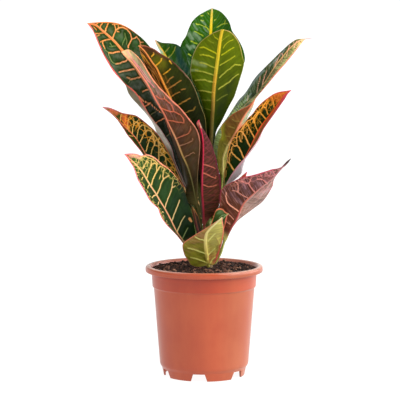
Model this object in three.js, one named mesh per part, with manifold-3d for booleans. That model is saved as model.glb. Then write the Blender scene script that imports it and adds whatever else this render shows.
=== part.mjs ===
// A croton in a plastic nursery pot: pot, potting mix, stem and its leaves, each a closed solid.
// Millimetres, +Z up. The origin is the centre of the circle on which the pot's feet stand; -Y is the front.
import * as THREE from 'three';
import { mergeVertices } from 'three/addons/utils/BufferGeometryUtils.js';
import Module from 'manifold-3d';

// ---- driving dimensions ----
const RIM_R = 65;            // outer radius of the lip: a 13 cm pot
const RIM_TOP = 122;         // height of the lip above the surface it stands on
const LIP_BOTTOM = 115.4;
const COLLAR_TOP_R = 58.2, COLLAR_BOTTOM_R = 57.2, COLLAR_BOTTOM = 99.2;
const BODY_TOP_R = 55.5, BODY_BOTTOM_R = 48.9;
const BASE_UNDER = 9.4;      // underside of the pot's base
const BASE_TOP = 11.0;
const WALL = 1.3;
const FOOT_R = 44.9;
const FEET = 6, NOTCH_AT = -7.3, NOTCH_TOP = 16.6, NOTCH_BOTTOM = 23;   // degrees
const HOLES = 8, HOLE_R = 4, HOLE_CIRCLE = 33;
const GAP = 0.35;            // clearance between the potting mix and what touches it
const SOIL_EDGE = 118.9, SOIL_TOP = 120.0;
const SEGMENTS = 48;
const PETIOLE = 3.0;         // thickness of a leaf stalk
const BLADE_BASE = 1.9, BLADE_TIP = 0.9, BLADE_EDGE = 0.6;  // leaf thickness at the midrib's foot, its tip and the margin

// centre line of the stem: x, y, z, radius
const STEM = [
  [4.61, 0, 108, 5.2],
  [4.61, 0, 121.06, 5.2],
  [4.27, 0, 138.94, 5],
  [3.82, 0, 155.66, 4.8],
  [3.37, 0, 172.36, 4.6],
  [3.14, 0, 189.03, 4.4],
  [3.03, 0, 199.02, 3.6],
  [2.92, 0, 203.45, 1.6]
];

// Each leaf is a net of rows from stalk to tip. A row holds five points x, y, z across the leaf:
// left margin, left half, midrib, right half, right margin. The first `petiole` rows are the stalk.
const LEAVES = {
  leaf_upper_left: { petiole: 2, colour: '#1f3d22', rows: [
    [-6.3, -1.5, 165.6, -5.7, -0.7, 165.7, -5.1, 0, 165.7, -4.6, 0.7, 165.7, -4, 1.5, 165.7],
    [-10.4, 1.2, 183.9, -9.9, 1.9, 183.9, -9.3, 2.6, 184, -8.8, 3.2, 184.1, -8.3, 3.9, 184.2],
    [-16.2, 2.8, 201.8, -15.7, 3.4, 201.9, -15.3, 4, 202, -14.9, 4.6, 202.1, -14.4, 5.2, 202.2],
    [-19, -4.5, 210.4, -23.7, -0.9, 215.8, -21.1, 4.7, 220.6, -16.3, 7, 216.2, -9.8, 8, 212.3],
    [-26.1, -7, 228.8, -33.9, -4.4, 237.3, -26.9, 5, 239.2, -20.2, 8.1, 236.3, -11.8, 9.5, 233.9],
    [-32.8, -10.2, 247.2, -42.7, -7.3, 254.6, -32.9, 4.4, 257.7, -25.4, 8.2, 256.2, -15.8, 10.2, 255.3],
    [-40, -14.4, 264.7, -50.9, -9.3, 270.2, -39.1, 2.7, 276, -31.3, 7.3, 276, -21.4, 10, 276.4],
    [-51.8, -18.6, 280.1, -57.9, -14, 284.4, -46.1, -0.6, 293.9, -38.1, 4.7, 295.3, -28, 7.9, 297.2],
    [-62.6, -22.4, 296, -67.6, -18.7, 298.3, -55.3, -4.7, 310.6, -46.4, 1, 313.9, -35.5, 4.3, 317.6],
    [-72, -28.6, 312.9, -78.9, -23.5, 310.6, -64.6, -11.5, 326.3, -55.5, -6, 331.8, -44.4, -2.8, 337.5],
    [-86.3, -34, 325.3, -85, -26.5, 328, -74.6, -18.5, 341.5, -65.4, -13.3, 349, -54.5, -10.6, 356.5],
    [-98.8, -38.3, 339.4, -93.2, -31.1, 346.6, -85.2, -26.1, 355.8, -77.2, -21.5, 364.5, -67.6, -19.4, 373.1],
    [-108.2, -43.3, 355.7, -103.1, -37.7, 362.6, -96.2, -34.7, 369.4, -91.1, -30.7, 377.6, -84.4, -29.3, 385.6],
    [-115.4, -47.9, 373.1, -112.6, -44.9, 377.2, -108.9, -43.3, 381.3, -107, -41.1, 386, -104.2, -40.3, 390.6],
    [-124.6, -51.1, 388.8, -124.6, -51, 389, -124.5, -51, 389.2, -124.4, -51, 389.3, -124.4, -50.9, 389.5] ] },
  leaf_mid_left_front: { petiole: 2, colour: '#6e4a34', rows: [
    [-3.6, -5.8, 160.8, -2.7, -6.2, 160.8, -1.8, -6.5, 160.9, -1, -6.8, 161, -0.1, -7.2, 161.1],
    [-6.7, -11.1, 174.3, -5.9, -11.4, 174.3, -5.1, -11.8, 174.4, -4.3, -12.1, 174.5, -3.5, -12.5, 174.5],
    [-8.7, -13.8, 188.8, -8.1, -14.1, 188.9, -7.4, -14.5, 188.9, -6.7, -14.8, 189, -6, -15.1, 189],
    [-20.8, -12.7, 199.5, -16.2, -16.5, 202.6, -10.5, -18, 206.5, -9.1, -19.9, 206.8, -7.4, -21, 207.3],
    [-21.1, -8, 216.7, -18.9, -16.3, 219.5, -14.5, -22.2, 223.6, -11.3, -25.8, 225, -6.7, -27.9, 227.2],
    [-25.9, -6.7, 233.8, -24.2, -18.4, 236, -20.3, -27.5, 240, -13.8, -31.6, 242.6, -5.1, -33.5, 246.8],
    [-31.5, -8.2, 250.9, -30.2, -22.1, 252.4, -26.8, -33.2, 255.9, -16.8, -37.6, 260.1, -4.7, -39.2, 266.3],
    [-36, -13.1, 268.3, -35.9, -27.3, 269, -33.5, -39, 271.7, -24.4, -43.3, 276.5, -13.1, -45, 283.3],
    [-40.7, -19.9, 285.7, -42, -33.4, 285.5, -40.8, -44.6, 287.4, -34.1, -48.6, 291.8, -24.8, -50.3, 298.4],
    [-49.9, -27.3, 301, -50.7, -39.7, 300.8, -48.7, -50, 302.7, -44.4, -52.4, 306.5, -38.2, -53.4, 311.7],
    [-58.5, -36, 316.6, -58.9, -46.3, 316.4, -56.8, -54.8, 318.2, -54.5, -55.7, 321.4, -51, -55.7, 325.5],
    [-67.3, -47.1, 331.9, -67.2, -54.1, 331.8, -66, -59.4, 333.2, -64.1, -60, 336.6, -61.3, -59.4, 341.2],
    [-77.2, -58.6, 346.1, -76.6, -62.2, 346.4, -75.9, -64.7, 347.3, -74.1, -65.5, 351.3, -72.1, -64.7, 356.2],
    [-87.9, -70.9, 359.5, -87.7, -70.9, 359.5, -87.6, -71, 359.6, -87.5, -71.1, 359.7, -87.3, -71.1, 359.8] ] },
  leaf_centre_left: { petiole: 2, colour: '#3a3212', rows: [
    [-1.4, -6.2, 172.9, -0.4, -6.4, 173, 0.5, -6.5, 173.1, 1.4, -6.6, 173.3, 2.3, -6.8, 173.4],
    [-3.2, -6.7, 187.5, -2.3, -6.8, 187.7, -1.5, -7, 187.8, -0.6, -7.1, 187.9, 0.2, -7.3, 188.1],
    [-5.8, -5.8, 202, -5.1, -5.9, 202.2, -4.4, -6, 202.3, -3.6, -6.2, 202.5, -2.9, -6.3, 202.6],
    [-9, -2.6, 212.8, -8.9, -4.8, 216.3, -8.5, -5.8, 220, -3.4, -5.9, 217.8, 1.9, -4.4, 215.7],
    [-14.3, -2.9, 230.4, -13.9, -6, 233.8, -13.3, -7.8, 237.5, -5.3, -8.2, 236.8, 3, -6.2, 236.5],
    [-20.1, -3.7, 247.9, -19.3, -7.9, 251.1, -18.4, -10.7, 254.7, -7.8, -11.2, 255.6, 3.1, -8.7, 257.3],
    [-26.9, -4.3, 265, -25.4, -10.5, 268, -23.7, -14.9, 271.6, -11, -15.1, 274.4, 2.2, -12.5, 278.1],
    [-34.5, -4.5, 281.6, -32.1, -13.2, 284.5, -29.3, -19.5, 288.3, -16.3, -19.4, 292.6, -2.8, -16.6, 298],
    [-42.6, -7.5, 298.1, -39.3, -17.3, 300.9, -35.4, -24.5, 304.7, -22.8, -24.4, 310.5, -9.6, -21.5, 317.4],
    [-51.4, -13, 314.2, -47.2, -22.1, 317.1, -42.5, -28.6, 320.9, -31.6, -28.6, 327.3, -20.1, -25.8, 334.7],
    [-58.3, -21.4, 331.2, -54.1, -28.5, 333.7, -49.5, -33.4, 337, -42.3, -33.7, 342.4, -34.6, -31.3, 348.8],
    [-65.3, -30.7, 347.9, -62.2, -35.2, 349.6, -58.9, -38.1, 351.8, -55.1, -38.3, 355.6, -51.2, -36.9, 360.1],
    [-70.1, -42.9, 365.1, -70, -43, 365.2, -69.8, -43, 365.3, -69.7, -43, 365.4, -69.6, -43.1, 365.5] ] },
  leaf_centre_front: { petiole: 2, colour: '#6b7c1c', rows: [
    [1.5, -6.3, 188.8, 2.4, -6.3, 188.7, 3.3, -6.3, 188.6, 4.3, -6.3, 188.5, 5.2, -6.3, 188.4],
    [3.4, -6.9, 205.4, 4.3, -6.9, 205.3, 5.2, -6.9, 205.3, 6.1, -6.9, 205.2, 6.9, -6.9, 205.1],
    [4.6, -5.7, 222.1, 5.4, -5.7, 222.1, 6.1, -5.7, 222, 6.9, -5.7, 222, 7.6, -5.7, 222],
    [2.6, -2.4, 236, 4.7, -4.4, 236.5, 6.7, -5.6, 236.9, 7.9, -4.3, 236.3, 9.2, -2.4, 235.8],
    [2.4, -1.9, 252.8, 4.8, -4.4, 252.3, 7.1, -6, 251.9, 8.3, -4.3, 252, 9.5, -1.9, 252.3],
    [1.8, -2.1, 269.5, 4.8, -5.1, 268, 7.7, -6.9, 266.7, 10.2, -5, 267.4, 12.7, -2.1, 268.3],
    [0.8, -4.1, 286.3, 4.6, -7.5, 283.7, 8.4, -9.4, 281.4, 14.2, -7.7, 282, 20.1, -4.1, 283],
    [-2.7, -7, 302.8, 3.4, -10.9, 299.2, 9.5, -12.6, 295.9, 18.2, -11.2, 296.7, 27, -7, 298],
    [-8.7, -9, 318.4, 0.7, -13.3, 314.3, 10, -14.8, 310.7, 22.1, -13.3, 311.5, 34.2, -9, 312.8],
    [-15.6, -10.8, 333.4, -2.2, -15.2, 329.1, 11.3, -16.7, 325.4, 25.2, -15.2, 326.7, 39.1, -10.8, 328.4],
    [-13.7, -13.7, 349.9, -0.3, -18.1, 344.6, 13.2, -19.6, 339.9, 28.1, -18.1, 341.8, 43.1, -13.7, 344.3],
    [-7.3, -17.8, 365, 3.9, -21.7, 359.4, 15.1, -22.6, 354.4, 27.6, -21.7, 357, 40.2, -17.8, 360.3],
    [4.8, -23.8, 376, 10.8, -26.1, 372.1, 16.9, -26.4, 368.7, 25.1, -26.4, 371.5, 33.4, -23.8, 374.9],
    [19.4, -31, 382.7, 19.5, -31, 382.7, 19.7, -31, 382.6, 19.9, -31, 382.6, 20.1, -31, 382.6] ] },
  leaf_top_back: { petiole: 2, colour: '#1f5a24', rows: [
    [1.1, 6.4, 187.3, 2, 6.3, 187.3, 2.9, 6.3, 187.2, 3.9, 6.3, 187.2, 4.8, 6.2, 187.1],
    [2.2, 11.7, 205.4, 3.1, 11.6, 205.4, 3.9, 11.6, 205.4, 4.8, 11.6, 205.4, 5.7, 11.6, 205.3],
    [2.7, 17.6, 223.4, 3.5, 17.6, 223.4, 4.2, 17.5, 223.4, 5, 17.5, 223.4, 5.7, 17.5, 223.4],
    [-6, 19.7, 240.1, -0.8, 22, 240.4, 4.4, 22.6, 241.2, 7.4, 21.7, 241, 10.3, 19.7, 241.1],
    [-12.2, 22.7, 259.5, -3.8, 26.2, 259, 4.7, 27.2, 259.1, 8.5, 25.6, 260.2, 12.3, 22.7, 261.5],
    [-18.2, 25.8, 278.9, -6.6, 30.1, 277.7, 4.9, 31.4, 277.2, 11.1, 29.6, 279, 17.2, 25.8, 281.3],
    [-23.6, 29.2, 298.5, -9.1, 33.7, 296.6, 5.4, 35.2, 295.3, 15.1, 33.7, 297.5, 24.8, 29.2, 300.3],
    [-27.3, 32.9, 318.6, -10.7, 37.3, 315.7, 5.9, 38.8, 313.4, 19.6, 37.3, 315.9, 33.3, 32.9, 319],
    [-28.9, 36.6, 338.8, -11.3, 40.9, 334.9, 6.4, 42.3, 331.6, 24.2, 40.9, 334.3, 42, 36.6, 337.6],
    [-27.2, 40.1, 359.1, -10.2, 44.3, 354.2, 6.9, 45.6, 349.8, 25.5, 44.3, 353.3, 44.1, 40.1, 357.3],
    [-18.6, 42.8, 377.4, -5.7, 46.8, 372.6, 7.2, 47.8, 368.2, 20.8, 46.8, 371.6, 34.5, 42.8, 375.3],
    [-8.9, 46.7, 394.8, -0.5, 49.7, 390.5, 7.9, 49.9, 386.6, 16.8, 49.8, 389.9, 25.7, 46.7, 393.6],
    [8.6, 53, 404.8, 8.8, 53, 404.8, 9, 53, 404.8, 9.1, 53, 404.8, 9.3, 53, 404.8] ] },
  leaf_small_back_left: { petiole: 2, colour: '#1d4a22', rows: [
    [-3.5, 4.9, 182.5, -2.6, 5, 182.7, -1.7, 5, 182.9, -0.8, 5, 183.1, 0.1, 5.1, 183.3],
    [-6.6, 8.8, 197.6, -5.7, 8.8, 197.8, -4.9, 8.9, 197.9, -4, 8.9, 198.1, -3.1, 8.9, 198.3],
    [-9.2, 11.4, 213.1, -8.4, 11.4, 213.2, -7.7, 11.5, 213.3, -7, 11.5, 213.4, -6.2, 11.5, 213.6],
    [-15.6, 11.2, 229.7, -13.4, 12.8, 230.5, -11.1, 13.9, 231.4, -6.7, 13.5, 232.5, -2.4, 12.1, 233.8],
    [-23, 11.8, 246.5, -19, 14.3, 247.9, -14.9, 15.8, 249.3, -9.5, 15.2, 251.6, -4, 13.3, 254.1],
    [-29, 12.6, 263.9, -24, 15.7, 265.5, -19, 17.5, 267.3, -12.7, 16.8, 270.7, -6.2, 14.6, 274.2],
    [-34.4, 14.4, 281.3, -28.8, 17.6, 283.2, -23.1, 19.4, 285.3, -16.4, 18.7, 289.6, -9.6, 16.4, 294.2],
    [-39.2, 16.8, 299, -33, 19.9, 301.1, -26.9, 21.6, 303.3, -19.7, 21, 308.6, -12.6, 18.6, 314.2],
    [-42.8, 19.7, 316.8, -36.9, 22.6, 318.9, -31, 24.2, 321.1, -23.2, 23.7, 327.5, -15.5, 21.2, 334.2],
    [-45.3, 23.8, 334.9, -40.8, 26.3, 336.6, -36.4, 27.9, 338.4, -28.2, 27.3, 345.9, -20.2, 24.9, 353.8],
    [-47.1, 29, 353, -45.5, 30.6, 353.9, -43.9, 31.8, 354.8, -39.2, 31.4, 360.5, -34.7, 29.6, 366.4],
    [-54.8, 35, 369.5, -54.7, 35, 369.6, -54.5, 35, 369.7, -54.4, 35, 369.8, -54.2, 35, 369.9] ] },
  leaf_right_long: { petiole: 2, colour: '#33463a', rows: [
    [7.4, 5, 187.7, 8.3, 4.6, 187.6, 9.1, 4.2, 187.5, 10, 3.8, 187.4, 10.8, 3.4, 187.2],
    [12.1, 8.7, 209.6, 12.9, 8.4, 209.6, 13.7, 8, 209.5, 14.5, 7.7, 209.4, 15.2, 7.3, 209.3],
    [14.7, 10.3, 232.5, 15.4, 10, 232.4, 16.1, 9.7, 232.4, 16.7, 9.4, 232.3, 17.4, 9.1, 232.3],
    [10.6, 13.8, 244.3, 14, 11.9, 246.5, 17.8, 11.1, 248.6, 19.5, 9.6, 246.3, 21.5, 8.9, 243.9],
    [11.2, 15.9, 260.3, 16, 13.2, 262.7, 21.6, 11.9, 264.5, 23.9, 8.9, 261.5, 26.8, 7.1, 258],
    [18.4, 22.7, 274.3, 23, 19.2, 276.8, 28.5, 16.9, 278.2, 30.6, 11.7, 275.3, 33.7, 7.7, 271.2],
    [28, 34, 286.9, 32.3, 28.9, 289.1, 37.5, 24.7, 289.6, 39.1, 18.4, 287.4, 41.7, 13, 283.6],
    [37.1, 45.8, 300, 42, 39.1, 300.5, 48, 33.2, 298.9, 48.7, 26.3, 298.1, 50.2, 20.2, 295.6],
    [47.9, 57, 312.1, 52.4, 49, 311.1, 58.6, 42, 308, 58.3, 34.7, 308.4, 59.3, 28.2, 307.2],
    [56.9, 61.2, 325.8, 61.3, 53.3, 324.1, 67.5, 46.7, 320.7, 67.6, 39.4, 320.2, 69.2, 32.9, 318.5],
    [68.1, 63.6, 337.9, 71.4, 56.5, 336.6, 76.3, 50.6, 333.9, 76.9, 43.8, 332.5, 78.8, 38, 329.9],
    [79.9, 65.1, 349.5, 82.2, 59.1, 348.7, 85.6, 54.1, 346.9, 86.7, 48.3, 344.5, 89, 43.5, 341.1],
    [91.8, 63.6, 360.9, 93.7, 59.9, 360.4, 96, 56.9, 359.1, 97.2, 53, 356.2, 99, 50.1, 352.4],
    [105.2, 63.6, 370.3, 106.8, 62.1, 369.7, 108.3, 61.2, 368.6, 108.6, 59.7, 366.6, 108.8, 58.8, 364.1],
    [121.7, 70.2, 371.3, 121.8, 70.1, 371.1, 121.9, 70, 371, 122, 69.9, 370.9, 122, 69.8, 370.8] ] },
  leaf_right_brown: { petiole: 2, colour: '#7b5434', rows: [
    [9.1, -2.5, 177.5, 9.9, -2, 177.2, 10.6, -1.5, 177, 11.4, -1, 176.7, 12.2, -0.5, 176.5],
    [15.7, -1.6, 198.3, 16.4, -1.2, 198.1, 17.1, -0.7, 197.9, 17.8, -0.3, 197.8, 18.6, 0.2, 197.6],
    [18.4, -0.8, 219.8, 19.1, -0.4, 219.7, 19.7, 0, 219.6, 20.3, 0.4, 219.6, 21, 0.8, 219.5],
    [15.8, -2.2, 229.7, 18.1, -1.4, 229.5, 20, -0.1, 229.4, 21.7, 0.9, 228.8, 23.1, 2.3, 228.2],
    [14.4, -5.1, 240.6, 17.5, -3.8, 239.7, 20, -1.7, 239.1, 22.5, -0.1, 238.2, 24.6, 2.3, 237.6],
    [14.8, -7.4, 251.5, 19.2, -5.8, 249.6, 22.7, -3.1, 248.2, 25.1, -0.4, 247.3, 26.9, 3.2, 246.7],
    [17, -9.3, 261.9, 22.2, -7.5, 259.1, 26.5, -4.4, 257.1, 29.2, -0.6, 255.8, 31.2, 4.4, 255.1],
    [18.5, -11.1, 272.2, 25.6, -9.5, 268.2, 31.6, -6.1, 265.3, 34.3, -1.7, 263.8, 36.2, 3.9, 263.1],
    [22.1, -12.9, 281.5, 29.6, -11.6, 277.1, 36.1, -8.2, 273.7, 38.8, -4.1, 272.3, 40.8, 1.3, 271.6],
    [29.5, -14.1, 289.1, 35.3, -13, 285.3, 40.4, -10.2, 282.3, 43, -6.7, 280.9, 45, -2, 280.2],
    [38.5, -15, 294.7, 42.1, -14, 292.3, 45.3, -12, 290.5, 47.4, -9.2, 289.4, 49.1, -5.6, 288.9],
    [47.9, -15.3, 299.5, 49.3, -14.6, 299, 50.5, -13.6, 298.6, 52, -11.9, 297.9, 53.2, -9.7, 297.5],
    [55.3, -15.2, 307, 55.4, -15.1, 306.9, 55.5, -15, 306.9, 55.6, -14.9, 306.8, 55.7, -14.8, 306.8] ] },
  leaf_right_orange_veined: { petiole: 2, colour: '#22301a', rows: [
    [9.7, -2.2, 163.3, 9.8, -3.1, 163.1, 10, -4, 162.8, 10.1, -4.9, 162.6, 10.3, -5.8, 162.4],
    [16.7, -6.5, 185.5, 16.8, -7.3, 185.3, 16.9, -8.2, 185.1, 17.1, -9, 184.9, 17.2, -9.9, 184.7],
    [24, -11.7, 207.5, 24.1, -12.5, 207.3, 24.2, -13.2, 207.1, 24.2, -13.9, 206.8, 24.3, -14.6, 206.6],
    [21, -8.5, 214.8, 26, -12.4, 215.8, 29.5, -16.6, 217.5, 29.7, -22.5, 216.2, 25.7, -24.8, 218.5],
    [21.8, -9.7, 228.7, 30, -14.9, 227.4, 35.8, -21, 227.1, 38.3, -29.6, 224.1, 31.8, -32.5, 229.5],
    [25.2, -10.4, 241.7, 34.7, -16.5, 239, 41.8, -23.8, 237.4, 42.4, -33.7, 234.4, 39.1, -37.8, 239.5],
    [27.3, -11, 255.2, 38.5, -17.6, 251.3, 47.3, -25.9, 248.2, 46.4, -35.9, 244.7, 46.9, -42, 248.8],
    [33.4, -12.7, 267.6, 44, -19.8, 263, 52.1, -28.5, 259.1, 52.6, -38.1, 253.1, 53.7, -45.5, 258.8],
    [41.9, -15, 278.3, 50.7, -22.1, 273.7, 57.1, -30.8, 270.1, 58.9, -39.1, 262.8, 59.7, -47.2, 269.1],
    [50.5, -19.4, 289, 58, -25.7, 284.1, 63.2, -33.5, 280.3, 64.5, -40.5, 277.6, 65.6, -48.7, 279.5],
    [58.7, -24.4, 299.8, 65.5, -29.4, 294.3, 70.3, -36, 289.9, 72.1, -42.1, 289.1, 72.5, -49.4, 289.2],
    [68.8, -28.9, 308.9, 73.9, -32.5, 303.8, 77.5, -37.6, 299.7, 79, -42.3, 298.9, 79.4, -47.8, 298.7],
    [80.4, -34.9, 315.4, 82.7, -36.9, 312.3, 84.3, -39.7, 309.7, 85.6, -42.2, 308.8, 86.3, -45.3, 308.3],
    [93.2, -41.7, 317.8, 93.2, -41.9, 317.7, 93.3, -42, 317.6, 93.3, -42.1, 317.5, 93.4, -42.3, 317.4] ] },
  leaf_centre_maroon: { petiole: 2, colour: '#5a2228', rows: [
    [-0.6, -5.9, 151.1, 0.3, -6.2, 151, 1.1, -6.6, 150.9, 2, -7, 150.9, 2.9, -7.3, 150.8],
    [-1.3, -9.2, 159.4, -0.5, -9.5, 159.3, 0.3, -9.9, 159.2, 1.1, -10.2, 159.2, 1.9, -10.6, 159.1],
    [-1.4, -11.9, 167.9, -0.7, -12.2, 167.8, -0, -12.4, 167.8, 0.7, -12.7, 167.7, 1.4, -13, 167.7],
    [-2.8, -9.7, 181.7, -1.8, -12.9, 180.4, -0.4, -15.3, 179.4, 4.7, -15.7, 179.3, 10.3, -14.9, 179.5],
    [-3.6, -9.6, 193.2, -2.4, -14.4, 192, -0.9, -18.1, 191, 7.4, -18.6, 190.3, 16.4, -17.3, 190.1],
    [-3.9, -10.6, 204.8, -3.1, -16.1, 203.6, -1.9, -20.6, 202.6, 7.6, -21.2, 202.4, 18, -19.6, 202.7],
    [-4.1, -12.3, 216.5, -3.3, -18.2, 215.4, -2.1, -22.9, 214.4, 7.8, -23.4, 214.7, 18.5, -21.9, 215.3],
    [-5.3, -13.8, 228.1, -3.9, -19.9, 227.1, -1.9, -24.7, 226.2, 6.7, -25.2, 226.8, 16.2, -23.7, 227.6],
    [-5.5, -15.1, 239.7, -3.8, -21.2, 238.8, -1.3, -26.1, 238, 5.8, -26.4, 238.9, 13.7, -25.1, 239.9],
    [-5.2, -18, 251.4, -3.4, -23.4, 250.6, -1, -27.6, 249.9, 4.3, -27.7, 250.8, 10.2, -26.6, 251.8],
    [-4.9, -22.3, 263.1, -3.4, -26, 262.4, -1.4, -28.8, 261.8, 1.9, -28.8, 262.5, 5.6, -28, 263.3],
    [-6.5, -25.5, 274.5, -5.1, -27.5, 274, -3.4, -29, 273.6, -2.1, -28.9, 273.7, -0.6, -28.5, 273.9],
    [-6.4, -26.9, 284.8, -6.2, -26.9, 284.8, -6.1, -27, 284.9, -5.9, -27.1, 284.9, -5.8, -27.1, 285] ] },
  leaf_low_front_olive: { petiole: 1, colour: '#75792f', rows: [
    [2.7, -7.7, 121.9, 3.7, -7.7, 122.1, 4.6, -7.6, 122.3, 5.5, -7.5, 122.4, 6.4, -7.5, 122.6],
    [2.7, -11.1, 125.2, 3.4, -11.1, 125.4, 4.1, -11, 125.5, 4.9, -11, 125.6, 5.6, -10.9, 125.8],
    [-9.4, -13.2, 122.3, -2.8, -15.8, 126.2, 3.5, -16.5, 131.6, 7.9, -15, 128.6, 12.1, -12.2, 126.6],
    [-17.2, -16.1, 128.6, -7, -20, 132.5, 2.8, -21.5, 138.1, 9, -18.8, 134.8, 14.9, -14.3, 132.7],
    [-22.3, -20.3, 138.3, -10.1, -24.5, 140.7, 2, -26.3, 144.8, 9.5, -23.4, 141.4, 16.8, -18.3, 139.5],
    [-23.6, -25.7, 149.4, -11, -29.7, 149.5, 1.6, -31.2, 151.3, 10.1, -28.5, 148, 18.7, -23.5, 146.4],
    [-15.4, -31.2, 156.4, -6.8, -34.7, 156.5, 1.7, -36, 158.1, 11, -33.6, 154.9, 20.3, -28.8, 153.4],
    [-6.6, -36.4, 162.7, -1.6, -39.1, 163.2, 3.4, -40.4, 164.7, 12.3, -38.3, 161.8, 21.1, -33.9, 160.5],
    [2.3, -41.2, 168.7, 5.2, -43.1, 169.3, 8.1, -44.1, 170.4, 14.7, -42.6, 168.4, 21.2, -39.2, 167.6],
    [10.9, -45.2, 175, 12.4, -46.2, 175.2, 13.8, -46.7, 175.8, 17.1, -45.9, 174.9, 20.2, -44.1, 174.5],
    [19.1, -49.1, 181.6, 19.2, -49.1, 181.5, 19.3, -49, 181.4, 19.5, -48.9, 181.3, 19.6, -48.9, 181.2] ] },
  leaf_low_right_maroon: { petiole: 2, colour: '#5b2f33', rows: [
    [10.2, -3.4, 125.5, 11, -3, 125.4, 11.8, -2.5, 125.3, 12.6, -2, 125.2, 13.4, -1.6, 125.1],
    [16.3, -11.1, 137.3, 17, -10.7, 137.2, 17.8, -10.2, 137.2, 18.5, -9.8, 137.1, 19.3, -9.3, 137.1],
    [20.7, -17.5, 150.6, 21.3, -17.1, 150.6, 21.9, -16.7, 150.5, 22.6, -16.3, 150.5, 23.2, -15.9, 150.4],
    [17.9, -24.8, 164.4, 22.3, -23.1, 161.8, 26.1, -20.4, 160, 26.9, -18.5, 159.8, 27.4, -16.2, 160],
    [16.5, -31.2, 176.9, 24.1, -28.7, 172.4, 30.6, -24.2, 169.2, 31.8, -21.2, 168.6, 32.6, -17.3, 168.5],
    [16.6, -36.3, 189.2, 26.5, -33.5, 182.9, 35.4, -28.3, 178.2, 37.5, -24.4, 176.7, 39.2, -19.3, 175.9],
    [17.3, -40.6, 201.4, 28.5, -37.8, 193.7, 39.1, -32.6, 187.6, 43.2, -28.1, 184.3, 46.9, -21.7, 182.1],
    [20.3, -45.2, 212.7, 32.2, -42.4, 203.6, 43.8, -37.2, 196.3, 49.3, -32.1, 191.6, 54.6, -24.8, 188.4],
    [29.7, -50.6, 219.5, 40, -47.8, 210.5, 50.1, -42.6, 203.5, 56.2, -37.3, 198.2, 62.2, -29.6, 194.8],
    [40.1, -54.8, 224.7, 48.8, -52.3, 216.5, 57.3, -47.5, 210.2, 62.8, -42.5, 205.8, 68.1, -35.4, 203],
    [51.2, -57.9, 227.6, 58.1, -56.1, 221.3, 64.7, -52.2, 216.9, 68.7, -48, 213.8, 72.6, -42.2, 212.1],
    [62.2, -60.4, 230.9, 67.4, -59.2, 226.6, 72.2, -56.5, 223.6, 73.7, -53.2, 222.4, 75, -49.1, 221.9],
    [73.1, -63.2, 234.5, 76.1, -62.3, 232.5, 78.8, -60.7, 231.2, 79.5, -58.4, 230.6, 80, -55.6, 230.6],
    [83.7, -66.5, 238.1, 84.6, -65.9, 238.3, 85.3, -65.3, 238.8, 85.7, -64, 238.5, 85.9, -62.6, 238.4],
    [91.7, -70.3, 246.2, 91.8, -70.1, 246.2, 91.9, -70, 246.2, 91.9, -69.9, 246.2, 92, -69.7, 246.2] ] },
  leaf_low_front_small: { petiole: 2, colour: '#2f6b3a', rows: [
    [5.8, -6.7, 126.1, 6.7, -6.4, 126, 7.6, -6.2, 125.9, 8.5, -6, 125.7, 9.4, -5.7, 125.6],
    [8, -10.8, 132.8, 8.8, -10.6, 132.7, 9.7, -10.4, 132.6, 10.5, -10.2, 132.5, 11.3, -10, 132.5],
    [9.3, -15.3, 139.3, 10.1, -15.2, 139.3, 10.8, -15, 139.2, 11.5, -14.9, 139.2, 12.3, -14.8, 139.2],
    [6.5, -21.6, 152.4, 9, -20.6, 149.4, 11.5, -20.1, 145.9, 13.2, -18.6, 147.4, 15, -17.5, 148.7],
    [6, -26.7, 161.6, 9.1, -25.4, 157.4, 12.3, -24.8, 152.6, 14.8, -22.9, 153.7, 17.4, -21.3, 154.5],
    [7, -31.5, 170.7, 10, -30, 165.4, 13, -29.5, 159.5, 16.4, -27.2, 160.1, 19.7, -25.5, 160.4],
    [9.5, -36, 179.4, 12.1, -34.5, 173.1, 14.4, -34, 166.3, 18, -31.8, 166.5, 21.6, -30.1, 166.4],
    [12.5, -39.9, 187.8, 14.7, -38.5, 180.7, 16.8, -38.3, 173, 20, -36.4, 172.9, 23.2, -35.1, 172.5],
    [20, -42.6, 189.7, 20.4, -41.8, 184.8, 20.6, -41.7, 179.6, 22.5, -40.6, 179.2, 24.4, -39.9, 178.7],
    [26, -45, 184.9, 26.2, -45, 184.8, 26.3, -45, 184.7, 26.4, -45, 184.5, 26.5, -45, 184.4] ] },
  leaf_left_gold_veined: { petiole: 2, colour: '#28401c', rows: [
    [-3.9, -4, 147.3, -3.2, -3.5, 147.8, -2.6, -3, 148.3, -1.9, -2.5, 148.7, -1.3, -2, 149.2],
    [-11.7, -8.6, 163.3, -11, -8.2, 163.7, -10.4, -7.7, 164.1, -9.8, -7.2, 164.5, -9.2, -6.8, 164.9],
    [-18.6, -11.4, 180.2, -18.1, -11, 180.5, -17.5, -10.6, 180.8, -17, -10.2, 181.1, -16.4, -9.8, 181.4],
    [-25.6, -18.3, 180.5, -25.3, -14.4, 186.8, -23.9, -12.4, 193.3, -19.2, -10.1, 190.4, -13.5, -9.3, 187.8],
    [-35.2, -23.3, 192.1, -33.9, -17.7, 198.5, -31.2, -14.1, 205.4, -25.9, -11, 203.7, -19.5, -9.4, 202.5],
    [-43.7, -27.7, 204.5, -42.4, -21, 210.2, -39.7, -16.2, 216.6, -33.5, -12.4, 216.5, -26, -10.4, 217],
    [-51.1, -31.4, 217.4, -50.5, -23.9, 222.1, -48.5, -18.4, 227.5, -41, -14.2, 229.3, -31.9, -12.1, 231.9],
    [-57.5, -34.9, 230.8, -58.2, -26.9, 234.3, -57.4, -20.7, 238.4, -48.8, -16.2, 241.9, -38.5, -14, 246.3],
    [-63.9, -38.3, 244.1, -65.5, -30.1, 246.6, -65.6, -23.5, 249.6, -56.8, -18.9, 254.7, -46, -16.5, 260.4],
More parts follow.
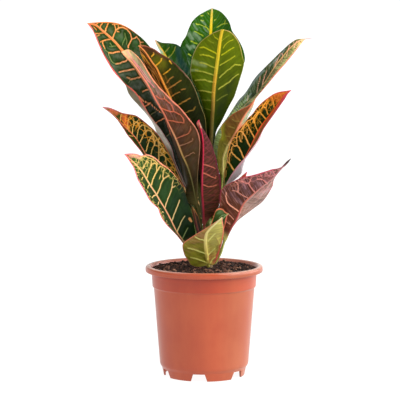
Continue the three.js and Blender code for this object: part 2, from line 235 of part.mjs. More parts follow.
    [-72, -41.8, 256.2, -73, -33.6, 258.7, -72.3, -27.1, 261.6, -64.9, -22.6, 267.1, -55.3, -20.2, 273.1],
    [-81.1, -43.8, 267.5, -81.5, -37.1, 269.6, -80.6, -31.7, 272.1, -74.5, -27.7, 277.9, -66.5, -25.7, 284.2],
    [-88.9, -45.1, 279.7, -89.7, -40.5, 280.6, -89.7, -36.8, 281.8, -85.6, -33.8, 286.2, -80.1, -32.3, 291.1],
    [-97.6, -46.4, 291.1, -98.3, -43.9, 291.2, -98.5, -41.9, 291.7, -96.9, -40.3, 293.6, -94.6, -39.2, 295.9],
    [-109, -47.3, 299.6, -109, -47.1, 299.7, -108.9, -47, 299.8, -108.9, -46.9, 300, -108.9, -46.7, 300.1] ] },
  leaf_low_left_green: { petiole: 2, colour: '#2b4f2a', rows: [
    [0.8, -6, 130.2, 1.1, -5.9, 131, 1.4, -5.8, 131.9, 1.7, -5.7, 132.8, 2, -5.6, 133.7],
    [-8.9, -10.6, 134, -8.5, -10.5, 134.7, -8.1, -10.4, 135.5, -7.7, -10.3, 136.2, -7.3, -10.2, 137],
    [-16.5, -15.7, 141.4, -16, -15.6, 141.9, -15.5, -15.4, 142.5, -15, -15.3, 143, -14.6, -15.1, 143.6],
    [-25.2, -25, 152.4, -23.9, -22.2, 151.5, -22.3, -20.2, 150.5, -16.2, -18.1, 153.3, -9.3, -17.8, 155.7],
    [-31.8, -33.2, 161.4, -30.3, -28.6, 160.4, -28.1, -25.1, 159.2, -20.2, -22, 164.1, -10.8, -21.6, 168.6],
    [-39.1, -39.8, 169.6, -36.5, -33.8, 169.2, -33.1, -29.4, 168.6, -23.9, -25.9, 175.1, -13, -24.9, 181.3],
    [-45.3, -44.4, 178.3, -41.9, -38, 178.5, -37.5, -33.2, 178.6, -28, -29.3, 186.1, -17, -27.9, 193.4],
    [-49, -49.1, 188.5, -46.3, -42.5, 188.3, -42.4, -37.5, 188.1, -32.5, -33.2, 196.9, -21, -31.5, 205.6],
    [-55.6, -53.1, 196.4, -52.3, -46.2, 197.1, -47.8, -41.2, 197.6, -37.5, -36.6, 207.6, -25.6, -34.5, 217.4],
    [-61.5, -57.4, 205.1, -57.7, -50.5, 206.1, -52.8, -45.4, 207.1, -43.7, -40.7, 217.4, -32.9, -38.4, 227.7],
    [-66.4, -60.2, 214.4, -63.1, -53.7, 215.3, -58.6, -48.9, 216.4, -51.1, -44.3, 226.3, -41.8, -42.2, 236.4],
    [-71.4, -61.1, 223.3, -68.2, -55.7, 224.7, -64, -51.9, 226.1, -58.4, -47.8, 235.1, -51.2, -46.2, 244.2],
    [-74.6, -62.4, 233.1, -72.7, -58.6, 234.1, -70, -55.8, 235.1, -66.8, -52.7, 242.1, -62.1, -51.5, 249.3],
    [-79.4, -63.3, 242.1, -78.6, -61.2, 242.5, -77.4, -59.6, 243.1, -75.7, -57.8, 246.7, -73.2, -57.1, 250.6],
    [-85.2, -64.2, 250.4, -85.1, -64.1, 250.5, -85, -64, 250.6, -84.9, -63.9, 250.8, -84.8, -63.8, 250.9] ] },
  leaf_small_centre_maroon: { petiole: 2, colour: '#4a2a20', rows: [
    [0.2, -6.2, 139.2, 1.1, -6.3, 139.5, 2, -6.3, 139.8, 2.9, -6.3, 140.1, 3.8, -6.4, 140.3],
    [-1.2, -10, 143.7, -0.4, -10.1, 144, 0.5, -10.1, 144.3, 1.3, -10.2, 144.5, 2.1, -10.2, 144.8],
    [-2.7, -13.1, 148.6, -2, -13.2, 148.8, -1.3, -13.2, 149.1, -0.6, -13.2, 149.3, 0.1, -13.3, 149.6],
    [-6.4, -15.3, 157.3, -5.1, -15.8, 156.2, -3.8, -16.1, 155.2, -2.8, -15.8, 156.8, -1.9, -15.3, 158.4],
    [-9.2, -16.7, 163.3, -7.6, -17.5, 162.5, -6.1, -18.1, 161.6, -4.7, -17.6, 163.3, -3.4, -16.7, 165],
    [-10.9, -17.5, 169.8, -9.4, -18.4, 169.1, -8, -19, 168.5, -6.4, -18.4, 170, -4.7, -17.5, 171.6],
    [-12, -17.7, 176.3, -10.7, -18.5, 175.9, -9.5, -19, 175.4, -7.9, -18.5, 176.7, -6.3, -17.7, 178],
    [-13.2, -18, 182.8, -12.1, -18.5, 182.6, -11.1, -18.9, 182.4, -10.1, -18.5, 183.1, -9.2, -18, 183.9],
    [-13.2, -18, 189.2, -13.1, -18, 189.2, -12.9, -18, 189.3, -12.7, -18, 189.3, -12.6, -18, 189.3] ] },
  leaf_back_upper: { petiole: 2, colour: '#24491f', rows: [
    [8.6, 6.4, 178.4, 7.6, 6.3, 178.4, 6.7, 6.2, 178.3, 5.8, 6.1, 178.3, 4.9, 6, 178.2],
    [6.8, 14.5, 188.5, 5.9, 14.4, 188.5, 5.1, 14.3, 188.4, 4.3, 14.2, 188.3, 3.4, 14.1, 188.3],
    [4.4, 21, 199.8, 3.7, 20.9, 199.7, 3, 20.8, 199.6, 2.2, 20.7, 199.5, 1.5, 20.6, 199.4],
    [9.7, 28.6, 217.6, 5, 27.8, 217.2, 0.2, 28.1, 216.3, -4.5, 26.7, 216.2, -9.3, 26.3, 215.6],
    [11.4, 33.2, 235.5, 4.6, 32.8, 234.9, -2.3, 33.9, 233.8, -8.9, 31.4, 233.9, -15.7, 30.4, 233.4],
    [11.9, 37.5, 252.9, 4.2, 37.6, 252.4, -3.7, 39.4, 251.4, -11.1, 36.2, 252, -18.7, 34.8, 252],
    [11.3, 42.9, 270.1, 3.6, 43, 269.8, -4.3, 45, 269, -11.8, 41.8, 269.8, -19.5, 40.5, 270],
    [9.6, 48.4, 287.3, 2.6, 48.6, 287.2, -4.6, 50.4, 286.7, -11.3, 47.6, 287.6, -18.2, 46.5, 288],
    [7.1, 54.7, 304.3, 1.5, 54.6, 304.6, -4.1, 55.8, 304.4, -9.6, 53.9, 305.2, -15.1, 53.3, 305.6],
    [3.7, 60.8, 321.6, 0.3, 60.5, 322, -3.2, 61, 322.2, -6.6, 60.2, 322.7, -10.1, 60.1, 323],
    [-0.8, 66, 339.8, -1, 66, 339.9, -1.2, 66, 339.9, -1.4, 66, 339.9, -1.5, 66, 339.9] ] },
  leaf_back_upper_left: { petiole: 2, colour: '#2b4a22', rows: [
    [0.5, 7, 174.7, -0.1, 6.4, 174.8, -0.8, 5.8, 175, -1.5, 5.2, 175.2, -2.2, 4.6, 175.4],
    [-3.9, 14.4, 183.8, -4.5, 13.8, 183.9, -5.1, 13.2, 184.1, -5.7, 12.6, 184.2, -6.3, 12, 184.3],
    [-9.2, 20, 193.7, -9.7, 19.4, 193.7, -10.2, 18.9, 193.8, -10.7, 18.3, 193.8, -11.2, 17.7, 193.8],
    [-10.2, 32, 207.3, -13.3, 28.4, 207.5, -17.2, 25.3, 207.1, -19.5, 21.1, 208, -22.7, 17.4, 208.2],
    [-12.3, 40.1, 221.7, -17.2, 35.4, 221.7, -23.2, 31.6, 220.9, -26, 25.2, 222.5, -30, 19.8, 223.3],
    [-16, 46.5, 236.4, -21.8, 41.6, 236.1, -28.9, 37.7, 234.9, -31.7, 30.2, 237, -35.7, 23.8, 238.1],
    [-21.9, 52.7, 250.3, -27.8, 47.8, 250, -34.9, 43.9, 248.7, -37.7, 36.4, 250.9, -41.7, 30, 252],
    [-28.7, 57.8, 263.8, -34.1, 53.4, 263.7, -40.6, 50, 262.7, -43.1, 43.2, 264.7, -46.7, 37.4, 265.8],
    [-36.4, 62.6, 277.3, -40.4, 58.8, 277.5, -45.4, 55.9, 277.1, -47.7, 50.7, 278.4, -51, 46.2, 279.2],
    [-44.5, 66, 291.7, -46.8, 63.4, 292, -49.7, 61.3, 291.9, -51.4, 58.2, 292.5, -53.7, 55.6, 292.8],
    [-53.1, 66.3, 307.1, -53.2, 66.1, 307.1, -53.3, 66, 307.1, -53.4, 65.9, 307.1, -53.5, 65.7, 307.1] ] },
  leaf_back_right: { petiole: 2, colour: '#3f4a20', rows: [
    [9.4, 4, 169.8, 8.7, 4.7, 169.7, 8, 5.3, 169.5, 7.4, 5.9, 169.4, 6.7, 6.6, 169.2],
    [13.1, 10.5, 179.7, 12.5, 11.1, 179.5, 11.9, 11.7, 179.4, 11.3, 12.2, 179.2, 10.7, 12.8, 179.1],
    [17.1, 17.5, 189, 16.6, 18, 188.9, 16, 18.5, 188.8, 15.5, 19, 188.7, 14.9, 19.5, 188.5],
    [25.2, 19.6, 200, 22.5, 22.3, 199.4, 20.3, 25.4, 198.1, 16.9, 27.6, 198.1, 14, 30.2, 197.5],
    [30.4, 23.1, 211.1, 27, 27.2, 209.8, 24.4, 32, 207.7, 19.3, 34.7, 208.2, 14.9, 38, 207.9],
    [34.3, 27.6, 221.6, 31, 32.6, 220, 28.6, 38.3, 217.5, 22.6, 41, 218.4, 17.4, 44.4, 218.5],
    [38.4, 33.1, 231.3, 35.2, 38.2, 229.9, 32.9, 44.1, 227.6, 26.8, 46.8, 228.6, 21.7, 50.4, 228.8],
    [42.2, 39.7, 241.1, 39.3, 44.3, 239.8, 37.2, 49.6, 237.7, 31.8, 52.1, 238.8, 27.2, 55.4, 239],
    [46.5, 47.8, 249.8, 43.8, 51.4, 249, 41.9, 55.5, 247.6, 37.8, 57.8, 248.2, 34.3, 60.7, 248.2],
    [50.1, 56.5, 258.1, 48.3, 58.6, 257.9, 46.9, 61.1, 257.4, 44.5, 62.8, 257.6, 42.7, 64.9, 257.5],
    [52.4, 65.7, 267.4, 52.3, 65.9, 267.4, 52.2, 66, 267.4, 52, 66.1, 267.4, 51.9, 66.3, 267.4] ] },
  leaf_back_middle: { petiole: 2, colour: '#27461f', rows: [
    [4.8, 7.4, 153.6, 3.9, 7.1, 153.6, 3, 6.9, 153.7, 2.1, 6.7, 153.7, 1.2, 6.4, 153.8],
    [3.6, 12.3, 159.2, 2.8, 12.1, 159.3, 2, 11.9, 159.3, 1.2, 11.7, 159.3, 0.3, 11.5, 159.4],
    [2.2, 17.4, 164.8, 1.4, 17.2, 164.8, 0.7, 17, 164.8, 0, 16.8, 164.8, -0.7, 16.6, 164.8],
    [9.3, 25.9, 172.1, 4.2, 24.2, 172.1, -1.2, 23.3, 171.3, -6.1, 20.9, 172.1, -11.3, 19.4, 172],
    [11.7, 32.6, 179.9, 4.4, 30.6, 179.4, -3.4, 29.8, 177.6, -10.2, 25.9, 179.3, -17.3, 23.1, 179.5],
    [11.6, 38.9, 187.4, 3.2, 36.9, 186.4, -5.6, 36.3, 183.8, -13.1, 31.5, 186.1, -21, 28.1, 186.9],
    [9.2, 45.7, 193.6, 0.9, 43.7, 192.6, -7.9, 42.9, 189.9, -15.5, 38.1, 192.2, -23.4, 34.7, 192.9],
    [5.1, 52.4, 199.1, -2.5, 50.5, 198.2, -10.4, 49.7, 195.7, -17.2, 45.5, 197.8, -24.4, 42.4, 198.5],
    [-0.7, 59.5, 203.2, -6.7, 57.7, 202.8, -12.9, 56.8, 201.1, -18.5, 53.7, 202.6, -24.4, 51.5, 202.8],
    [-7.9, 66.4, 206.9, -11.6, 65, 206.9, -15.4, 64.2, 206.1, -19, 62.4, 206.7, -22.7, 61.2, 206.6],
    [-17.9, 71.6, 211, -18.1, 71.5, 211, -18.3, 71.5, 211, -18.4, 71.4, 211, -18.6, 71.4, 211] ] },
  leaf_back_low_left: { petiole: 2, colour: '#3a4a1e', rows: [
    [-0.2, 6.5, 142.5, -0.8, 5.9, 142.6, -1.5, 5.2, 142.7, -2.1, 4.5, 142.8, -2.8, 3.9, 142.9],
    [-4.8, 11.8, 148.9, -5.4, 11.2, 149, -6, 10.6, 149.1, -6.6, 10, 149.2, -7.2, 9.4, 149.3],
    [-9.4, 17.3, 155, -9.9, 16.8, 155.1, -10.5, 16.3, 155.2, -11, 15.8, 155.3, -11.6, 15.3, 155.3],
    [-8.7, 28.9, 161.7, -11.9, 25.8, 162.2, -15.6, 23.1, 161.8, -18.3, 19.6, 163.1, -21.6, 16.5, 163.6],
    [-10.9, 37.4, 169.8, -15.7, 33.1, 169.8, -21.1, 29.5, 168.5, -24.4, 24.1, 170.7, -28.5, 19.3, 171.7],
    [-15.2, 44, 177.7, -20.6, 39.4, 177.2, -27, 35.5, 175.3, -30.3, 29.2, 178.1, -34.5, 23.6, 179.6],
    [-20.8, 50.1, 184.5, -26.3, 45.5, 184, -32.7, 41.6, 182.1, -36.1, 35.3, 185, -40.3, 29.7, 186.5],
    [-27.7, 55.5, 191.3, -32.6, 51.3, 190.7, -38.4, 47.7, 189, -41.3, 41.9, 191.5, -45.1, 36.8, 192.7],
    [-36.1, 60.1, 197.3, -39.8, 56.5, 197.2, -44.2, 53.5, 196, -46.8, 48.9, 197.7, -50, 44.9, 198.4],
    [-45.2, 63.7, 203, -47.5, 61.4, 203.3, -50.1, 59.4, 202.9, -52, 56.7, 203.8, -54.2, 54.4, 204],
    [-55.6, 66.2, 209.2, -55.7, 66.1, 209.2, -55.8, 66, 209.2, -55.9, 65.9, 209.3, -56.1, 65.8, 209.3] ] },
  leaf_back_low_right: { petiole: 2, colour: '#6b3324', rows: [
    [10.7, 3.2, 147.5, 10, 3.9, 147.4, 9.4, 4.6, 147.3, 8.7, 5.3, 147.1, 8.1, 6, 147],
    [14.5, 8.5, 154.9, 14, 9.1, 154.8, 13.4, 9.8, 154.7, 12.8, 10.4, 154.6, 12.2, 11, 154.4],
    [18.1, 13.7, 162.5, 17.6, 14.3, 162.4, 17.1, 14.8, 162.3, 16.6, 15.3, 162.2, 16.1, 15.9, 162.1],
    [24.7, 14.8, 171.6, 22.5, 17.1, 171, 20.7, 19.8, 170, 17.9, 21.8, 170, 15.6, 24.1, 169.5],
    [29.3, 17.6, 180.6, 26.5, 21.1, 179.4, 24.4, 25.2, 177.5, 20.1, 27.5, 177.9, 16.5, 30.4, 177.5],
    [33, 22.1, 189, 30.2, 26.1, 187.3, 28.1, 30.7, 184.7, 23, 33.1, 185.5, 18.7, 36.1, 185.4],
    [36.8, 27.8, 196.3, 33.9, 31.8, 194.5, 31.8, 36.4, 191.9, 26.6, 38.8, 192.6, 22.3, 41.7, 192.5],
    [39.8, 34.2, 202.8, 37.2, 37.9, 201.3, 35.4, 42.2, 199.1, 30.8, 44.4, 199.8, 26.9, 47.1, 199.7],
    [43.1, 41.1, 208.8, 40.9, 44, 207.9, 39.3, 47.4, 206.5, 35.8, 49.5, 207, 33, 52, 206.9],
    [46.3, 48.5, 214.6, 44.8, 50.3, 214.4, 43.6, 52.4, 213.8, 41.7, 53.9, 214.1, 40.2, 55.7, 213.9],
    [49.1, 56.7, 220.8, 49, 56.9, 220.8, 48.9, 57, 220.8, 48.8, 57.1, 220.8, 48.7, 57.3, 220.8] ] },
  leaf_back_low: { petiole: 2, colour: '#2f5a2a', rows: [
    [6.7, 7.2, 131.2, 5.8, 7.2, 131.2, 4.9, 7.2, 131.2, 3.9, 7.2, 131.3, 3, 7.2, 131.3],
    [6.7, 11.9, 135.2, 5.8, 11.9, 135.2, 5, 11.9, 135.2, 4.1, 11.9, 135.2, 3.3, 11.9, 135.2],
    [6.5, 16.8, 138.7, 5.8, 16.8, 138.7, 5, 16.8, 138.7, 4.3, 16.8, 138.8, 3.5, 16.8, 138.8],
    [14.7, 23.2, 143.6, 9.9, 23.1, 143.8, 5, 23.5, 142.9, 0.1, 23, 143.8, -4.7, 23, 143.7],
    [18.4, 30, 148.6, 11.7, 30, 148.3, 5, 30.6, 146.5, -1.8, 29.7, 148.3, -8.5, 29.4, 148.6],
    [19.4, 37.8, 152.2, 12, 37.6, 151.5, 4.7, 38, 149.2, -2.7, 37, 151.4, -10, 36.5, 151.9],
    [18.1, 45.9, 154.3, 11.2, 45.6, 153.7, 4.2, 45.7, 151.4, -2.7, 44.8, 153.5, -9.6, 44.3, 154],
    [15.1, 53.9, 154.5, 9.4, 53.6, 154.2, 3.7, 53.5, 152.5, -1.9, 53, 154.2, -7.6, 52.7, 154.4],
    [10.5, 61.8, 153.1, 7, 61.6, 153.2, 3.4, 61.4, 152.5, -0.2, 61.3, 153.3, -3.8, 61.1, 153.2],
    [3.3, 69, 150.4, 3.1, 69, 150.4, 3, 69, 150.4, 2.8, 69, 150.4, 2.6, 69, 150.4] ] }
};

// ---- helpers ----
const wasm = await Module();
wasm.setup();

function plain(geometry) {
  const g = geometry.index ? geometry.clone() : geometry;
  for (const name of Object.keys(g.attributes)) if (name !== 'position') g.deleteAttribute(name);
  return mergeVertices(g, 1e-4);
}
function toSolid(geometry) {
  const g = plain(geometry);
  return new wasm.Manifold(new wasm.Mesh({
    numProp: 3,
    vertProperties: Float32Array.from(g.attributes.position.array),
    triVerts: Uint32Array.from(g.index.array),
  }));
}
function toGeometry(solid) {
  const m = solid.getMesh();
  const g = new THREE.BufferGeometry();
  g.setAttribute('position', new THREE.BufferAttribute(Float32Array.from(m.vertProperties), 3));
  g.setIndex(new THREE.BufferAttribute(Uint32Array.from(m.triVerts), 1));
  g.computeVertexNormals();
  return g;
}
function lathe(points) {
  // profile in (radius, height), turned about +Z
  const g = new THREE.LatheGeometry(points.map(([r, z]) => new THREE.Vector2(r, z)), SEGMENTS);
  g.rotateX(Math.PI / 2);
  return g;
}
function meshOf(name, geometry, colour, roughness) {
  const mesh = new THREE.Mesh(geometry, new THREE.MeshStandardMaterial({ color: colour, roughness, metalness: 0, side: THREE.FrontSide }));
  mesh.name = name;
  return mesh;
}
function closed(vertices, faces) {
  const g = new THREE.BufferGeometry();
  g.setAttribute('position', new THREE.BufferAttribute(Float32Array.from(vertices.flat()), 3));
  let volume = 0;
  const a = new THREE.Vector3(), b = new THREE.Vector3(), c = new THREE.Vector3();
  for (const [i, j, k] of faces) {
    a.fromArray(vertices[i]); b.fromArray(vertices[j]); c.fromArray(vertices[k]);
    volume += a.dot(b.cross(c));
  }
  g.setIndex((volume < 0 ? faces.map(([i, j, k]) => [i, k, j]) : faces).flat());
  g.computeVertexNormals();
  return g;
}

// ---- pot ----
function pot() {
  const profile = [
    [0, BASE_UNDER], [43.9, BASE_UNDER], [43.3, 0.5], [43.6, 0], [FOOT_R, 0],
    [46.5, BASE_UNDER - 0.9], [46.9, BASE_UNDER], [48.4, 12.0], [BODY_BOTTOM_R, 14.0],
    [BODY_TOP_R, COLLAR_BOTTOM - 1.7], [56.2, COLLAR_BOTTOM - 0.8], [COLLAR_BOTTOM_R, COLLAR_BOTTOM],
    [COLLAR_TOP_R, 114], [58.6, 119.4], [59.5, 120.4], [63.0, 120.3], [63.5, 119.6], [63.6, LIP_BOTTOM + 0.3],
    [64.1, LIP_BOTTOM], [64.7, LIP_BOTTOM + 0.3], [RIM_R, 117.6], [RIM_R, 119.6], [64.5, 121.1], [63.2, 121.8],
    [61.6, RIM_TOP], [60.2, 121.8], [59.4, 121.2], [58.6 - WALL + 0.6, 119.2],
    [COLLAR_TOP_R - WALL, 114], [COLLAR_BOTTOM_R - WALL, COLLAR_BOTTOM + 0.6], [BODY_TOP_R - WALL, COLLAR_BOTTOM - 1.9],
    [BODY_BOTTOM_R - WALL, 14.0], [46.4, BASE_TOP + 0.6], [45.2, BASE_TOP], [0, BASE_TOP],
  ];
  let solid = toSolid(lathe(profile));
  for (let i = 0; i < FEET; i++) {
    // a notch between two feet: a trapezoid that widens downwards
    const top = FOOT_R * Math.tan(THREE.MathUtils.degToRad(NOTCH_TOP / 2));
    const bottom = FOOT_R * Math.tan(THREE.MathUtils.degToRad(NOTCH_BOTTOM / 2));
    const shape = new THREE.Shape([
      new THREE.Vector2(-bottom * 1.03, -1), new THREE.Vector2(bottom * 1.03, -1),
      new THREE.Vector2(top, BASE_UNDER - 1.2), new THREE.Vector2(top - 0.6, BASE_UNDER - 0.5),
      new THREE.Vector2(-top + 0.6, BASE_UNDER - 0.5), new THREE.Vector2(-top, BASE_UNDER - 1.2),
    ]);
    const g = new THREE.ExtrudeGeometry(shape, { depth: 14, bevelEnabled: false });
    g.rotateX(Math.PI / 2);            // shape now stands in X and Z, and runs along -Y
    g.translate(0, -38, 0);
    g.rotateZ(THREE.MathUtils.degToRad(NOTCH_AT + i * 360 / FEET));
    solid = solid.subtract(toSolid(g));
  }
  for (let i = 0; i <= HOLES; i++) {
    const last = i === HOLES;
    const g = new THREE.CylinderGeometry(last ? 5 : HOLE_R, last ? 5 : HOLE_R, 6, 20);
    g.rotateX(Math.PI / 2);
    const a = (i + 0.5) / HOLES * Math.PI * 2;
    g.translate(last ? 0 : HOLE_CIRCLE * Math.cos(a), last ? 0 : HOLE_CIRCLE * Math.sin(a), (BASE_UNDER + BASE_TOP) / 2);
    solid = solid.subtract(toSolid(g));
  }
  return toGeometry(solid);
}

// ---- potting mix ----
function soil() {
  const profile = [
    [0, BASE_TOP + GAP], [44.9, BASE_TOP + GAP], [46.0 - GAP, BASE_TOP + 1.0 + GAP], [BODY_BOTTOM_R - WALL - GAP, 14.4],
    [BODY_TOP_R - WALL - GAP, COLLAR_BOTTOM - 1.8], [COLLAR_BOTTOM_R - WALL - GAP - 0.1, COLLAR_BOTTOM + 0.9],
    [COLLAR_TOP_R - WALL - GAP, 114], [57.2, 117.6], [56.4, SOIL_EDGE], [44, 119.4], [24, SOIL_TOP], [0, SOIL_TOP],
  ];
  const [x, y, z, r] = STEM[0];
  const pocket = new THREE.CylinderGeometry(r + GAP, r + GAP, 40, 16);
  pocket.rotateX(Math.PI / 2);
  pocket.translate(x, y, z - GAP + 20);
  return toGeometry(toSolid(lathe(profile)).subtract(toSolid(pocket)));
}

// ---- stem ----
function stem() {
  const sides = 12, vertices = [], faces = [];
  for (const [x, y, z, r] of STEM)
    for (let k = 0; k < sides; k++) {
      const a = 2 * Math.PI * k / sides;
      vertices.push([x + r * Math.cos(a), y + r * Math.sin(a), z]);
    }
  const n = STEM.length;
  for (let i = 0; i < n - 1; i++)
    for (let k = 0; k < sides; k++) {
      const a = i * sides + k, b = i * sides + (k + 1) % sides;
      faces.push([a, b, b + sides], [a, b + sides, a + sides]);
    }
  for (let k = 1; k < sides - 1; k++) {
    faces.push([0, k + 1, k]);
    faces.push([(n - 1) * sides, (n - 1) * sides + k, (n - 1) * sides + k + 1]);
  }
  return closed(vertices, faces);
}

// ---- leaves ----
function leaf({ petiole, rows }) {
  const n = rows.length, m = 5;
  const P = rows.map(r => Array.from({ length: m }, (_, j) => new THREE.Vector3(r[3 * j], r[3 * j + 1], r[3 * j + 2])));
  const top = [], bottom = [];
  // length along the midrib, for the thickness
  const s = [0];
  for (let i = 1; i < n; i++) s.push(s[i - 1] + P[i][2].distanceTo(P[i - 1][2]));
  const base = s[petiole], end = s[n - 1];
  for (let i = 0; i < n; i++)
    for (let j = 0; j < m; j++) {
      const along = P[Math.min(i + 1, n - 1)][j].clone().sub(P[Math.max(i - 1, 0)][j]);
      const across = P[i][Math.min(j + 1, m - 1)].clone().sub(P[i][Math.max(j - 1, 0)]);
      const normal = along.cross(across).normalize();
      const t = Math.abs(j - 2) / 2;
      let thick;
      if (i <= petiole) {
        const centre = PETIOLE * (1.15 - 0.3 * (base > 0 ? s[i] / base : 1));
        thick = centre * Math.sqrt(1 - (t * 0.88) ** 2);
      } else {
        const b = (s[i] - base) / (end - base);
        const centre = BLADE_BASE * (1 - b) + BLADE_TIP * b;
        thick = centre * (1 - t) + BLADE_EDGE * t;
      }
      top.push(P[i][j].clone().addScaledVector(normal, thick / 2).toArray());
      bottom.push(P[i][j].clone().addScaledVector(normal, -thick / 2).toArray());
    }
  const o = n * m, faces = [];
  for (let i = 0; i < n - 1; i++)
    for (let j = 0; j < m - 1; j++) {
      const a = i * m + j, b = a + 1, c = a + m + 1, d = a + m;
      faces.push([a, c, b], [a, d, c], [o + a, o + b, o + c], [o + a, o + c, o + d]);
    }
  for (let i = 0; i < n - 1; i++) {
    let a = i * m, d = a + m;
    faces.push([a, o + d, d], [a, o + a, o + d]);
    a += m - 1; d += m - 1;
    faces.push([a, d, o + d], [a, o + d, o + a]);
  }
  for (let j = 0; j < m - 1; j++) {
    let a = j, b = j + 1;
    faces.push([a, b, o + b], [a, o + b, o + a]);
    a += (n - 1) * m; b += (n - 1) * m;
    faces.push([a, o + b, b], [a, o + a, o + b]);
  }
  return closed([...top, ...bottom], faces);
}

// ---- the plant in its pot ----
const croton = new THREE.Group();
croton.name = 'potted_croton';
croton.add(meshOf('pot', pot(), '#c2603f', 0.5));
croton.add(meshOf('soil', soil(), '#3a2320', 0.95));
croton.add(meshOf('stem', stem(), '#5d5b35', 0.8));
const foliage = new THREE.Group();
for (const [name, spec] of Object.entries(LEAVES)) foliage.add(meshOf(name, leaf(spec), spec.colour, 0.35));
croton.add(foliage);

export default croton;
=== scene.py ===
import math

import bpy
import numpy as np
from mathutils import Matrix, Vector


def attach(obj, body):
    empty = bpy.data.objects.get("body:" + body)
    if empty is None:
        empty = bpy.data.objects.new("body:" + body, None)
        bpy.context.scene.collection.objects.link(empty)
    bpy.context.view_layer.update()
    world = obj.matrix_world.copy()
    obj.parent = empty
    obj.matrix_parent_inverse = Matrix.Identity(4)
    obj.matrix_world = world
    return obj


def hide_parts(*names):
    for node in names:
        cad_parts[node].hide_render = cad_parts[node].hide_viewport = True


# A croton in a plastic nursery pot. Nets below are in millimetres in the row frame; meshes are made in metres.

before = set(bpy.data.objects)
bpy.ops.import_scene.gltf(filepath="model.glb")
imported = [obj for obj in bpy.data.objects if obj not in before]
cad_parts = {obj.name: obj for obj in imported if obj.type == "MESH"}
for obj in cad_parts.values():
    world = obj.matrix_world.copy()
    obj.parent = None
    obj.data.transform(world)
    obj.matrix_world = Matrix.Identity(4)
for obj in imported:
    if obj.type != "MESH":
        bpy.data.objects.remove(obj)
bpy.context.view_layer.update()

MM = 0.001
STEM_AXIS = ((108.0, 4.5), (114.4, 4.5), (135.0, 4.2), (155.0, 3.8), (175.0, 3.3), (190.0, 3.1), (203.5, 2.9))

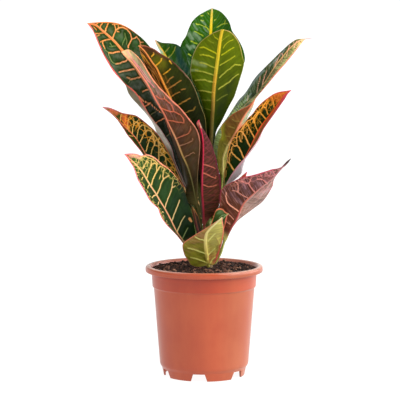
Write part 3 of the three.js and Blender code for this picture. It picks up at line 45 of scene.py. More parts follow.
# Each leaf: rows of left margin, left half, midrib, right half, right margin (x, y, z), from stalk to tip.
NETS = {
    "leaf_upper_left": [
        -6.17, -1.56, 165.67, -5.65, -0.78, 165.68, -5.13, 0, 165.69, -4.61, 0.78, 165.7, -4.09, 1.56, 165.71,
        -10.29, 1.09, 183.91, -9.81, 1.82, 183.96, -9.34, 2.55, 184.02, -8.86, 3.29, 184.07, -8.39, 4.02, 184.12,
        -16.1, 2.69, 201.86, -15.7, 3.32, 201.95, -15.31, 3.95, 202.04, -14.92, 4.59, 202.12, -14.52, 5.22, 202.21,
        -16.34, -3.33, 201.37, -18.97, 0.56, 205.78, -18.34, 4.37, 211.72, -14.75, 6.24, 206.55, -9.56, 7.04, 201.92,
        -19.28, -4.59, 211.25, -24.21, -1.05, 216.83, -21.33, 4.71, 221.42, -16.44, 7.03, 217.05, -9.92, 8.05, 213.22,
        -22.66, -5.88, 220.93, -29.58, -2.8, 228.05, -24.33, 4.94, 231.12, -18.49, 7.68, 227.54, -10.94, 8.93, 224.51,
        -26.74, -7.23, 230.33, -34.82, -4.71, 239.14, -27.41, 4.99, 240.79, -20.67, 8.15, 238.01, -12.18, 9.62, 235.78,
        -30.54, -8.78, 239.84, -39.66, -6.5, 248.97, -30.54, 4.75, 250.46, -23.32, 8.28, 248.44, -14.27, 10.01, 246.95,
        -32.76, -10.68, 249.76, -43.71, -7.58, 256.42, -33.73, 4.29, 260.09, -26.05, 8.18, 258.82, -16.36, 10.27, 258.12,
        -36.17, -12.76, 259.12, -48.02, -8.4, 264.6, -36.99, 3.6, 269.66, -29.23, 7.86, 269.11, -19.33, 10.34, 269.08,
        -42.16, -15.28, 267.33, -52.25, -9.96, 272.81, -40.23, 2.17, 279.22, -32.43, 6.87, 279.4, -22.49, 9.67, 280.03,
        -48.3, -17.59, 275.39, -55.81, -12.46, 280.11, -43.77, 0.39, 288.58, -35.85, 5.51, 289.5, -25.85, 8.55, 290.91,
        -54.43, -19.35, 283.4, -59.32, -15.09, 287.39, -48.02, -1.39, 297.59, -39.76, 4.05, 299.37, -29.54, 7.28, 301.68,
        -60.26, -21.27, 291.58, -64.56, -17.44, 294.64, -52.89, -3.44, 306.32, -44.01, 2.17, 309.15, -33.23, 5.52, 312.43,
        -65.03, -23.68, 300.45, -70.73, -19.73, 301.27, -57.74, -6.09, 314.78, -48.73, -0.47, 318.68, -37.75, 2.89, 322.85,
        -69.98, -27.09, 309.21, -76.77, -22.59, 307.49, -62.54, -9.81, 322.93, -53.41, -4.28, 328.02, -42.29, -1, 333.26,
        -76.09, -30.56, 316.93, -81.82, -24.7, 314.99, -67.53, -13.65, 330.93, -58.38, -8.25, 337.08, -47.32, -5.16, 343.37,
        -83.79, -33.23, 323.16, -84.24, -26.02, 324.56, -72.78, -17.25, 338.85, -63.53, -12.01, 346.05, -52.51, -9.19, 353.33,
        -91.1, -35.48, 329.8, -87.19, -27.72, 334.93, -78.21, -20.99, 346.57, -69.2, -16, 354.69, -58.48, -13.47, 362.76,
        -97.48, -37.73, 337.33, -92, -30.38, 344.25, -83.77, -25.08, 354.02, -75.53, -20.38, 362.67, -65.62, -18.16, 371.2,
        -102.66, -40.12, 345.71, -96.91, -33.51, 353.56, -89.47, -29.39, 361.23, -82.54, -25.01, 369.9, -73.93, -23.12, 378.39,
        -107.42, -42.82, 354.31, -102.16, -37.13, 361.37, -95.24, -33.93, 368.27, -89.84, -29.92, 376.59, -82.8, -28.4, 384.76,
        -111.55, -45.18, 363.2, -107.29, -40.68, 369.03, -101.66, -38.28, 374.78, -97.9, -34.96, 381.94, -92.71, -33.82, 389.01,
        -115.16, -47.66, 372.29, -112.26, -44.54, 376.57, -108.37, -42.91, 380.84, -106.31, -40.63, 385.74, -103.28, -39.77, 390.63,
        -118.88, -50.02, 381.29, -117.36, -48.35, 383.94, -115.34, -47.58, 386.71, -114.78, -46.49, 388.48, -113.91, -45.95, 390.33,
        -124.55, -51.09, 388.82, -124.52, -51.05, 388.98, -124.5, -51, 389.15, -124.47, -50.95, 389.32, -124.44, -50.91, 389.48,],
    "leaf_mid_left_front": [
        -3.63, -6.06, 160.66, -2.73, -6.28, 160.79, -1.83, -6.5, 160.93, -0.93, -6.72, 161.07, -0.02, -6.94, 161.2,
        -6.82, -11.3, 174.19, -5.98, -11.53, 174.29, -5.15, -11.76, 174.39, -4.31, -11.99, 174.5, -3.47, -12.21, 174.6,
        -8.82, -14.01, 188.78, -8.1, -14.23, 188.85, -7.39, -14.45, 188.93, -6.68, -14.67, 189, -5.96, -14.89, 189.07,
        -16.15, -13.28, 191.77, -12.75, -15.6, 194.32, -8.85, -16.11, 197.33, -7.88, -16.83, 197, -6.79, -17.11, 196.79,
        -20.62, -12.82, 198.75, -16.01, -16.5, 201.87, -10.39, -17.81, 205.7, -9.03, -19.63, 205.95, -7.34, -20.69, 206.42,
        -20.28, -10.87, 207.02, -16.98, -16.33, 210.07, -12.12, -19.66, 213.99, -10.08, -22.42, 214.78, -7.26, -24.12, 215.99,
        -20.68, -8.43, 215.25, -18.46, -16.22, 218.1, -14.12, -21.8, 222.15, -11.08, -25.24, 223.47, -6.77, -27.36, 225.5,
        -23.13, -6.72, 223.29, -21.04, -16.78, 225.9, -16.46, -24.2, 230.17, -12.1, -28.05, 232.01, -6.12, -30.2, 234.92,
        -25.28, -6.59, 231.56, -23.48, -18, 233.8, -19.36, -26.73, 237.9, -13.32, -30.84, 240.32, -5.36, -32.73, 244.28,
        -27.43, -6.94, 239.86, -26.21, -19.54, 241.69, -22.76, -29.42, 245.45, -14.74, -33.78, 248.57, -4.49, -35.42, 253.6,
        -30.37, -7.71, 247.92, -29.17, -21.34, 249.58, -25.78, -32.18, 253.1, -16.18, -36.57, 257.07, -4.4, -38.18, 262.9,
        -33.33, -9.27, 256.03, -32.08, -23.53, 257.46, -28.67, -35, 260.78, -18.54, -39.39, 265.41, -6.25, -41, 271.92,
        -35.4, -11.77, 264.41, -34.73, -26.1, 265.39, -31.85, -37.75, 268.35, -22.29, -42.09, 273.19, -10.52, -43.75, 280.01,
        -36.64, -14.7, 273.01, -37.28, -28.79, 273.36, -35.53, -40.4, 275.75, -26.98, -44.64, 280.53, -16.04, -46.4, 287.35,
        -39.08, -17.98, 281.29, -40.35, -31.69, 281.26, -39.03, -43.1, 283.21, -31.6, -47.21, 287.92, -21.59, -49.01, 294.62,
        -42.68, -21.57, 289.08, -43.78, -34.82, 288.92, -42.23, -45.88, 290.79, -36.16, -49.56, 295.17, -27.59, -51.15, 301.45,
        -47.02, -25.11, 296.45, -47.83, -37.82, 296.22, -45.99, -48.44, 298.15, -41.16, -51.36, 302.01, -34.26, -52.65, 307.55,
        -51.59, -28.6, 303.64, -52.24, -40.74, 303.43, -50.22, -50.81, 305.36, -46.21, -52.98, 309.03, -40.4, -53.74, 314.15,
        -55.66, -32.53, 311.1, -56.25, -43.82, 310.93, -54.03, -53.14, 312.8, -51.17, -54.5, 316.08, -46.82, -54.81, 320.46,
        -59.54, -37.4, 318.66, -59.92, -47.32, 318.5, -57.83, -55.41, 320.26, -55.8, -56.17, 323.35, -52.56, -56.05, 327.38,
        -63.75, -42.72, 325.98, -63.84, -51.03, 325.87, -62.15, -57.59, 327.44, -60.35, -58.13, 330.67, -57.5, -57.65, 334.87,
        -68.09, -48.14, 333.16, -68.02, -54.76, 333.15, -66.81, -59.77, 334.43, -64.92, -60.42, 337.98, -62.13, -59.77, 342.55,
        -72.74, -53.53, 340.06, -72.3, -58.61, 340.3, -71.32, -62.25, 341.46, -69.38, -63.03, 345.3, -66.87, -62.25, 350.14,
        -77.63, -59.07, 346.7, -77.06, -62.53, 346.99, -76.4, -64.93, 347.87, -74.65, -65.76, 351.82, -72.75, -64.93, 356.67,
        -82.9, -64.85, 352.98, -82.62, -66.6, 353.12, -82.41, -67.8, 353.48, -81.05, -68.6, 357.34, -79.92, -67.8, 361.81,
        -87.87, -70.96, 359.43, -87.74, -70.98, 359.54, -87.6, -71, 359.64, -87.46, -71.02, 359.75, -87.32, -71.04, 359.86,],
    "leaf_centre_left": [
        -1.35, -6.2, 172.89, -0.44, -6.35, 173.01, 0.48, -6.5, 173.13, 1.4, -6.65, 173.25, 2.32, -6.8, 173.37,
        -3.2, -6.71, 187.51, -2.35, -6.85, 187.65, -1.49, -6.99, 187.79, -0.64, -7.13, 187.94, 0.21, -7.27, 188.08,
        -5.8, -5.8, 202, -5.08, -5.91, 202.15, -4.35, -6.03, 202.31, -3.63, -6.15, 202.47, -2.91, -6.27, 202.63,
        -6.52, -3.12, 202.7, -6.41, -4.91, 206.35, -6.11, -5.55, 210.01, -2.49, -5.69, 207.02, 1.37, -4.4, 204.05,
        -8.45, -2.64, 210.43, -8.28, -4.71, 214.01, -7.95, -5.62, 217.68, -3.19, -5.78, 215.29, 1.81, -4.33, 213.03,
        -10.38, -2.57, 218.2, -10.24, -4.99, 221.68, -9.93, -6.22, 225.32, -3.96, -6.44, 223.56, 2.25, -4.79, 222.05,
        -12.78, -2.77, 225.85, -12.48, -5.59, 229.28, -12.03, -7.18, 232.92, -4.8, -7.48, 231.82, 2.69, -5.6, 231.1,
        -15.25, -3.05, 233.48, -14.8, -6.32, 236.86, -14.19, -8.3, 240.47, -5.7, -8.71, 240.07, 3.1, -6.57, 240.14,
        -17.71, -3.3, 241.1, -17.12, -7.06, 244.39, -16.37, -9.45, 247.96, -6.82, -9.94, 248.27, 3.09, -7.58, 249.17,
        -20.43, -3.79, 248.64, -19.59, -8.06, 251.84, -18.59, -10.89, 255.4, -7.92, -11.33, 256.45, 3.08, -8.88, 258.21,
        -23.37, -4.18, 256.07, -22.21, -9.19, 259.21, -20.87, -12.61, 262.79, -9.22, -12.95, 264.61, 2.77, -10.43, 267.25,
        -26.32, -4.29, 263.48, -24.89, -10.29, 266.54, -23.21, -14.49, 270.14, -10.67, -14.73, 272.76, 2.27, -12.12, 276.26,
        -29.26, -4.27, 270.87, -27.6, -11.35, 273.83, -25.61, -16.42, 277.43, -12.26, -16.55, 280.88, 1.54, -13.86, 285.23,
        -32.69, -4.34, 278.04, -30.6, -12.49, 280.96, -28.08, -18.39, 284.68, -14.93, -18.41, 288.73, -1.25, -15.65, 293.76,
        -36.22, -4.9, 285.19, -33.66, -13.96, 288.06, -30.61, -20.55, 291.87, -17.77, -20.49, 296.5, -4.38, -17.67, 302.17,
        -39.74, -6.07, 292.36, -36.75, -15.74, 295.18, -33.22, -22.77, 299.01, -20.38, -22.66, 304.34, -6.98, -19.8, 310.72,
        -43.38, -7.91, 299.48, -39.95, -17.77, 302.3, -35.96, -24.9, 306.12, -23.38, -24.78, 312.07, -10.22, -21.9, 319.03,
        -47.2, -10.19, 306.5, -43.33, -19.84, 309.39, -38.91, -26.75, 313.2, -26.83, -26.68, 319.62, -14.19, -23.81, 326.97,
        -50.99, -12.75, 313.51, -46.82, -21.9, 316.41, -42.16, -28.38, 320.24, -31.13, -28.37, 326.61, -19.59, -25.58, 333.96,
        -54.11, -16.15, 320.86, -49.89, -24.55, 323.56, -45.29, -30.46, 327.19, -35.66, -30.55, 333.28, -25.6, -27.86, 340.42,
        -57.12, -19.94, 328.23, -52.91, -27.45, 330.78, -48.34, -32.66, 334.16, -40.35, -32.9, 339.83, -31.94, -30.34, 346.51,
        -60.22, -23.6, 335.52, -55.97, -30.15, 337.97, -51.43, -34.58, 341.21, -45.25, -34.77, 346.17, -38.76, -32.61, 352.01,
        -63.35, -27.42, 342.77, -59.75, -32.84, 344.69, -55.96, -36.53, 347.34, -51.23, -36.67, 351.48, -46.3, -34.97, 356.39,
        -66.14, -32.33, 350.13, -63.09, -36.28, 351.67, -59.96, -38.89, 353.76, -56.71, -39.05, 357.31, -53.38, -37.8, 361.44,
        -68.42, -37.68, 357.62, -66.4, -39.81, 358.59, -64.35, -41.13, 359.86, -62.85, -41.25, 362.16, -61.33, -40.55, 364.77,
        -70.09, -42.91, 365.1, -69.96, -42.95, 365.21, -69.84, -43, 365.32, -69.71, -43.05, 365.43, -69.58, -43.09, 365.54,],
    "leaf_centre_front": [
        1.48, -6.31, 188.82, 2.41, -6.3, 188.72, 3.34, -6.3, 188.62, 4.27, -6.3, 188.51, 5.2, -6.29, 188.41,
        3.44, -6.85, 205.42, 4.31, -6.85, 205.35, 5.19, -6.85, 205.28, 6.06, -6.85, 205.2, 6.93, -6.85, 205.13,
        4.63, -5.68, 222.11, 5.38, -5.68, 222.07, 6.13, -5.68, 222.03, 6.88, -5.69, 221.99, 7.63, -5.69, 221.96,
        2.89, -2.93, 227.28, 4.66, -4.57, 228.22, 6.44, -5.5, 229.15, 7.8, -4.53, 228.16, 9.16, -2.93, 227.17,
        2.67, -2.45, 235.28, 4.68, -4.4, 235.77, 6.69, -5.57, 236.29, 7.93, -4.32, 235.66, 9.16, -2.45, 235.05,
        2.52, -2.11, 243.28, 4.71, -4.35, 243.34, 6.9, -5.74, 243.43, 8.08, -4.25, 243.17, 9.26, -2.11, 242.93,
        2.44, -1.91, 251.29, 4.77, -4.42, 250.91, 7.11, -5.99, 250.56, 8.28, -4.3, 250.68, 9.46, -1.91, 250.82,
        2.36, -1.83, 259.31, 4.84, -4.59, 258.47, 7.33, -6.31, 257.68, 8.5, -4.46, 258.18, 9.67, -1.83, 258.72,
        1.97, -1.95, 267.32, 4.78, -4.93, 265.99, 7.61, -6.75, 264.77, 9.77, -4.84, 265.45, 11.95, -1.95, 266.24,
        1.49, -2.63, 275.37, 4.7, -5.8, 273.5, 7.93, -7.65, 271.84, 11.26, -5.78, 272.68, 14.6, -2.63, 273.71,
        1.02, -3.68, 283.42, 4.63, -7.02, 281.02, 8.29, -8.88, 278.88, 13.4, -7.14, 279.56, 18.56, -3.68, 280.54,
        -0.05, -4.84, 291.4, 4.3, -8.37, 288.46, 8.7, -10.2, 285.88, 15.32, -8.58, 286.53, 22.02, -4.84, 287.63,
        -1.77, -6.36, 299.26, 3.7, -10.14, 295.81, 9.25, -11.87, 292.8, 17.3, -10.38, 293.51, 25.45, -6.36, 294.77,
        -4, -7.66, 306.97, 2.8, -11.7, 303.16, 9.67, -13.3, 299.76, 19.33, -11.96, 300.53, 29.07, -7.66, 301.79,
        -6.65, -8.51, 314.51, 1.59, -12.82, 310.48, 9.89, -14.28, 306.83, 21.31, -12.88, 307.58, 32.79, -8.51, 308.72,
        -10.43, -9.34, 321.52, -0.14, -13.76, 317.52, 10.2, -15.2, 313.9, 22.73, -13.76, 314.84, 35.3, -9.34, 316.16,
        -13.9, -10.18, 328.68, -1.56, -14.63, 324.61, 10.82, -16.11, 320.95, 24.21, -14.63, 322.09, 37.64, -10.18, 323.65,
        -15.36, -11.17, 336.24, -1.91, -15.64, 331.85, 11.6, -17.15, 327.96, 25.71, -15.64, 329.31, 39.88, -11.17, 331.16,
        -14.57, -12.54, 344.16, -1.07, -17.01, 339.23, 12.48, -18.54, 334.9, 27.26, -17.01, 336.49, 42.09, -12.54, 338.68,
        -13.14, -14.17, 351.95, 0.11, -18.57, 346.59, 13.42, -20.03, 341.82, 28.35, -18.57, 343.8, 43.33, -14.17, 346.39,
        -10.44, -16.03, 359.37, 1.91, -20.19, 353.77, 14.33, -21.4, 348.76, 27.91, -20.19, 351.1, 41.56, -16.03, 354.03,
        -6.49, -18.25, 366.21, 4.34, -22.02, 360.61, 15.24, -22.87, 355.68, 27.57, -22.02, 358.35, 39.96, -18.25, 361.69,
        -0.91, -20.96, 371.82, 7.56, -24.21, 366.8, 16.08, -24.61, 362.55, 26.6, -24.23, 365.37, 37.18, -20.96, 368.97,
        5.44, -24.05, 376.41, 11.2, -26.3, 372.58, 16.98, -26.57, 369.35, 24.96, -26.56, 372.03, 32.97, -24.05, 375.46,
        12.32, -27.4, 380.11, 15.26, -28.56, 377.9, 18.19, -28.69, 376.04, 22.65, -28.76, 378, 27.11, -27.4, 380.43,
        19.38, -31.03, 382.7, 19.55, -31.01, 382.66, 19.72, -31, 382.63, 19.89, -30.99, 382.59, 20.06, -30.97, 382.56,],
    "leaf_top_back": [
        1.07, 6.35, 187.31, 2.01, 6.32, 187.27, 2.95, 6.3, 187.22, 3.88, 6.28, 187.18, 4.82, 6.25, 187.13,
        2.2, 11.64, 205.43, 3.07, 11.63, 205.4, 3.95, 11.61, 205.38, 4.82, 11.59, 205.35, 5.69, 11.58, 205.33,
        2.71, 17.56, 223.41, 3.46, 17.55, 223.41, 4.21, 17.54, 223.4, 4.96, 17.53, 223.39, 5.71, 17.52, 223.39,
        -2.7, 18.01, 229.16, 0.81, 19.48, 229.97, 4.31, 19.87, 231.1, 6.87, 19.35, 230.23, 9.42, 18.01, 229.59,
        -5.26, 19.34, 237.61, -0.41, 21.41, 238.03, 4.42, 22.01, 238.85, 7.26, 21.13, 238.53, 10.1, 19.34, 238.46,
        -7.88, 20.64, 246.04, -1.67, 23.29, 246.1, 4.51, 24.07, 246.63, 7.71, 22.88, 246.84, 10.89, 20.64, 247.33,
        -10.6, 21.92, 254.45, -2.97, 25.13, 254.16, 4.6, 26.05, 254.44, 8.21, 24.6, 255.16, 11.78, 21.92, 256.19,
        -13.31, 23.23, 262.87, -4.28, 26.95, 262.24, 4.7, 27.96, 262.26, 8.7, 26.3, 263.49, 12.68, 23.23, 265.06,
        -16, 24.56, 271.29, -5.57, 28.64, 270.36, 4.81, 29.8, 270.1, 9.66, 28.02, 271.71, 14.47, 24.56, 273.72,
        -18.4, 25.94, 279.8, -6.71, 30.22, 278.55, 4.95, 31.57, 277.95, 11.26, 29.81, 279.78, 17.55, 25.94, 282.09,
        -20.81, 27.39, 288.31, -7.83, 31.8, 286.74, 5.12, 33.28, 285.81, 12.89, 31.6, 287.86, 20.63, 27.39, 290.46,
        -23.22, 28.92, 296.81, -8.94, 33.39, 294.95, 5.32, 34.92, 293.69, 14.68, 33.39, 295.89, 24.03, 28.92, 298.7,
        -24.91, 30.52, 305.49, -9.68, 34.98, 303.24, 5.53, 36.51, 301.58, 16.64, 34.98, 303.9, 27.73, 30.52, 306.82,
        -26.5, 32.1, 314.2, -10.37, 36.55, 311.55, 5.76, 38.06, 309.47, 18.6, 36.55, 311.92, 31.44, 32.1, 314.95,
        -28.08, 33.68, 322.91, -11.05, 38.1, 319.86, 5.98, 39.58, 317.38, 20.52, 38.1, 319.96, 35.05, 33.68, 323.12,
        -28.72, 35.28, 331.72, -11.27, 39.66, 328.21, 6.19, 41.11, 325.28, 22.42, 39.66, 328.01, 38.65, 35.28, 331.31,
        -28.98, 36.92, 340.58, -11.29, 41.25, 336.6, 6.42, 42.65, 333.18, 24.63, 41.25, 335.91, 42.85, 36.92, 339.21,
        -28.55, 38.52, 349.41, -10.96, 42.79, 344.99, 6.64, 44.12, 341.1, 26.09, 42.79, 344.09, 45.56, 38.52, 347.61,
        -27.34, 39.99, 358.2, -10.25, 44.2, 353.39, 6.85, 45.44, 349.03, 25.62, 44.2, 352.5, 44.4, 39.99, 356.43,
        -24.9, 41.26, 366.63, -8.94, 45.39, 361.62, 7.03, 46.54, 356.99, 24.11, 45.39, 360.69, 41.2, 41.26, 364.76,
        -20.21, 42.35, 374.17, -6.52, 46.39, 369.42, 7.18, 47.44, 364.99, 21.88, 46.39, 368.55, 36.59, 42.35, 372.43,
        -17.08, 43.52, 382.45, -4.88, 47.39, 377.56, 7.33, 48.28, 373, 19.32, 47.39, 376.18, 31.32, 43.52, 379.69,
        -13.17, 45.25, 390.33, -2.81, 48.73, 385.48, 7.58, 49.22, 380.99, 18.15, 48.73, 384.39, 28.74, 45.25, 388.17,
        -6.85, 47.45, 396.53, 0.61, 50.11, 392.56, 8.08, 50.26, 388.96, 16.04, 50.15, 392.15, 24.02, 47.45, 395.71,
        0.82, 50.05, 401.05, 4.7, 51.42, 398.86, 8.56, 51.48, 396.89, 13, 51.52, 399.2, 17.42, 50.05, 401.77,
        8.62, 53.01, 404.81, 8.79, 53, 404.8, 8.97, 53, 404.79, 9.14, 53, 404.78, 9.32, 52.99, 404.77,],
    "leaf_small_back_left": [
        -3.54, 4.92, 182.55, -2.62, 4.96, 182.73, -1.7, 5, 182.91, -0.79, 5.04, 183.1, 0.13, 5.08, 183.28,
        -6.58, 8.78, 197.61, -5.72, 8.82, 197.77, -4.86, 8.86, 197.94, -4, 8.89, 198.1, -3.15, 8.93, 198.26,
        -9.18, 11.42, 213.06, -8.44, 11.45, 213.19, -7.7, 11.48, 213.32, -6.96, 11.51, 213.45, -6.23, 11.54, 213.58,
        -10.25, 10.79, 219.84, -9.62, 11.75, 220.1, -8.98, 12.49, 220.39, -5.68, 12.16, 220.87, -2.37, 11.16, 221.45,
        -13.7, 11.07, 226.17, -12.01, 12.46, 226.78, -10.31, 13.42, 227.45, -6.35, 13.01, 228.37, -2.37, 11.77, 229.4,
        -17.15, 11.33, 232.5, -14.45, 13.13, 233.45, -11.72, 14.29, 234.49, -7.06, 13.81, 235.86, -2.37, 12.34, 237.35,
        -20.43, 11.55, 238.9, -16.83, 13.73, 240.16, -13.21, 15.07, 241.52, -8.18, 14.5, 243.33, -3.12, 12.85, 245.27,
        -22.77, 11.77, 245.71, -18.78, 14.24, 247.09, -14.75, 15.77, 248.56, -9.35, 15.13, 250.81, -3.91, 13.3, 253.18,
        -25.1, 12.03, 252.52, -20.74, 14.74, 254.01, -16.34, 16.43, 255.59, -10.55, 15.74, 258.28, -4.7, 13.75, 261.09,
        -27.44, 12.36, 259.33, -22.72, 15.27, 260.92, -17.95, 17.07, 262.63, -11.75, 16.36, 265.74, -5.49, 14.23, 269,
        -29.78, 12.82, 266.12, -24.69, 15.86, 267.82, -19.56, 17.73, 269.66, -13.15, 17, 273.17, -6.68, 14.78, 276.85,
        -32.12, 13.44, 272.89, -26.66, 16.57, 274.71, -21.17, 18.44, 276.68, -14.6, 17.72, 280.59, -7.98, 15.44, 284.67,
        -34, 14.24, 279.8, -28.39, 17.37, 281.67, -22.76, 19.23, 283.7, -16.04, 18.54, 287.99, -9.29, 16.23, 292.48,
        -35.85, 15.09, 286.71, -30.07, 18.23, 288.64, -24.26, 20.06, 290.74, -17.44, 19.4, 295.41, -10.6, 17.06, 300.29,
        -37.71, 16.01, 293.61, -31.72, 19.13, 295.63, -25.73, 20.91, 297.81, -18.76, 20.28, 302.85, -11.79, 17.91, 308.12,
        -39.57, 16.99, 300.52, -33.38, 20.09, 302.6, -27.21, 21.81, 304.87, -20.03, 21.22, 310.29, -12.86, 18.81, 315.96,
        -41.3, 18.06, 307.45, -35.01, 21.12, 309.57, -28.75, 22.78, 311.88, -21.33, 22.23, 317.71, -13.94, 19.78, 323.8,
        -42.44, 19.24, 314.5, -36.41, 22.21, 316.56, -30.43, 23.83, 318.83, -22.72, 23.32, 325.08, -15.09, 20.83, 331.63,
        -43.58, 20.54, 321.55, -37.9, 23.39, 323.5, -32.29, 24.98, 325.67, -24.24, 24.47, 332.39, -16.32, 21.98, 339.44,
        -44.73, 22.12, 328.59, -39.5, 24.84, 330.4, -34.37, 26.39, 332.45, -26.01, 25.87, 339.62, -17.82, 23.39, 347.18,
        -45.38, 23.97, 335.69, -40.99, 26.51, 337.32, -36.71, 28.06, 339.15, -28.47, 27.53, 346.69, -20.46, 25.06, 354.63,
        -45.86, 25.95, 342.8, -42.56, 28.24, 344.19, -39.35, 29.74, 345.72, -31.93, 29.26, 353.27, -24.76, 26.82, 361.18,
        -46.64, 28.07, 349.9, -44.45, 29.93, 350.94, -42.34, 31.22, 352.07, -36.71, 30.84, 358.56, -31.28, 28.74, 365.31,
        -48.7, 30.23, 356.61, -47.4, 31.53, 357.34, -46.14, 32.46, 358.12, -42.53, 32.12, 362.2, -39.04, 30.69, 366.43,
        -52.15, 32.57, 362.91, -51.17, 33.26, 363.42, -50.21, 33.71, 363.98, -48.57, 33.48, 365.44, -46.96, 32.81, 366.97,
        -54.79, 34.99, 369.45, -54.65, 34.99, 369.56, -54.51, 35, 369.66, -54.37, 35.01, 369.76, -54.23, 35.01, 369.87,],
    "leaf_right_long": [
        7.46, 5.02, 187.66, 8.3, 4.61, 187.56, 9.13, 4.2, 187.45, 9.97, 3.79, 187.35, 10.8, 3.38, 187.25,
        12.09, 8.77, 209.64, 12.88, 8.39, 209.57, 13.66, 8.02, 209.49, 14.45, 7.64, 209.42, 15.23, 7.26, 209.34,
        14.7, 10.34, 232.48, 15.38, 10.02, 232.43, 16.06, 9.71, 232.39, 16.74, 9.39, 232.35, 17.42, 9.07, 232.3,
        12.63, 12.44, 236.88, 14.54, 11.07, 238.92, 16.83, 10.53, 240.86, 18.22, 9.44, 238.92, 19.95, 9.07, 236.89,
        10.57, 13.9, 244.98, 13.98, 11.92, 247.21, 17.92, 11.14, 249.27, 19.63, 9.57, 246.95, 21.73, 8.89, 244.51,
        10.23, 15, 253.37, 14.61, 12.51, 255.71, 19.68, 11.5, 257.79, 21.69, 9.32, 254.97, 24.22, 8.22, 251.97,
        11.67, 16.17, 261.58, 16.45, 13.34, 263.96, 22.03, 12.02, 265.78, 24.39, 8.84, 262.71, 27.41, 6.9, 259.17,
        14.94, 19.08, 269.17, 19.73, 15.97, 271.61, 25.34, 14.14, 273.05, 27.69, 9.78, 270.09, 30.84, 6.65, 266.19,
        19.61, 24.15, 275.98, 24.17, 20.49, 278.53, 29.61, 17.91, 279.84, 31.72, 12.5, 276.98, 34.75, 8.21, 272.82,
        24.79, 29.99, 282.43, 29.06, 25.53, 284.91, 34.25, 21.99, 285.96, 36.07, 15.95, 283.39, 38.88, 10.9, 279.29,
        29.53, 36.03, 289.22, 33.94, 30.64, 291.1, 39.28, 26.09, 291.29, 40.76, 19.71, 289.29, 43.15, 14.17, 285.64,
        34.27, 42.3, 296.07, 39.04, 36.01, 297.08, 44.8, 30.6, 296.13, 45.75, 23.89, 294.87, 47.56, 17.93, 291.92,
        39.17, 48.45, 302.86, 44.19, 41.32, 303, 50.31, 35.12, 300.94, 50.78, 28.11, 300.4, 52.11, 21.82, 298.13,
        45.28, 54.71, 308.75, 49.91, 46.88, 308.26, 55.89, 39.95, 305.53, 55.83, 32.74, 305.74, 56.79, 26.2, 304.26,
        50.32, 58.55, 315.6, 54.79, 50.53, 314.2, 61.07, 43.59, 310.87, 60.76, 36.2, 311.25, 61.78, 29.61, 310.21,
        54.77, 60.43, 322.92, 59.22, 52.5, 321.23, 65.6, 45.78, 317.85, 65.57, 38.36, 317.57, 66.98, 31.85, 316.04,
        60.05, 62.16, 329.7, 64.26, 54.5, 327.95, 70.27, 48.09, 324.61, 70.52, 40.84, 323.87, 72.15, 34.55, 321.9,
        66.08, 63.31, 335.85, 69.6, 56.1, 334.39, 74.82, 50.02, 331.54, 75.28, 43.13, 330.31, 77.14, 37.17, 327.94,
        72.22, 64.01, 341.91, 75.04, 57.32, 340.9, 79.31, 51.67, 338.61, 80.17, 45.24, 336.78, 82.35, 39.74, 333.81,
        78.38, 64.86, 347.95, 80.74, 58.74, 347.2, 84.29, 53.58, 345.25, 85.4, 47.69, 343.01, 87.68, 42.74, 339.6,
        84.51, 65.07, 354.01, 86.56, 59.76, 353.37, 89.59, 55.34, 351.7, 90.77, 50.08, 349.11, 93, 45.77, 345.43,
        90.75, 63.83, 359.91, 92.59, 59.86, 359.4, 95.07, 56.68, 358.1, 96.23, 52.58, 355.23, 98.16, 49.44, 351.41,
        97.14, 62.5, 365.63, 99.06, 59.93, 365.12, 101.23, 58.05, 364.03, 102.1, 55.34, 361.13, 103.29, 53.55, 357.46,
        104.53, 63.31, 370.02, 106.17, 61.81, 369.39, 107.75, 60.79, 368.34, 108.1, 59.23, 366.24, 108.37, 58.28, 363.6,
        113.05, 66.62, 370.41, 113.81, 66.02, 370.53, 114.56, 65.53, 370.39, 114.16, 64.95, 370.05, 113.75, 64.45, 369.49,
        121.69, 70.27, 371.13, 121.78, 70.14, 371.07, 121.87, 70, 371.01, 121.96, 69.86, 370.94, 122.05, 69.73, 370.88,],
    "leaf_right_brown": [
        9.08, -2.4, 177.5, 9.86, -1.95, 177.24, 10.65, -1.5, 176.98, 11.43, -1.05, 176.73, 12.21, -0.6, 176.47,
        15.61, -1.57, 198.29, 16.36, -1.15, 198.11, 17.11, -0.74, 197.94, 17.86, -0.32, 197.76, 18.61, 0.1, 197.59,
        18.4, -0.72, 219.79, 19.06, -0.36, 219.71, 19.71, 0, 219.63, 20.36, 0.36, 219.55, 21.02, 0.72, 219.47,
        17.06, -1.28, 223.65, 18.59, -0.84, 223.76, 19.89, 0, 223.89, 21.19, 0.59, 223.39, 22.27, 1.58, 222.91,
        16.04, -1.98, 228.29, 18.18, -1.27, 228.19, 19.98, 0, 228.12, 21.58, 0.85, 227.52, 22.88, 2.2, 226.95,
        15.11, -2.99, 232.97, 17.77, -2.04, 232.62, 20, -0.39, 232.36, 21.95, 0.74, 231.65, 23.53, 2.48, 231.01,
        14.48, -4.32, 237.71, 17.5, -3.15, 237.07, 20.01, -1.17, 236.59, 22.32, 0.25, 235.78, 24.17, 2.39, 235.11,
        14.33, -5.57, 242.48, 17.47, -4.19, 241.49, 20.04, -1.96, 240.73, 22.73, -0.2, 239.85, 24.87, 2.36, 239.19,
        14.51, -6.59, 247.22, 18.16, -5.06, 245.77, 21.16, -2.57, 244.7, 23.84, -0.35, 243.76, 25.93, 2.73, 243.15,
        14.85, -7.52, 251.94, 19.25, -5.91, 250.05, 22.84, -3.17, 248.63, 25.24, -0.41, 247.68, 27, 3.25, 247.11,
        15.36, -8.39, 256.64, 20.23, -6.7, 254.35, 24.23, -3.78, 252.62, 26.83, -0.5, 251.48, 28.69, 3.8, 250.8,
        16.54, -9.13, 261.11, 21.76, -7.39, 258.37, 26.09, -4.33, 256.35, 28.8, -0.58, 255.04, 30.74, 4.3, 254.35,
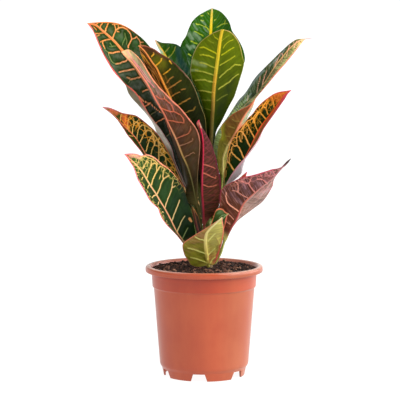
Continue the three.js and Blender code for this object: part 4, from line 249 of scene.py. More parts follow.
        18.59, -9.8, 265.26, 23.97, -8.01, 262.16, 28.41, -4.87, 259.9, 31.05, -0.73, 258.52, 32.88, 4.59, 257.86,
        18.88, -10.62, 269.89, 25.22, -8.93, 266.19, 30.58, -5.62, 263.47, 33.22, -1.29, 262.04, 35.1, 4.31, 261.36,
        18.36, -11.54, 274.55, 26.04, -10.06, 270.25, 32.68, -6.56, 267.05, 35.31, -2.24, 265.63, 37.24, 3.42, 264.94,
        19.49, -12.34, 278.77, 27.59, -11, 274.2, 34.62, -7.48, 270.71, 37.25, -3.27, 269.33, 39.23, 2.3, 268.61,
        22.69, -13.05, 282.15, 30.05, -11.73, 277.81, 36.41, -8.4, 274.45, 39.14, -4.37, 273.05, 41.21, 0.99, 272.3,
        25.79, -13.63, 285.61, 32.49, -12.39, 281.44, 38.26, -9.29, 278.17, 40.97, -5.49, 276.81, 43.04, -0.42, 276.06,
        29.1, -14.1, 288.83, 35.05, -12.95, 284.95, 40.16, -10.12, 281.88, 42.79, -6.61, 280.57, 44.83, -1.9, 279.83,
        32.82, -14.5, 291.57, 37.85, -13.42, 288.2, 42.15, -10.92, 285.55, 44.66, -7.72, 284.3, 46.62, -3.43, 283.61,
        36.84, -14.84, 293.84, 40.89, -13.82, 291.16, 44.33, -11.68, 289.1, 46.63, -8.8, 287.98, 48.4, -4.97, 287.37,
        40.94, -15.13, 295.95, 44.04, -14.17, 294.03, 46.64, -12.4, 292.6, 48.66, -9.86, 291.63, 50.18, -6.52, 291.13,
        45.11, -15.26, 297.93, 47.2, -14.43, 296.86, 48.92, -13.09, 296.12, 50.66, -11, 295.31, 51.95, -8.3, 294.9,
        48.95, -15.27, 300.42, 50.16, -14.65, 299.95, 51.14, -13.75, 299.68, 52.51, -12.28, 299.07, 53.53, -10.37, 298.75,
        52.37, -15.17, 303.49, 52.91, -14.84, 303.33, 53.33, -14.39, 303.27, 54.02, -13.62, 302.96, 54.52, -12.64, 302.81,
        55.29, -15.26, 306.95, 55.39, -15.13, 306.91, 55.5, -15, 306.87, 55.61, -14.87, 306.83, 55.72, -14.74, 306.78,],
    "leaf_right_orange_veined": [
        9.99, -2.16, 163.18, 9.98, -3.08, 163.01, 9.98, -4, 162.84, 9.97, -4.92, 162.67, 9.97, -5.84, 162.5,
        16.95, -6.46, 185.44, 16.94, -7.32, 185.27, 16.93, -8.17, 185.09, 16.91, -9.03, 184.92, 16.9, -9.89, 184.75,
        24.22, -11.71, 207.39, 24.19, -12.44, 207.22, 24.16, -13.17, 207.06, 24.12, -13.91, 206.89, 24.09, -14.64, 206.73,
        20.96, -8.69, 207.64, 23.13, -11.69, 210.24, 26.56, -14.73, 212.18, 25.4, -18.26, 211.88, 23.02, -20.8, 212.44,
        21.01, -8.52, 214.23, 25.89, -12.37, 215.26, 29.23, -16.45, 217.11, 29.37, -22.19, 215.89, 25.45, -24.46, 218.02,
        21.26, -8.95, 220.86, 27.66, -13.5, 220.79, 32.18, -18.59, 221.7, 33.59, -26.16, 219.39, 28.2, -28.33, 223.44,
        21.75, -9.61, 227.5, 29.62, -14.72, 226.32, 35.27, -20.72, 226.22, 37.55, -29.21, 223.39, 31.27, -31.96, 228.61,
        23.76, -9.94, 233.55, 32.18, -15.57, 231.73, 38.18, -22.25, 231.04, 40.94, -31.36, 227.71, 34.55, -34.73, 233.54,
        25.2, -10.32, 239.91, 34.36, -16.28, 237.43, 41.02, -23.51, 236.04, 42.1, -33.24, 232.95, 38.09, -37.2, 238.23,
        25.19, -10.63, 246.52, 35.67, -16.85, 243.33, 43.74, -24.59, 241.11, 43.64, -34.59, 238.13, 41.87, -39.43, 242.67,
        26.39, -10.85, 252.99, 37.56, -17.36, 249.21, 46.37, -25.52, 246.27, 45.48, -35.52, 243.26, 45.59, -41.36, 247.13,
        28.95, -11.36, 259.06, 40.08, -18.16, 254.91, 48.82, -26.63, 251.48, 48.22, -36.63, 247.12, 48.93, -43.22, 251.87,
        31.92, -12.2, 264.95, 42.73, -19.23, 260.52, 51.12, -27.92, 256.71, 51.15, -37.74, 251.14, 52.18, -44.89, 256.65,
        35.37, -13.35, 270.55, 45.57, -20.51, 265.92, 53.36, -29.32, 261.95, 54.39, -38.59, 255.56, 55.47, -46.27, 261.38,
        39.59, -14.43, 275.59, 48.86, -21.59, 270.98, 55.73, -30.37, 267.2, 57.38, -39.06, 260.15, 58.3, -47.04, 266.34,
        43.9, -15.81, 280.56, 52.31, -22.79, 276.03, 58.31, -31.32, 272.36, 60.1, -39.38, 264.94, 60.91, -47.53, 271.42,
        47.54, -18.33, 286.06, 55.45, -24.91, 281.11, 61.04, -33.05, 277.25, 62.44, -40.39, 272.72, 63.57, -48.65, 276.48,
        52.2, -20.04, 290.64, 59.44, -26.11, 285.66, 64.47, -33.74, 281.96, 65.85, -40.58, 279.73, 66.79, -48.61, 281.15,
        55.88, -22.46, 296.04, 62.96, -27.92, 290.73, 67.85, -34.98, 286.58, 69.68, -41.43, 285.63, 70.08, -49.07, 285.79,
        59.95, -24.93, 301.12, 66.59, -29.77, 295.56, 71.24, -36.23, 291.18, 73, -42.2, 290.38, 73.37, -49.31, 290.41,
        64.67, -26.79, 305.55, 70.64, -31.04, 300.16, 74.79, -36.81, 295.82, 76.36, -42.12, 295.04, 76.68, -48.48, 294.98,
        69.76, -29.4, 309.54, 74.7, -32.96, 304.67, 78.04, -37.85, 300.57, 79.56, -42.34, 299.81, 79.98, -47.73, 299.57,
        75.04, -32.41, 313.22, 78.75, -35.17, 308.97, 81.21, -39.05, 305.36, 82.66, -42.55, 304.54, 83.26, -46.82, 304.16,
        80.95, -35.17, 315.57, 83.16, -37.08, 312.6, 84.6, -39.76, 310.13, 85.88, -42.17, 309.23, 86.59, -45.15, 308.71,
        87.11, -38.35, 316.63, 88.03, -39.37, 315.26, 88.6, -40.72, 314.18, 89.2, -41.98, 313.71, 89.53, -43.5, 313.48,
        93.21, -41.73, 317.81, 93.25, -41.87, 317.7, 93.29, -42, 317.6, 93.33, -42.13, 317.49, 93.37, -42.27, 317.39,],
    "leaf_centre_maroon": [
        -0.54, -5.79, 151.1, 0.31, -6.2, 151.03, 1.15, -6.6, 150.95, 1.99, -7, 150.87, 2.83, -7.41, 150.79,
        -1.23, -9.13, 159.38, -0.44, -9.51, 159.31, 0.34, -9.89, 159.23, 1.13, -10.26, 159.16, 1.91, -10.64, 159.08,
        -1.37, -11.79, 167.89, -0.7, -12.12, 167.83, -0.03, -12.44, 167.76, 0.65, -12.76, 167.69, 1.32, -13.09, 167.63,
        -1.96, -10.05, 175.22, -1.18, -12.12, 173.95, -0.16, -13.7, 172.81, 2.33, -13.88, 173.66, 5.11, -13.49, 174.66,
        -2.64, -9.76, 180.18, -1.63, -12.69, 178.93, -0.33, -14.97, 177.85, 4.12, -15.26, 178.05, 9.01, -14.55, 178.52,
        -3.1, -9.59, 185.16, -1.97, -13.3, 183.92, -0.51, -16.22, 182.89, 6.11, -16.67, 182.17, 13.37, -15.62, 181.84,
        -3.39, -9.55, 190.18, -2.26, -13.95, 188.94, -0.74, -17.42, 187.94, 6.93, -17.91, 187.25, 15.32, -16.66, 186.99,
        -3.68, -9.68, 195.21, -2.58, -14.63, 193.98, -1.04, -18.56, 193, 7.51, -19.08, 192.39, 16.89, -17.67, 192.26,
        -3.8, -10.03, 200.27, -2.9, -15.38, 199.04, -1.53, -19.65, 198.07, 7.52, -20.18, 197.66, 17.46, -18.68, 197.76,
        -3.9, -10.66, 205.36, -3.15, -16.24, 204.13, -1.92, -20.69, 203.15, 7.59, -21.27, 202.96, 18.04, -19.69, 203.25,
        -4, -11.42, 210.45, -3.25, -17.13, 209.23, -2, -21.69, 208.24, 7.87, -22.27, 208.27, 18.66, -20.69, 208.73,
        -4.1, -12.18, 215.53, -3.33, -18.02, 214.33, -2.05, -22.67, 213.35, 7.78, -23.25, 213.58, 18.55, -21.67, 214.22,
        -4.46, -12.9, 220.59, -3.53, -18.84, 219.43, -2.07, -23.57, 218.47, 7.61, -24.16, 218.91, 18.24, -22.57, 219.7,
        -5.02, -13.52, 225.62, -3.81, -19.55, 224.53, -2.04, -24.33, 223.61, 6.95, -24.86, 224.17, 16.87, -23.33, 224.99,
        -5.58, -14.06, 230.63, -3.98, -20.15, 229.63, -1.79, -24.98, 228.76, 6.43, -25.42, 229.43, 15.55, -23.98, 230.28,
        -5.61, -14.6, 235.67, -3.86, -20.73, 234.73, -1.47, -25.59, 233.92, 5.97, -25.93, 234.66, 14.27, -24.59, 235.56,
        -5.53, -15.23, 240.71, -3.73, -21.35, 239.82, -1.27, -26.22, 239.07, 5.75, -26.51, 239.93, 13.59, -25.22, 240.96,
        -5.45, -16.32, 245.79, -3.62, -22.21, 244.94, -1.14, -26.89, 244.23, 5.13, -27.1, 245.11, 12.16, -25.89, 246.16,
        -5.18, -17.87, 250.88, -3.41, -23.26, 250.07, -1.03, -27.54, 249.38, 4.33, -27.65, 250.26, 10.37, -26.54, 251.27,
        -4.91, -19.64, 255.99, -3.23, -24.36, 255.21, -1.01, -28.1, 254.55, 3.58, -28.14, 255.42, 8.73, -27.13, 256.43,
        -4.86, -21.57, 261.09, -3.28, -25.54, 260.36, -1.25, -28.66, 259.73, 2.43, -28.64, 260.5, 6.57, -27.77, 261.38,
        -4.96, -23.29, 266.18, -3.52, -26.49, 265.5, -1.7, -28.99, 264.89, 1.02, -28.92, 265.49, 4.08, -28.23, 266.16,
        -5.55, -24.57, 271.14, -4.2, -27.07, 270.54, -2.53, -29, 270.01, -0.68, -28.91, 270.38, 1.41, -28.4, 270.8,
        -6.9, -25.94, 275.99, -5.48, -27.71, 275.49, -3.83, -29, 275.06, -2.68, -28.93, 275.19, -1.4, -28.59, 275.36,
        -8.68, -27.32, 280.67, -7.04, -28.33, 280.37, -5.28, -28.9, 280, -4.48, -28.89, 280.13, -3.62, -28.69, 280.23,
        -6.44, -26.95, 284.78, -6.27, -26.97, 284.81, -6.1, -27, 284.85, -5.93, -27.03, 284.89, -5.76, -27.05, 284.93,],
    "leaf_low_front_olive": [
        2.72, -7.62, 122, 3.65, -7.61, 122.14, 4.58, -7.6, 122.27, 5.5, -7.59, 122.4, 6.43, -7.58, 122.53,
        2.66, -11.05, 125.3, 3.41, -11.04, 125.41, 4.15, -11.03, 125.51, 4.89, -11.02, 125.62, 5.63, -11.01, 125.72,
        -3.13, -11.88, 122.4, 0.44, -13.06, 124.66, 3.87, -13.26, 127.82, 6.69, -12.75, 125.52, 9.4, -11.48, 123.93,
        -7.18, -12.73, 121.86, -1.63, -14.85, 125.38, 3.6, -15.38, 130.21, 7.59, -14.21, 127.32, 11.36, -11.93, 125.35,
        -11.24, -13.64, 122.74, -3.73, -16.58, 126.9, 3.34, -17.41, 132.69, 8.14, -15.62, 129.63, 12.66, -12.45, 127.62,
        -14.73, -14.68, 124.49, -5.59, -18.22, 128.97, 3.08, -19.39, 135.24, 8.68, -17.08, 131.97, 13.96, -13.16, 129.92,
        -16.95, -15.91, 128.17, -6.88, -19.82, 132.11, 2.82, -21.33, 137.79, 8.95, -18.63, 134.47, 14.8, -14.13, 132.46,
        -19.22, -17.35, 131.83, -8.2, -21.5, 135.25, 2.52, -23.22, 140.39, 9.17, -20.29, 137.03, 15.58, -15.4, 135.07,
        -21.49, -19.06, 135.52, -9.52, -23.29, 138.41, 2.22, -25.06, 143.01, 9.38, -22.11, 139.64, 16.35, -17.06, 137.72,
        -22.77, -20.98, 139.72, -10.33, -25.16, 141.8, 1.96, -26.92, 145.63, 9.59, -24.02, 142.24, 17.08, -18.95, 140.41,
        -23.61, -23.02, 143.99, -10.87, -27.12, 145.21, 1.79, -28.82, 148.22, 9.83, -25.99, 144.83, 17.8, -20.94, 143.12,
        -23.59, -25.2, 148.42, -10.97, -29.19, 148.68, 1.63, -30.8, 150.77, 10.08, -28.06, 147.42, 18.52, -23.04, 145.83,
        -21.38, -27.42, 151.72, -9.93, -31.3, 151.63, 1.53, -32.76, 153.33, 10.35, -30.15, 150.06, 19.17, -25.16, 148.56,
        -18.04, -29.57, 154.41, -8.25, -33.34, 154.34, 1.52, -34.61, 155.95, 10.67, -32.16, 152.78, 19.81, -27.21, 151.28,
        -14.62, -31.63, 156.95, -6.4, -35.09, 157.13, 1.78, -36.37, 158.69, 11.09, -34.05, 155.54, 20.36, -29.19, 154,
        -11.19, -33.64, 159.46, -4.45, -36.76, 159.84, 2.26, -38.08, 161.4, 11.49, -35.86, 158.26, 20.67, -31.13, 156.76,
        -7.74, -35.68, 161.89, -2.36, -38.44, 162.39, 2.97, -39.79, 163.91, 12.01, -37.68, 160.86, 20.99, -33.17, 159.53,
        -4.24, -37.79, 164.27, 0.13, -40.24, 164.83, 4.46, -41.52, 166.25, 12.87, -39.56, 163.47, 21.2, -35.39, 162.32,
        -0.76, -39.73, 166.62, 2.79, -41.88, 167.22, 6.29, -43.04, 168.49, 13.84, -41.29, 166.11, 21.28, -37.5, 165.11,
        2.69, -41.41, 168.99, 5.53, -43.24, 169.55, 8.32, -44.25, 170.61, 14.81, -42.74, 168.69, 21.18, -39.43, 167.86,
        6.07, -42.97, 171.43, 8.37, -44.48, 171.86, 10.61, -45.31, 172.68, 15.8, -44.04, 171.21, 20.87, -41.3, 170.59,
        9.45, -44.51, 173.86, 11.16, -45.67, 174.19, 12.83, -46.31, 174.8, 16.7, -45.31, 173.75, 20.46, -43.2, 173.3,
        12.77, -46.04, 176.36, 13.9, -46.83, 176.58, 15, -47.27, 176.97, 17.51, -46.57, 176.29, 19.95, -45.14, 175.99,
        16.06, -47.54, 178.88, 16.63, -47.94, 178.99, 17.17, -48.17, 179.18, 18.41, -47.8, 178.85, 19.61, -47.08, 178.71,
        19.08, -49.12, 181.63, 19.21, -49.06, 181.53, 19.33, -49, 181.42, 19.46, -48.94, 181.32, 19.59, -48.88, 181.22,],
    "leaf_low_right_maroon": [
        10.18, -3.45, 125.52, 10.98, -2.97, 125.43, 11.79, -2.5, 125.33, 12.59, -2.03, 125.23, 13.39, -1.55, 125.14,
        16.28, -11.11, 137.27, 17.03, -10.67, 137.21, 17.78, -10.23, 137.16, 18.54, -9.78, 137.11, 19.29, -9.34, 137.06,
        20.66, -17.5, 150.61, 21.29, -17.11, 150.58, 21.93, -16.71, 150.54, 22.57, -16.31, 150.51, 23.2, -15.92, 150.47,
        18.96, -21.43, 158.41, 21.7, -20.39, 156.73, 24.01, -18.63, 155.52, 24.76, -17.45, 155.5, 25.3, -15.93, 155.7,
        17.85, -25.05, 164.95, 22.39, -23.39, 162.3, 26.25, -20.55, 160.44, 27.07, -18.65, 160.22, 27.6, -16.26, 160.34,
        17.08, -28.51, 171.49, 23.27, -26.33, 167.82, 28.59, -22.53, 165.27, 29.58, -19.99, 164.82, 30.2, -16.77, 164.84,
        16.43, -31.7, 177.99, 24.23, -29.17, 173.28, 31.05, -24.57, 170.02, 32.27, -21.45, 169.29, 33.08, -17.48, 169.17,
        16.23, -34.51, 184.43, 25.46, -31.76, 178.75, 33.7, -26.68, 174.65, 35.23, -23.07, 173.59, 36.33, -18.43, 173.22,
        16.69, -36.84, 190.8, 26.77, -34.06, 184.37, 35.94, -28.84, 179.42, 38.26, -24.86, 177.73, 40.09, -19.6, 176.8,
        17.05, -39.06, 197.14, 27.78, -36.31, 190.05, 37.73, -31.06, 184.4, 41.19, -26.76, 181.74, 44.15, -20.86, 180.01,
        17.36, -41.3, 203.47, 28.87, -38.57, 195.61, 39.79, -33.3, 189.25, 44.25, -28.71, 185.62, 48.27, -22.17, 183.14,
        18.23, -43.64, 209.74, 30.36, -40.88, 200.99, 42.18, -35.64, 193.91, 47.36, -30.73, 189.45, 52.27, -23.68, 186.43,
        21.98, -46.41, 214.68, 33.58, -43.6, 205.4, 45.08, -38.41, 197.93, 50.73, -33.23, 192.98, 56.28, -25.81, 189.73,
        27.12, -49.28, 217.89, 37.8, -46.46, 208.84, 48.39, -41.28, 201.65, 54.4, -35.96, 196.41, 60.32, -28.33, 192.98,
        32.37, -51.84, 221.02, 42.25, -49.04, 212.21, 51.99, -43.89, 205.25, 58.03, -38.58, 200.1, 63.94, -30.96, 196.74,
        37.82, -53.99, 223.68, 46.85, -51.38, 215.29, 55.73, -46.42, 208.78, 61.42, -41.28, 204.05, 66.96, -33.98, 201.04,
        43.45, -55.85, 225.78, 51.58, -53.56, 218.07, 59.52, -48.95, 212.24, 64.62, -44.13, 208.17, 69.56, -37.37, 205.67,
        49.31, -57.44, 227.01, 56.47, -55.52, 220.45, 63.37, -51.4, 215.7, 67.75, -47.02, 212.37, 71.94, -40.97, 210.43,
        55.08, -58.82, 228.65, 61.34, -57.2, 223.13, 67.3, -53.72, 219.16, 70.76, -49.84, 216.68, 74, -44.6, 215.34,
        60.79, -60.1, 230.47, 66.21, -58.79, 225.9, 71.25, -55.95, 222.65, 73.08, -52.55, 221.24, 74.67, -48.18, 220.66,
        66.46, -61.45, 232.38, 70.88, -60.39, 228.9, 74.88, -58.16, 226.45, 75.93, -55.29, 225.64, 76.71, -51.68, 225.48,
        72.1, -62.93, 234.32, 75.37, -62.02, 232.06, 78.25, -60.34, 230.55, 78.98, -57.97, 229.94, 79.45, -55.04, 229.88,
        77.93, -64.57, 235.43, 79.92, -63.78, 234.77, 81.61, -62.65, 234.56, 82.22, -60.79, 234.06, 82.53, -58.59, 234,
        83.3, -66.33, 237.8, 84.24, -65.75, 238.03, 84.98, -65.06, 238.51, 85.46, -63.75, 238.13, 85.68, -62.3, 238.06,
        87.66, -68.13, 241.91, 88.08, -67.84, 242.09, 88.4, -67.51, 242.39, 88.65, -66.83, 242.19, 88.77, -66.1, 242.14,
        91.68, -70.3, 246.17, 91.76, -70.15, 246.19, 91.85, -70, 246.21, 91.94, -69.85, 246.23, 92.02, -69.7, 246.25,],
    "leaf_low_front_small": [
        5.82, -6.87, 125.98, 6.69, -6.54, 125.92, 7.56, -6.2, 125.86, 8.43, -5.86, 125.8, 9.31, -5.53, 125.74,
        7.99, -10.97, 132.64, 8.82, -10.69, 132.63, 9.65, -10.41, 132.62, 10.48, -10.12, 132.61, 11.31, -9.84, 132.59,
        9.35, -15.45, 139.17, 10.07, -15.24, 139.21, 10.79, -15.04, 139.24, 11.51, -14.83, 139.27, 12.23, -14.62, 139.31,
        7.94, -17.76, 146.1, 9.43, -16.98, 143.82, 11.03, -16.56, 141.25, 12.09, -15.65, 143.12, 13.23, -15.02, 144.78,
        7.3, -19.47, 148.88, 9.22, -18.56, 146.24, 11.25, -18.09, 143.26, 12.59, -16.94, 145, 14, -16.08, 146.51,
        6.65, -21.14, 151.65, 9.02, -20.12, 148.66, 11.46, -19.62, 145.28, 13.1, -18.24, 146.88, 14.78, -17.19, 148.24,
        6.01, -22.77, 154.41, 8.81, -21.65, 151.08, 11.68, -21.12, 147.31, 13.6, -19.55, 148.78, 15.55, -18.32, 149.98,
        5.87, -24.33, 157.2, 8.87, -23.13, 153.52, 11.92, -22.58, 149.36, 14.1, -20.84, 150.68, 16.32, -19.47, 151.72,
        5.98, -25.86, 160.01, 9.04, -24.59, 155.97, 12.14, -24.03, 151.43, 14.56, -22.13, 152.61, 17.01, -20.65, 153.5,
        6.09, -27.35, 162.82, 9.21, -26.03, 158.42, 12.35, -25.46, 153.52, 15.02, -23.44, 154.55, 17.7, -21.87, 155.28,
        6.2, -28.81, 165.61, 9.38, -27.44, 160.88, 12.56, -26.87, 155.61, 15.48, -24.76, 156.5, 18.39, -23.12, 157.07,
        6.34, -30.25, 168.39, 9.58, -28.84, 163.33, 12.8, -28.28, 157.71, 15.94, -26.09, 158.44, 19.07, -24.4, 158.85,
        7.11, -31.66, 171.05, 10.12, -30.24, 165.7, 13.06, -29.67, 159.79, 16.43, -27.43, 160.39, 19.76, -25.71, 160.64,
        7.89, -33.05, 173.7, 10.68, -31.61, 168.07, 13.39, -31.05, 161.87, 16.9, -28.79, 162.34, 20.36, -27.06, 162.45,
        8.66, -34.44, 176.34, 11.3, -32.99, 170.43, 13.8, -32.45, 163.94, 17.41, -30.18, 164.29, 20.93, -28.45, 164.29,
        9.43, -35.8, 178.98, 11.96, -34.36, 172.79, 14.33, -33.85, 166.01, 17.96, -31.61, 166.24, 21.5, -29.92, 166.13,
        10.23, -37.11, 181.6, 12.69, -35.68, 175.13, 14.94, -35.22, 168.07, 18.56, -33.06, 168.19, 22.06, -31.43, 167.98,
        11.15, -38.33, 184.17, 13.51, -36.93, 177.42, 15.64, -36.55, 170.12, 19.19, -34.48, 170.12, 22.62, -32.95, 169.83,
        12.06, -39.44, 186.71, 14.36, -38.08, 179.7, 16.41, -37.8, 172.15, 19.77, -35.86, 172.06, 23.02, -34.45, 171.71,
        13.36, -40.42, 188.87, 15.45, -39.13, 181.77, 17.3, -38.94, 174.2, 20.41, -37.18, 174, 23.42, -35.91, 173.59,
        15.72, -41.29, 189.99, 17.15, -40.13, 183.34, 18.38, -40, 176.28, 21.14, -38.45, 175.96, 23.82, -37.35, 175.47,
        18.25, -42.09, 190, 19.03, -41.12, 184.3, 19.61, -41.02, 178.28, 21.95, -39.72, 177.88, 24.2, -38.79, 177.35,
        20.44, -42.87, 189.18, 20.79, -42.11, 184.76, 20.97, -42.03, 180.11, 22.78, -41.01, 179.73, 24.51, -40.29, 179.24,
        22.02, -43.61, 187.23, 22.32, -43.12, 184.57, 22.53, -43.04, 181.76, 23.7, -42.34, 181.48, 24.83, -41.83, 181.14,
        24.02, -44.32, 185.78, 24.19, -44.08, 184.57, 24.32, -44.03, 183.27, 24.95, -43.66, 183.11, 25.56, -43.4, 182.89,
        26.07, -45.07, 184.91, 26.18, -45.03, 184.78, 26.29, -45, 184.65, 26.39, -44.97, 184.52, 26.5, -44.93, 184.39,],
    "leaf_left_gold_veined": [
        -3.9, -3.97, 147.32, -3.25, -3.49, 147.79, -2.59, -3, 148.25, -1.94, -2.51, 148.72, -1.29, -2.03, 149.18,
        -11.66, -8.63, 163.33, -11.03, -8.16, 163.73, -10.41, -7.69, 164.12, -9.78, -7.22, 164.52, -9.16, -6.76, 164.91,
        -18.61, -11.38, 180.18, -18.06, -10.97, 180.49, -17.51, -10.56, 180.8, -16.97, -10.16, 181.11, -16.42, -9.75, 181.42,
        -19.21, -15.4, 175.92, -20.31, -12.71, 181.24, -20.47, -11.48, 186.83, -16.29, -9.75, 183.19, -11.17, -9.48, 179.82,
        -25.04, -18.03, 180.15, -24.88, -14.28, 186.3, -23.63, -12.29, 192.81, -18.94, -10.06, 189.8, -13.31, -9.35, 187.11,
        -29.89, -20.49, 185.45, -29.05, -15.83, 191.84, -26.99, -13.08, 198.69, -21.85, -10.39, 196.32, -15.7, -9.27, 194.33,
        -34.42, -22.84, 191.08, -33.16, -17.38, 197.45, -30.54, -13.92, 204.4, -25.24, -10.85, 202.59, -18.88, -9.35, 201.23,
        -38.93, -25.1, 196.68, -37.37, -18.96, 202.94, -34.38, -14.88, 209.89, -28.83, -11.48, 208.73, -22.17, -9.67, 208.1,
        -42.69, -27.2, 202.8, -41.32, -20.55, 208.63, -38.51, -15.92, 215.2, -32.47, -12.22, 214.84, -25.21, -10.21, 215.11,
        -46.34, -29.04, 208.95, -45.24, -22.01, 214.32, -42.72, -16.97, 220.45, -36.06, -13.03, 220.97, -28.07, -10.95, 222.19,
        -49.99, -30.74, 215.07, -49.17, -23.4, 219.99, -46.95, -18.02, 225.66, -39.65, -13.86, 227.08, -30.88, -11.76, 229.3,
        -53.08, -32.42, 221.48, -52.85, -24.8, 225.78, -51.25, -19.08, 230.81, -43.27, -14.71, 233.17, -33.65, -12.61, 236.4,
        -56.13, -34.11, 227.9, -56.49, -26.24, 231.6, -55.46, -20.21, 236.02, -47.05, -15.74, 239.21, -36.9, -13.55, 243.28,
        -59.19, -35.77, 234.29, -60.13, -27.69, 237.44, -59.64, -21.4, 241.27, -50.96, -16.88, 245.2, -40.48, -14.6, 249.99,
        -62.24, -37.43, 240.67, -63.69, -29.2, 243.34, -63.6, -22.7, 246.62, -54.78, -18.15, 251.29, -44.04, -15.78, 256.71,
        -65.29, -39.12, 247.03, -67, -30.81, 249.39, -67.07, -24.17, 252.25, -58.47, -19.63, 257.46, -47.81, -17.19, 263.29,
        -69.15, -40.83, 252.82, -70.56, -32.52, 255.19, -70.28, -25.85, 258.01, -62.3, -21.32, 263.46, -52.2, -18.85, 269.47,
        -73.56, -42.22, 258.22, -74.36, -34.2, 260.68, -73.58, -27.79, 263.63, -66.4, -23.34, 269.1, -57.16, -20.98, 275.19,
        -77.82, -43.03, 263.7, -78.4, -35.65, 265.99, -77.57, -29.78, 268.75, -70.98, -25.51, 274.36, -62.38, -23.38, 280.63,
        -82.29, -44.14, 269.01, -82.65, -37.64, 270.98, -81.78, -32.49, 273.34, -75.87, -28.52, 279.15, -68.07, -26.66, 285.56,
        -85.83, -44.76, 274.96, -86.51, -39.29, 276.25, -86.18, -34.94, 277.89, -81.05, -31.4, 283.53, -74.2, -29.79, 289.77,
        -89.6, -45.23, 280.75, -90.42, -40.83, 281.55, -90.4, -37.27, 282.67, -86.58, -34.39, 286.78, -81.38, -32.86, 291.41,
        -93.44, -45.87, 286.49, -94.34, -42.47, 286.83, -94.54, -39.65, 287.51, -92.03, -37.43, 290.03, -88.55, -36.01, 293.02,
        -98.1, -46.43, 291.41, -98.75, -44.08, 291.61, -98.94, -42.12, 292.08, -97.37, -40.55, 293.95, -95.15, -39.51, 296.2,
        -103.55, -46.79, 295.58, -103.75, -45.57, 295.81, -103.73, -44.57, 296.18, -102.98, -43.71, 297.49, -101.88, -43.21, 299.01,
        -109.01, -47.23, 299.59, -108.98, -47.11, 299.72, -108.94, -47, 299.84, -108.9, -46.89, 299.97, -108.86, -46.77, 300.1,],
    "leaf_low_left_green": [
        0.69, -5.72, 130.19, 1.03, -5.76, 131.06, 1.38, -5.8, 131.93, 1.72, -5.84, 132.8, 2.07, -5.88, 133.67,
        -9.01, -10.44, 133.99, -8.55, -10.43, 134.73, -8.09, -10.42, 135.48, -7.63, -10.41, 136.22, -7.17, -10.41, 136.97,
        -16.55, -15.55, 141.37, -16.04, -15.48, 141.92, -15.53, -15.41, 142.47, -15.03, -15.34, 143.02, -14.52, -15.27, 143.57,
        -21.75, -20.91, 148.24, -20.57, -19.09, 147.51, -19.16, -17.84, 146.63, -14.61, -16.3, 148.22, -9.5, -16.13, 149.46,
        -25.46, -25.41, 152.79, -24.21, -22.49, 151.93, -22.55, -20.37, 150.91, -16.39, -18.22, 153.79, -9.27, -17.99, 156.27,
        -28.82, -29.78, 157.61, -27.55, -25.85, 156.57, -25.7, -22.93, 155.34, -18.46, -20.28, 159.38, -9.91, -19.91, 163.01,
        -32.46, -33.89, 162.14, -30.9, -29.09, 161.14, -28.61, -25.48, 159.96, -20.53, -22.41, 165.04, -10.9, -21.87, 169.72,
        -36.21, -37.55, 166.47, -34.21, -32.02, 165.7, -31.35, -27.87, 164.75, -22.31, -24.53, 170.75, -11.71, -23.73, 176.43,
        -39.95, -40.42, 170.68, -37.27, -34.36, 170.4, -33.62, -29.85, 169.95, -24.37, -26.27, 176.54, -13.53, -25.23, 182.86,
        -43.26, -42.86, 175.23, -40.1, -36.51, 175.29, -35.87, -31.84, 175.17, -26.52, -28.06, 182.34, -15.56, -26.8, 189.23,
        -46.1, -45.24, 180.04, -42.76, -38.74, 180.24, -38.3, -33.97, 180.25, -28.82, -30, 188.04, -17.72, -28.53, 195.55,
        -48.23, -47.71, 185.25, -45.11, -41.12, 185.31, -40.87, -36.22, 185.2, -31.15, -32.06, 193.67, -19.78, -30.39, 201.91,
        -49.85, -50.06, 190.58, -47.24, -43.39, 190.39, -43.54, -38.38, 190.13, -33.53, -34.03, 199.23, -21.86, -32.17, 208.23,
        -53.71, -52.07, 194.48, -50.6, -45.28, 194.82, -46.35, -40.25, 195.12, -36.07, -35.72, 204.8, -24.17, -33.71, 214.43,
        -57.52, -54.12, 198.43, -53.93, -47.25, 199.32, -49.11, -42.2, 200.09, -39.14, -37.56, 210.16, -27.51, -35.4, 220.06,
        -60.47, -56.49, 203.03, -56.69, -49.58, 204.1, -51.63, -44.51, 205.05, -42.34, -39.8, 215.31, -31.34, -37.55, 225.43,
        -62.83, -58.62, 208.03, -59.32, -51.72, 208.92, -54.58, -46.63, 209.84, -45.93, -41.89, 220.09, -35.59, -39.64, 230.4,
        -65.47, -60, 212.8, -62.14, -53.32, 213.67, -57.66, -48.41, 214.68, -49.78, -43.75, 224.72, -40.24, -41.6, 234.97,
        -68.15, -60.51, 217.46, -64.93, -54.32, 218.55, -60.58, -49.78, 219.76, -53.89, -45.34, 229.08, -45.51, -43.38, 238.59,
        -70.84, -60.98, 222.11, -67.62, -55.44, 223.46, -63.33, -51.43, 224.87, -57.56, -47.29, 233.9, -50.07, -45.6, 243.03,
        -72.81, -61.48, 227.11, -69.96, -56.73, 228.44, -66.17, -53.31, 229.81, -61.52, -49.51, 238.36, -55.12, -48.16, 247,
        -74.38, -62.23, 232.26, -72.28, -58.33, 233.28, -69.43, -55.48, 234.39, -66, -52.2, 241.71, -61.04, -51.07, 249.24,
        -76.23, -62.83, 237.23, -74.97, -59.77, 237.87, -73.16, -57.47, 238.66, -70.66, -54.93, 243.39, -67.1, -53.83, 248.41,
        -79.15, -63.23, 241.71, -78.32, -61.08, 242.17, -77.12, -59.46, 242.74, -75.3, -57.6, 246.46, -72.67, -56.85, 250.41,
        -81.92, -63.6, 246.27, -81.58, -62.5, 246.48, -81.04, -61.65, 246.73, -80.17, -60.67, 248.86, -78.85, -60.28, 251.11,
        -85.15, -64.17, 250.36, -85.07, -64.09, 250.49, -84.99, -64, 250.62, -84.91, -63.91, 250.75, -84.84, -63.83, 250.88,],
    "leaf_small_centre_maroon": [
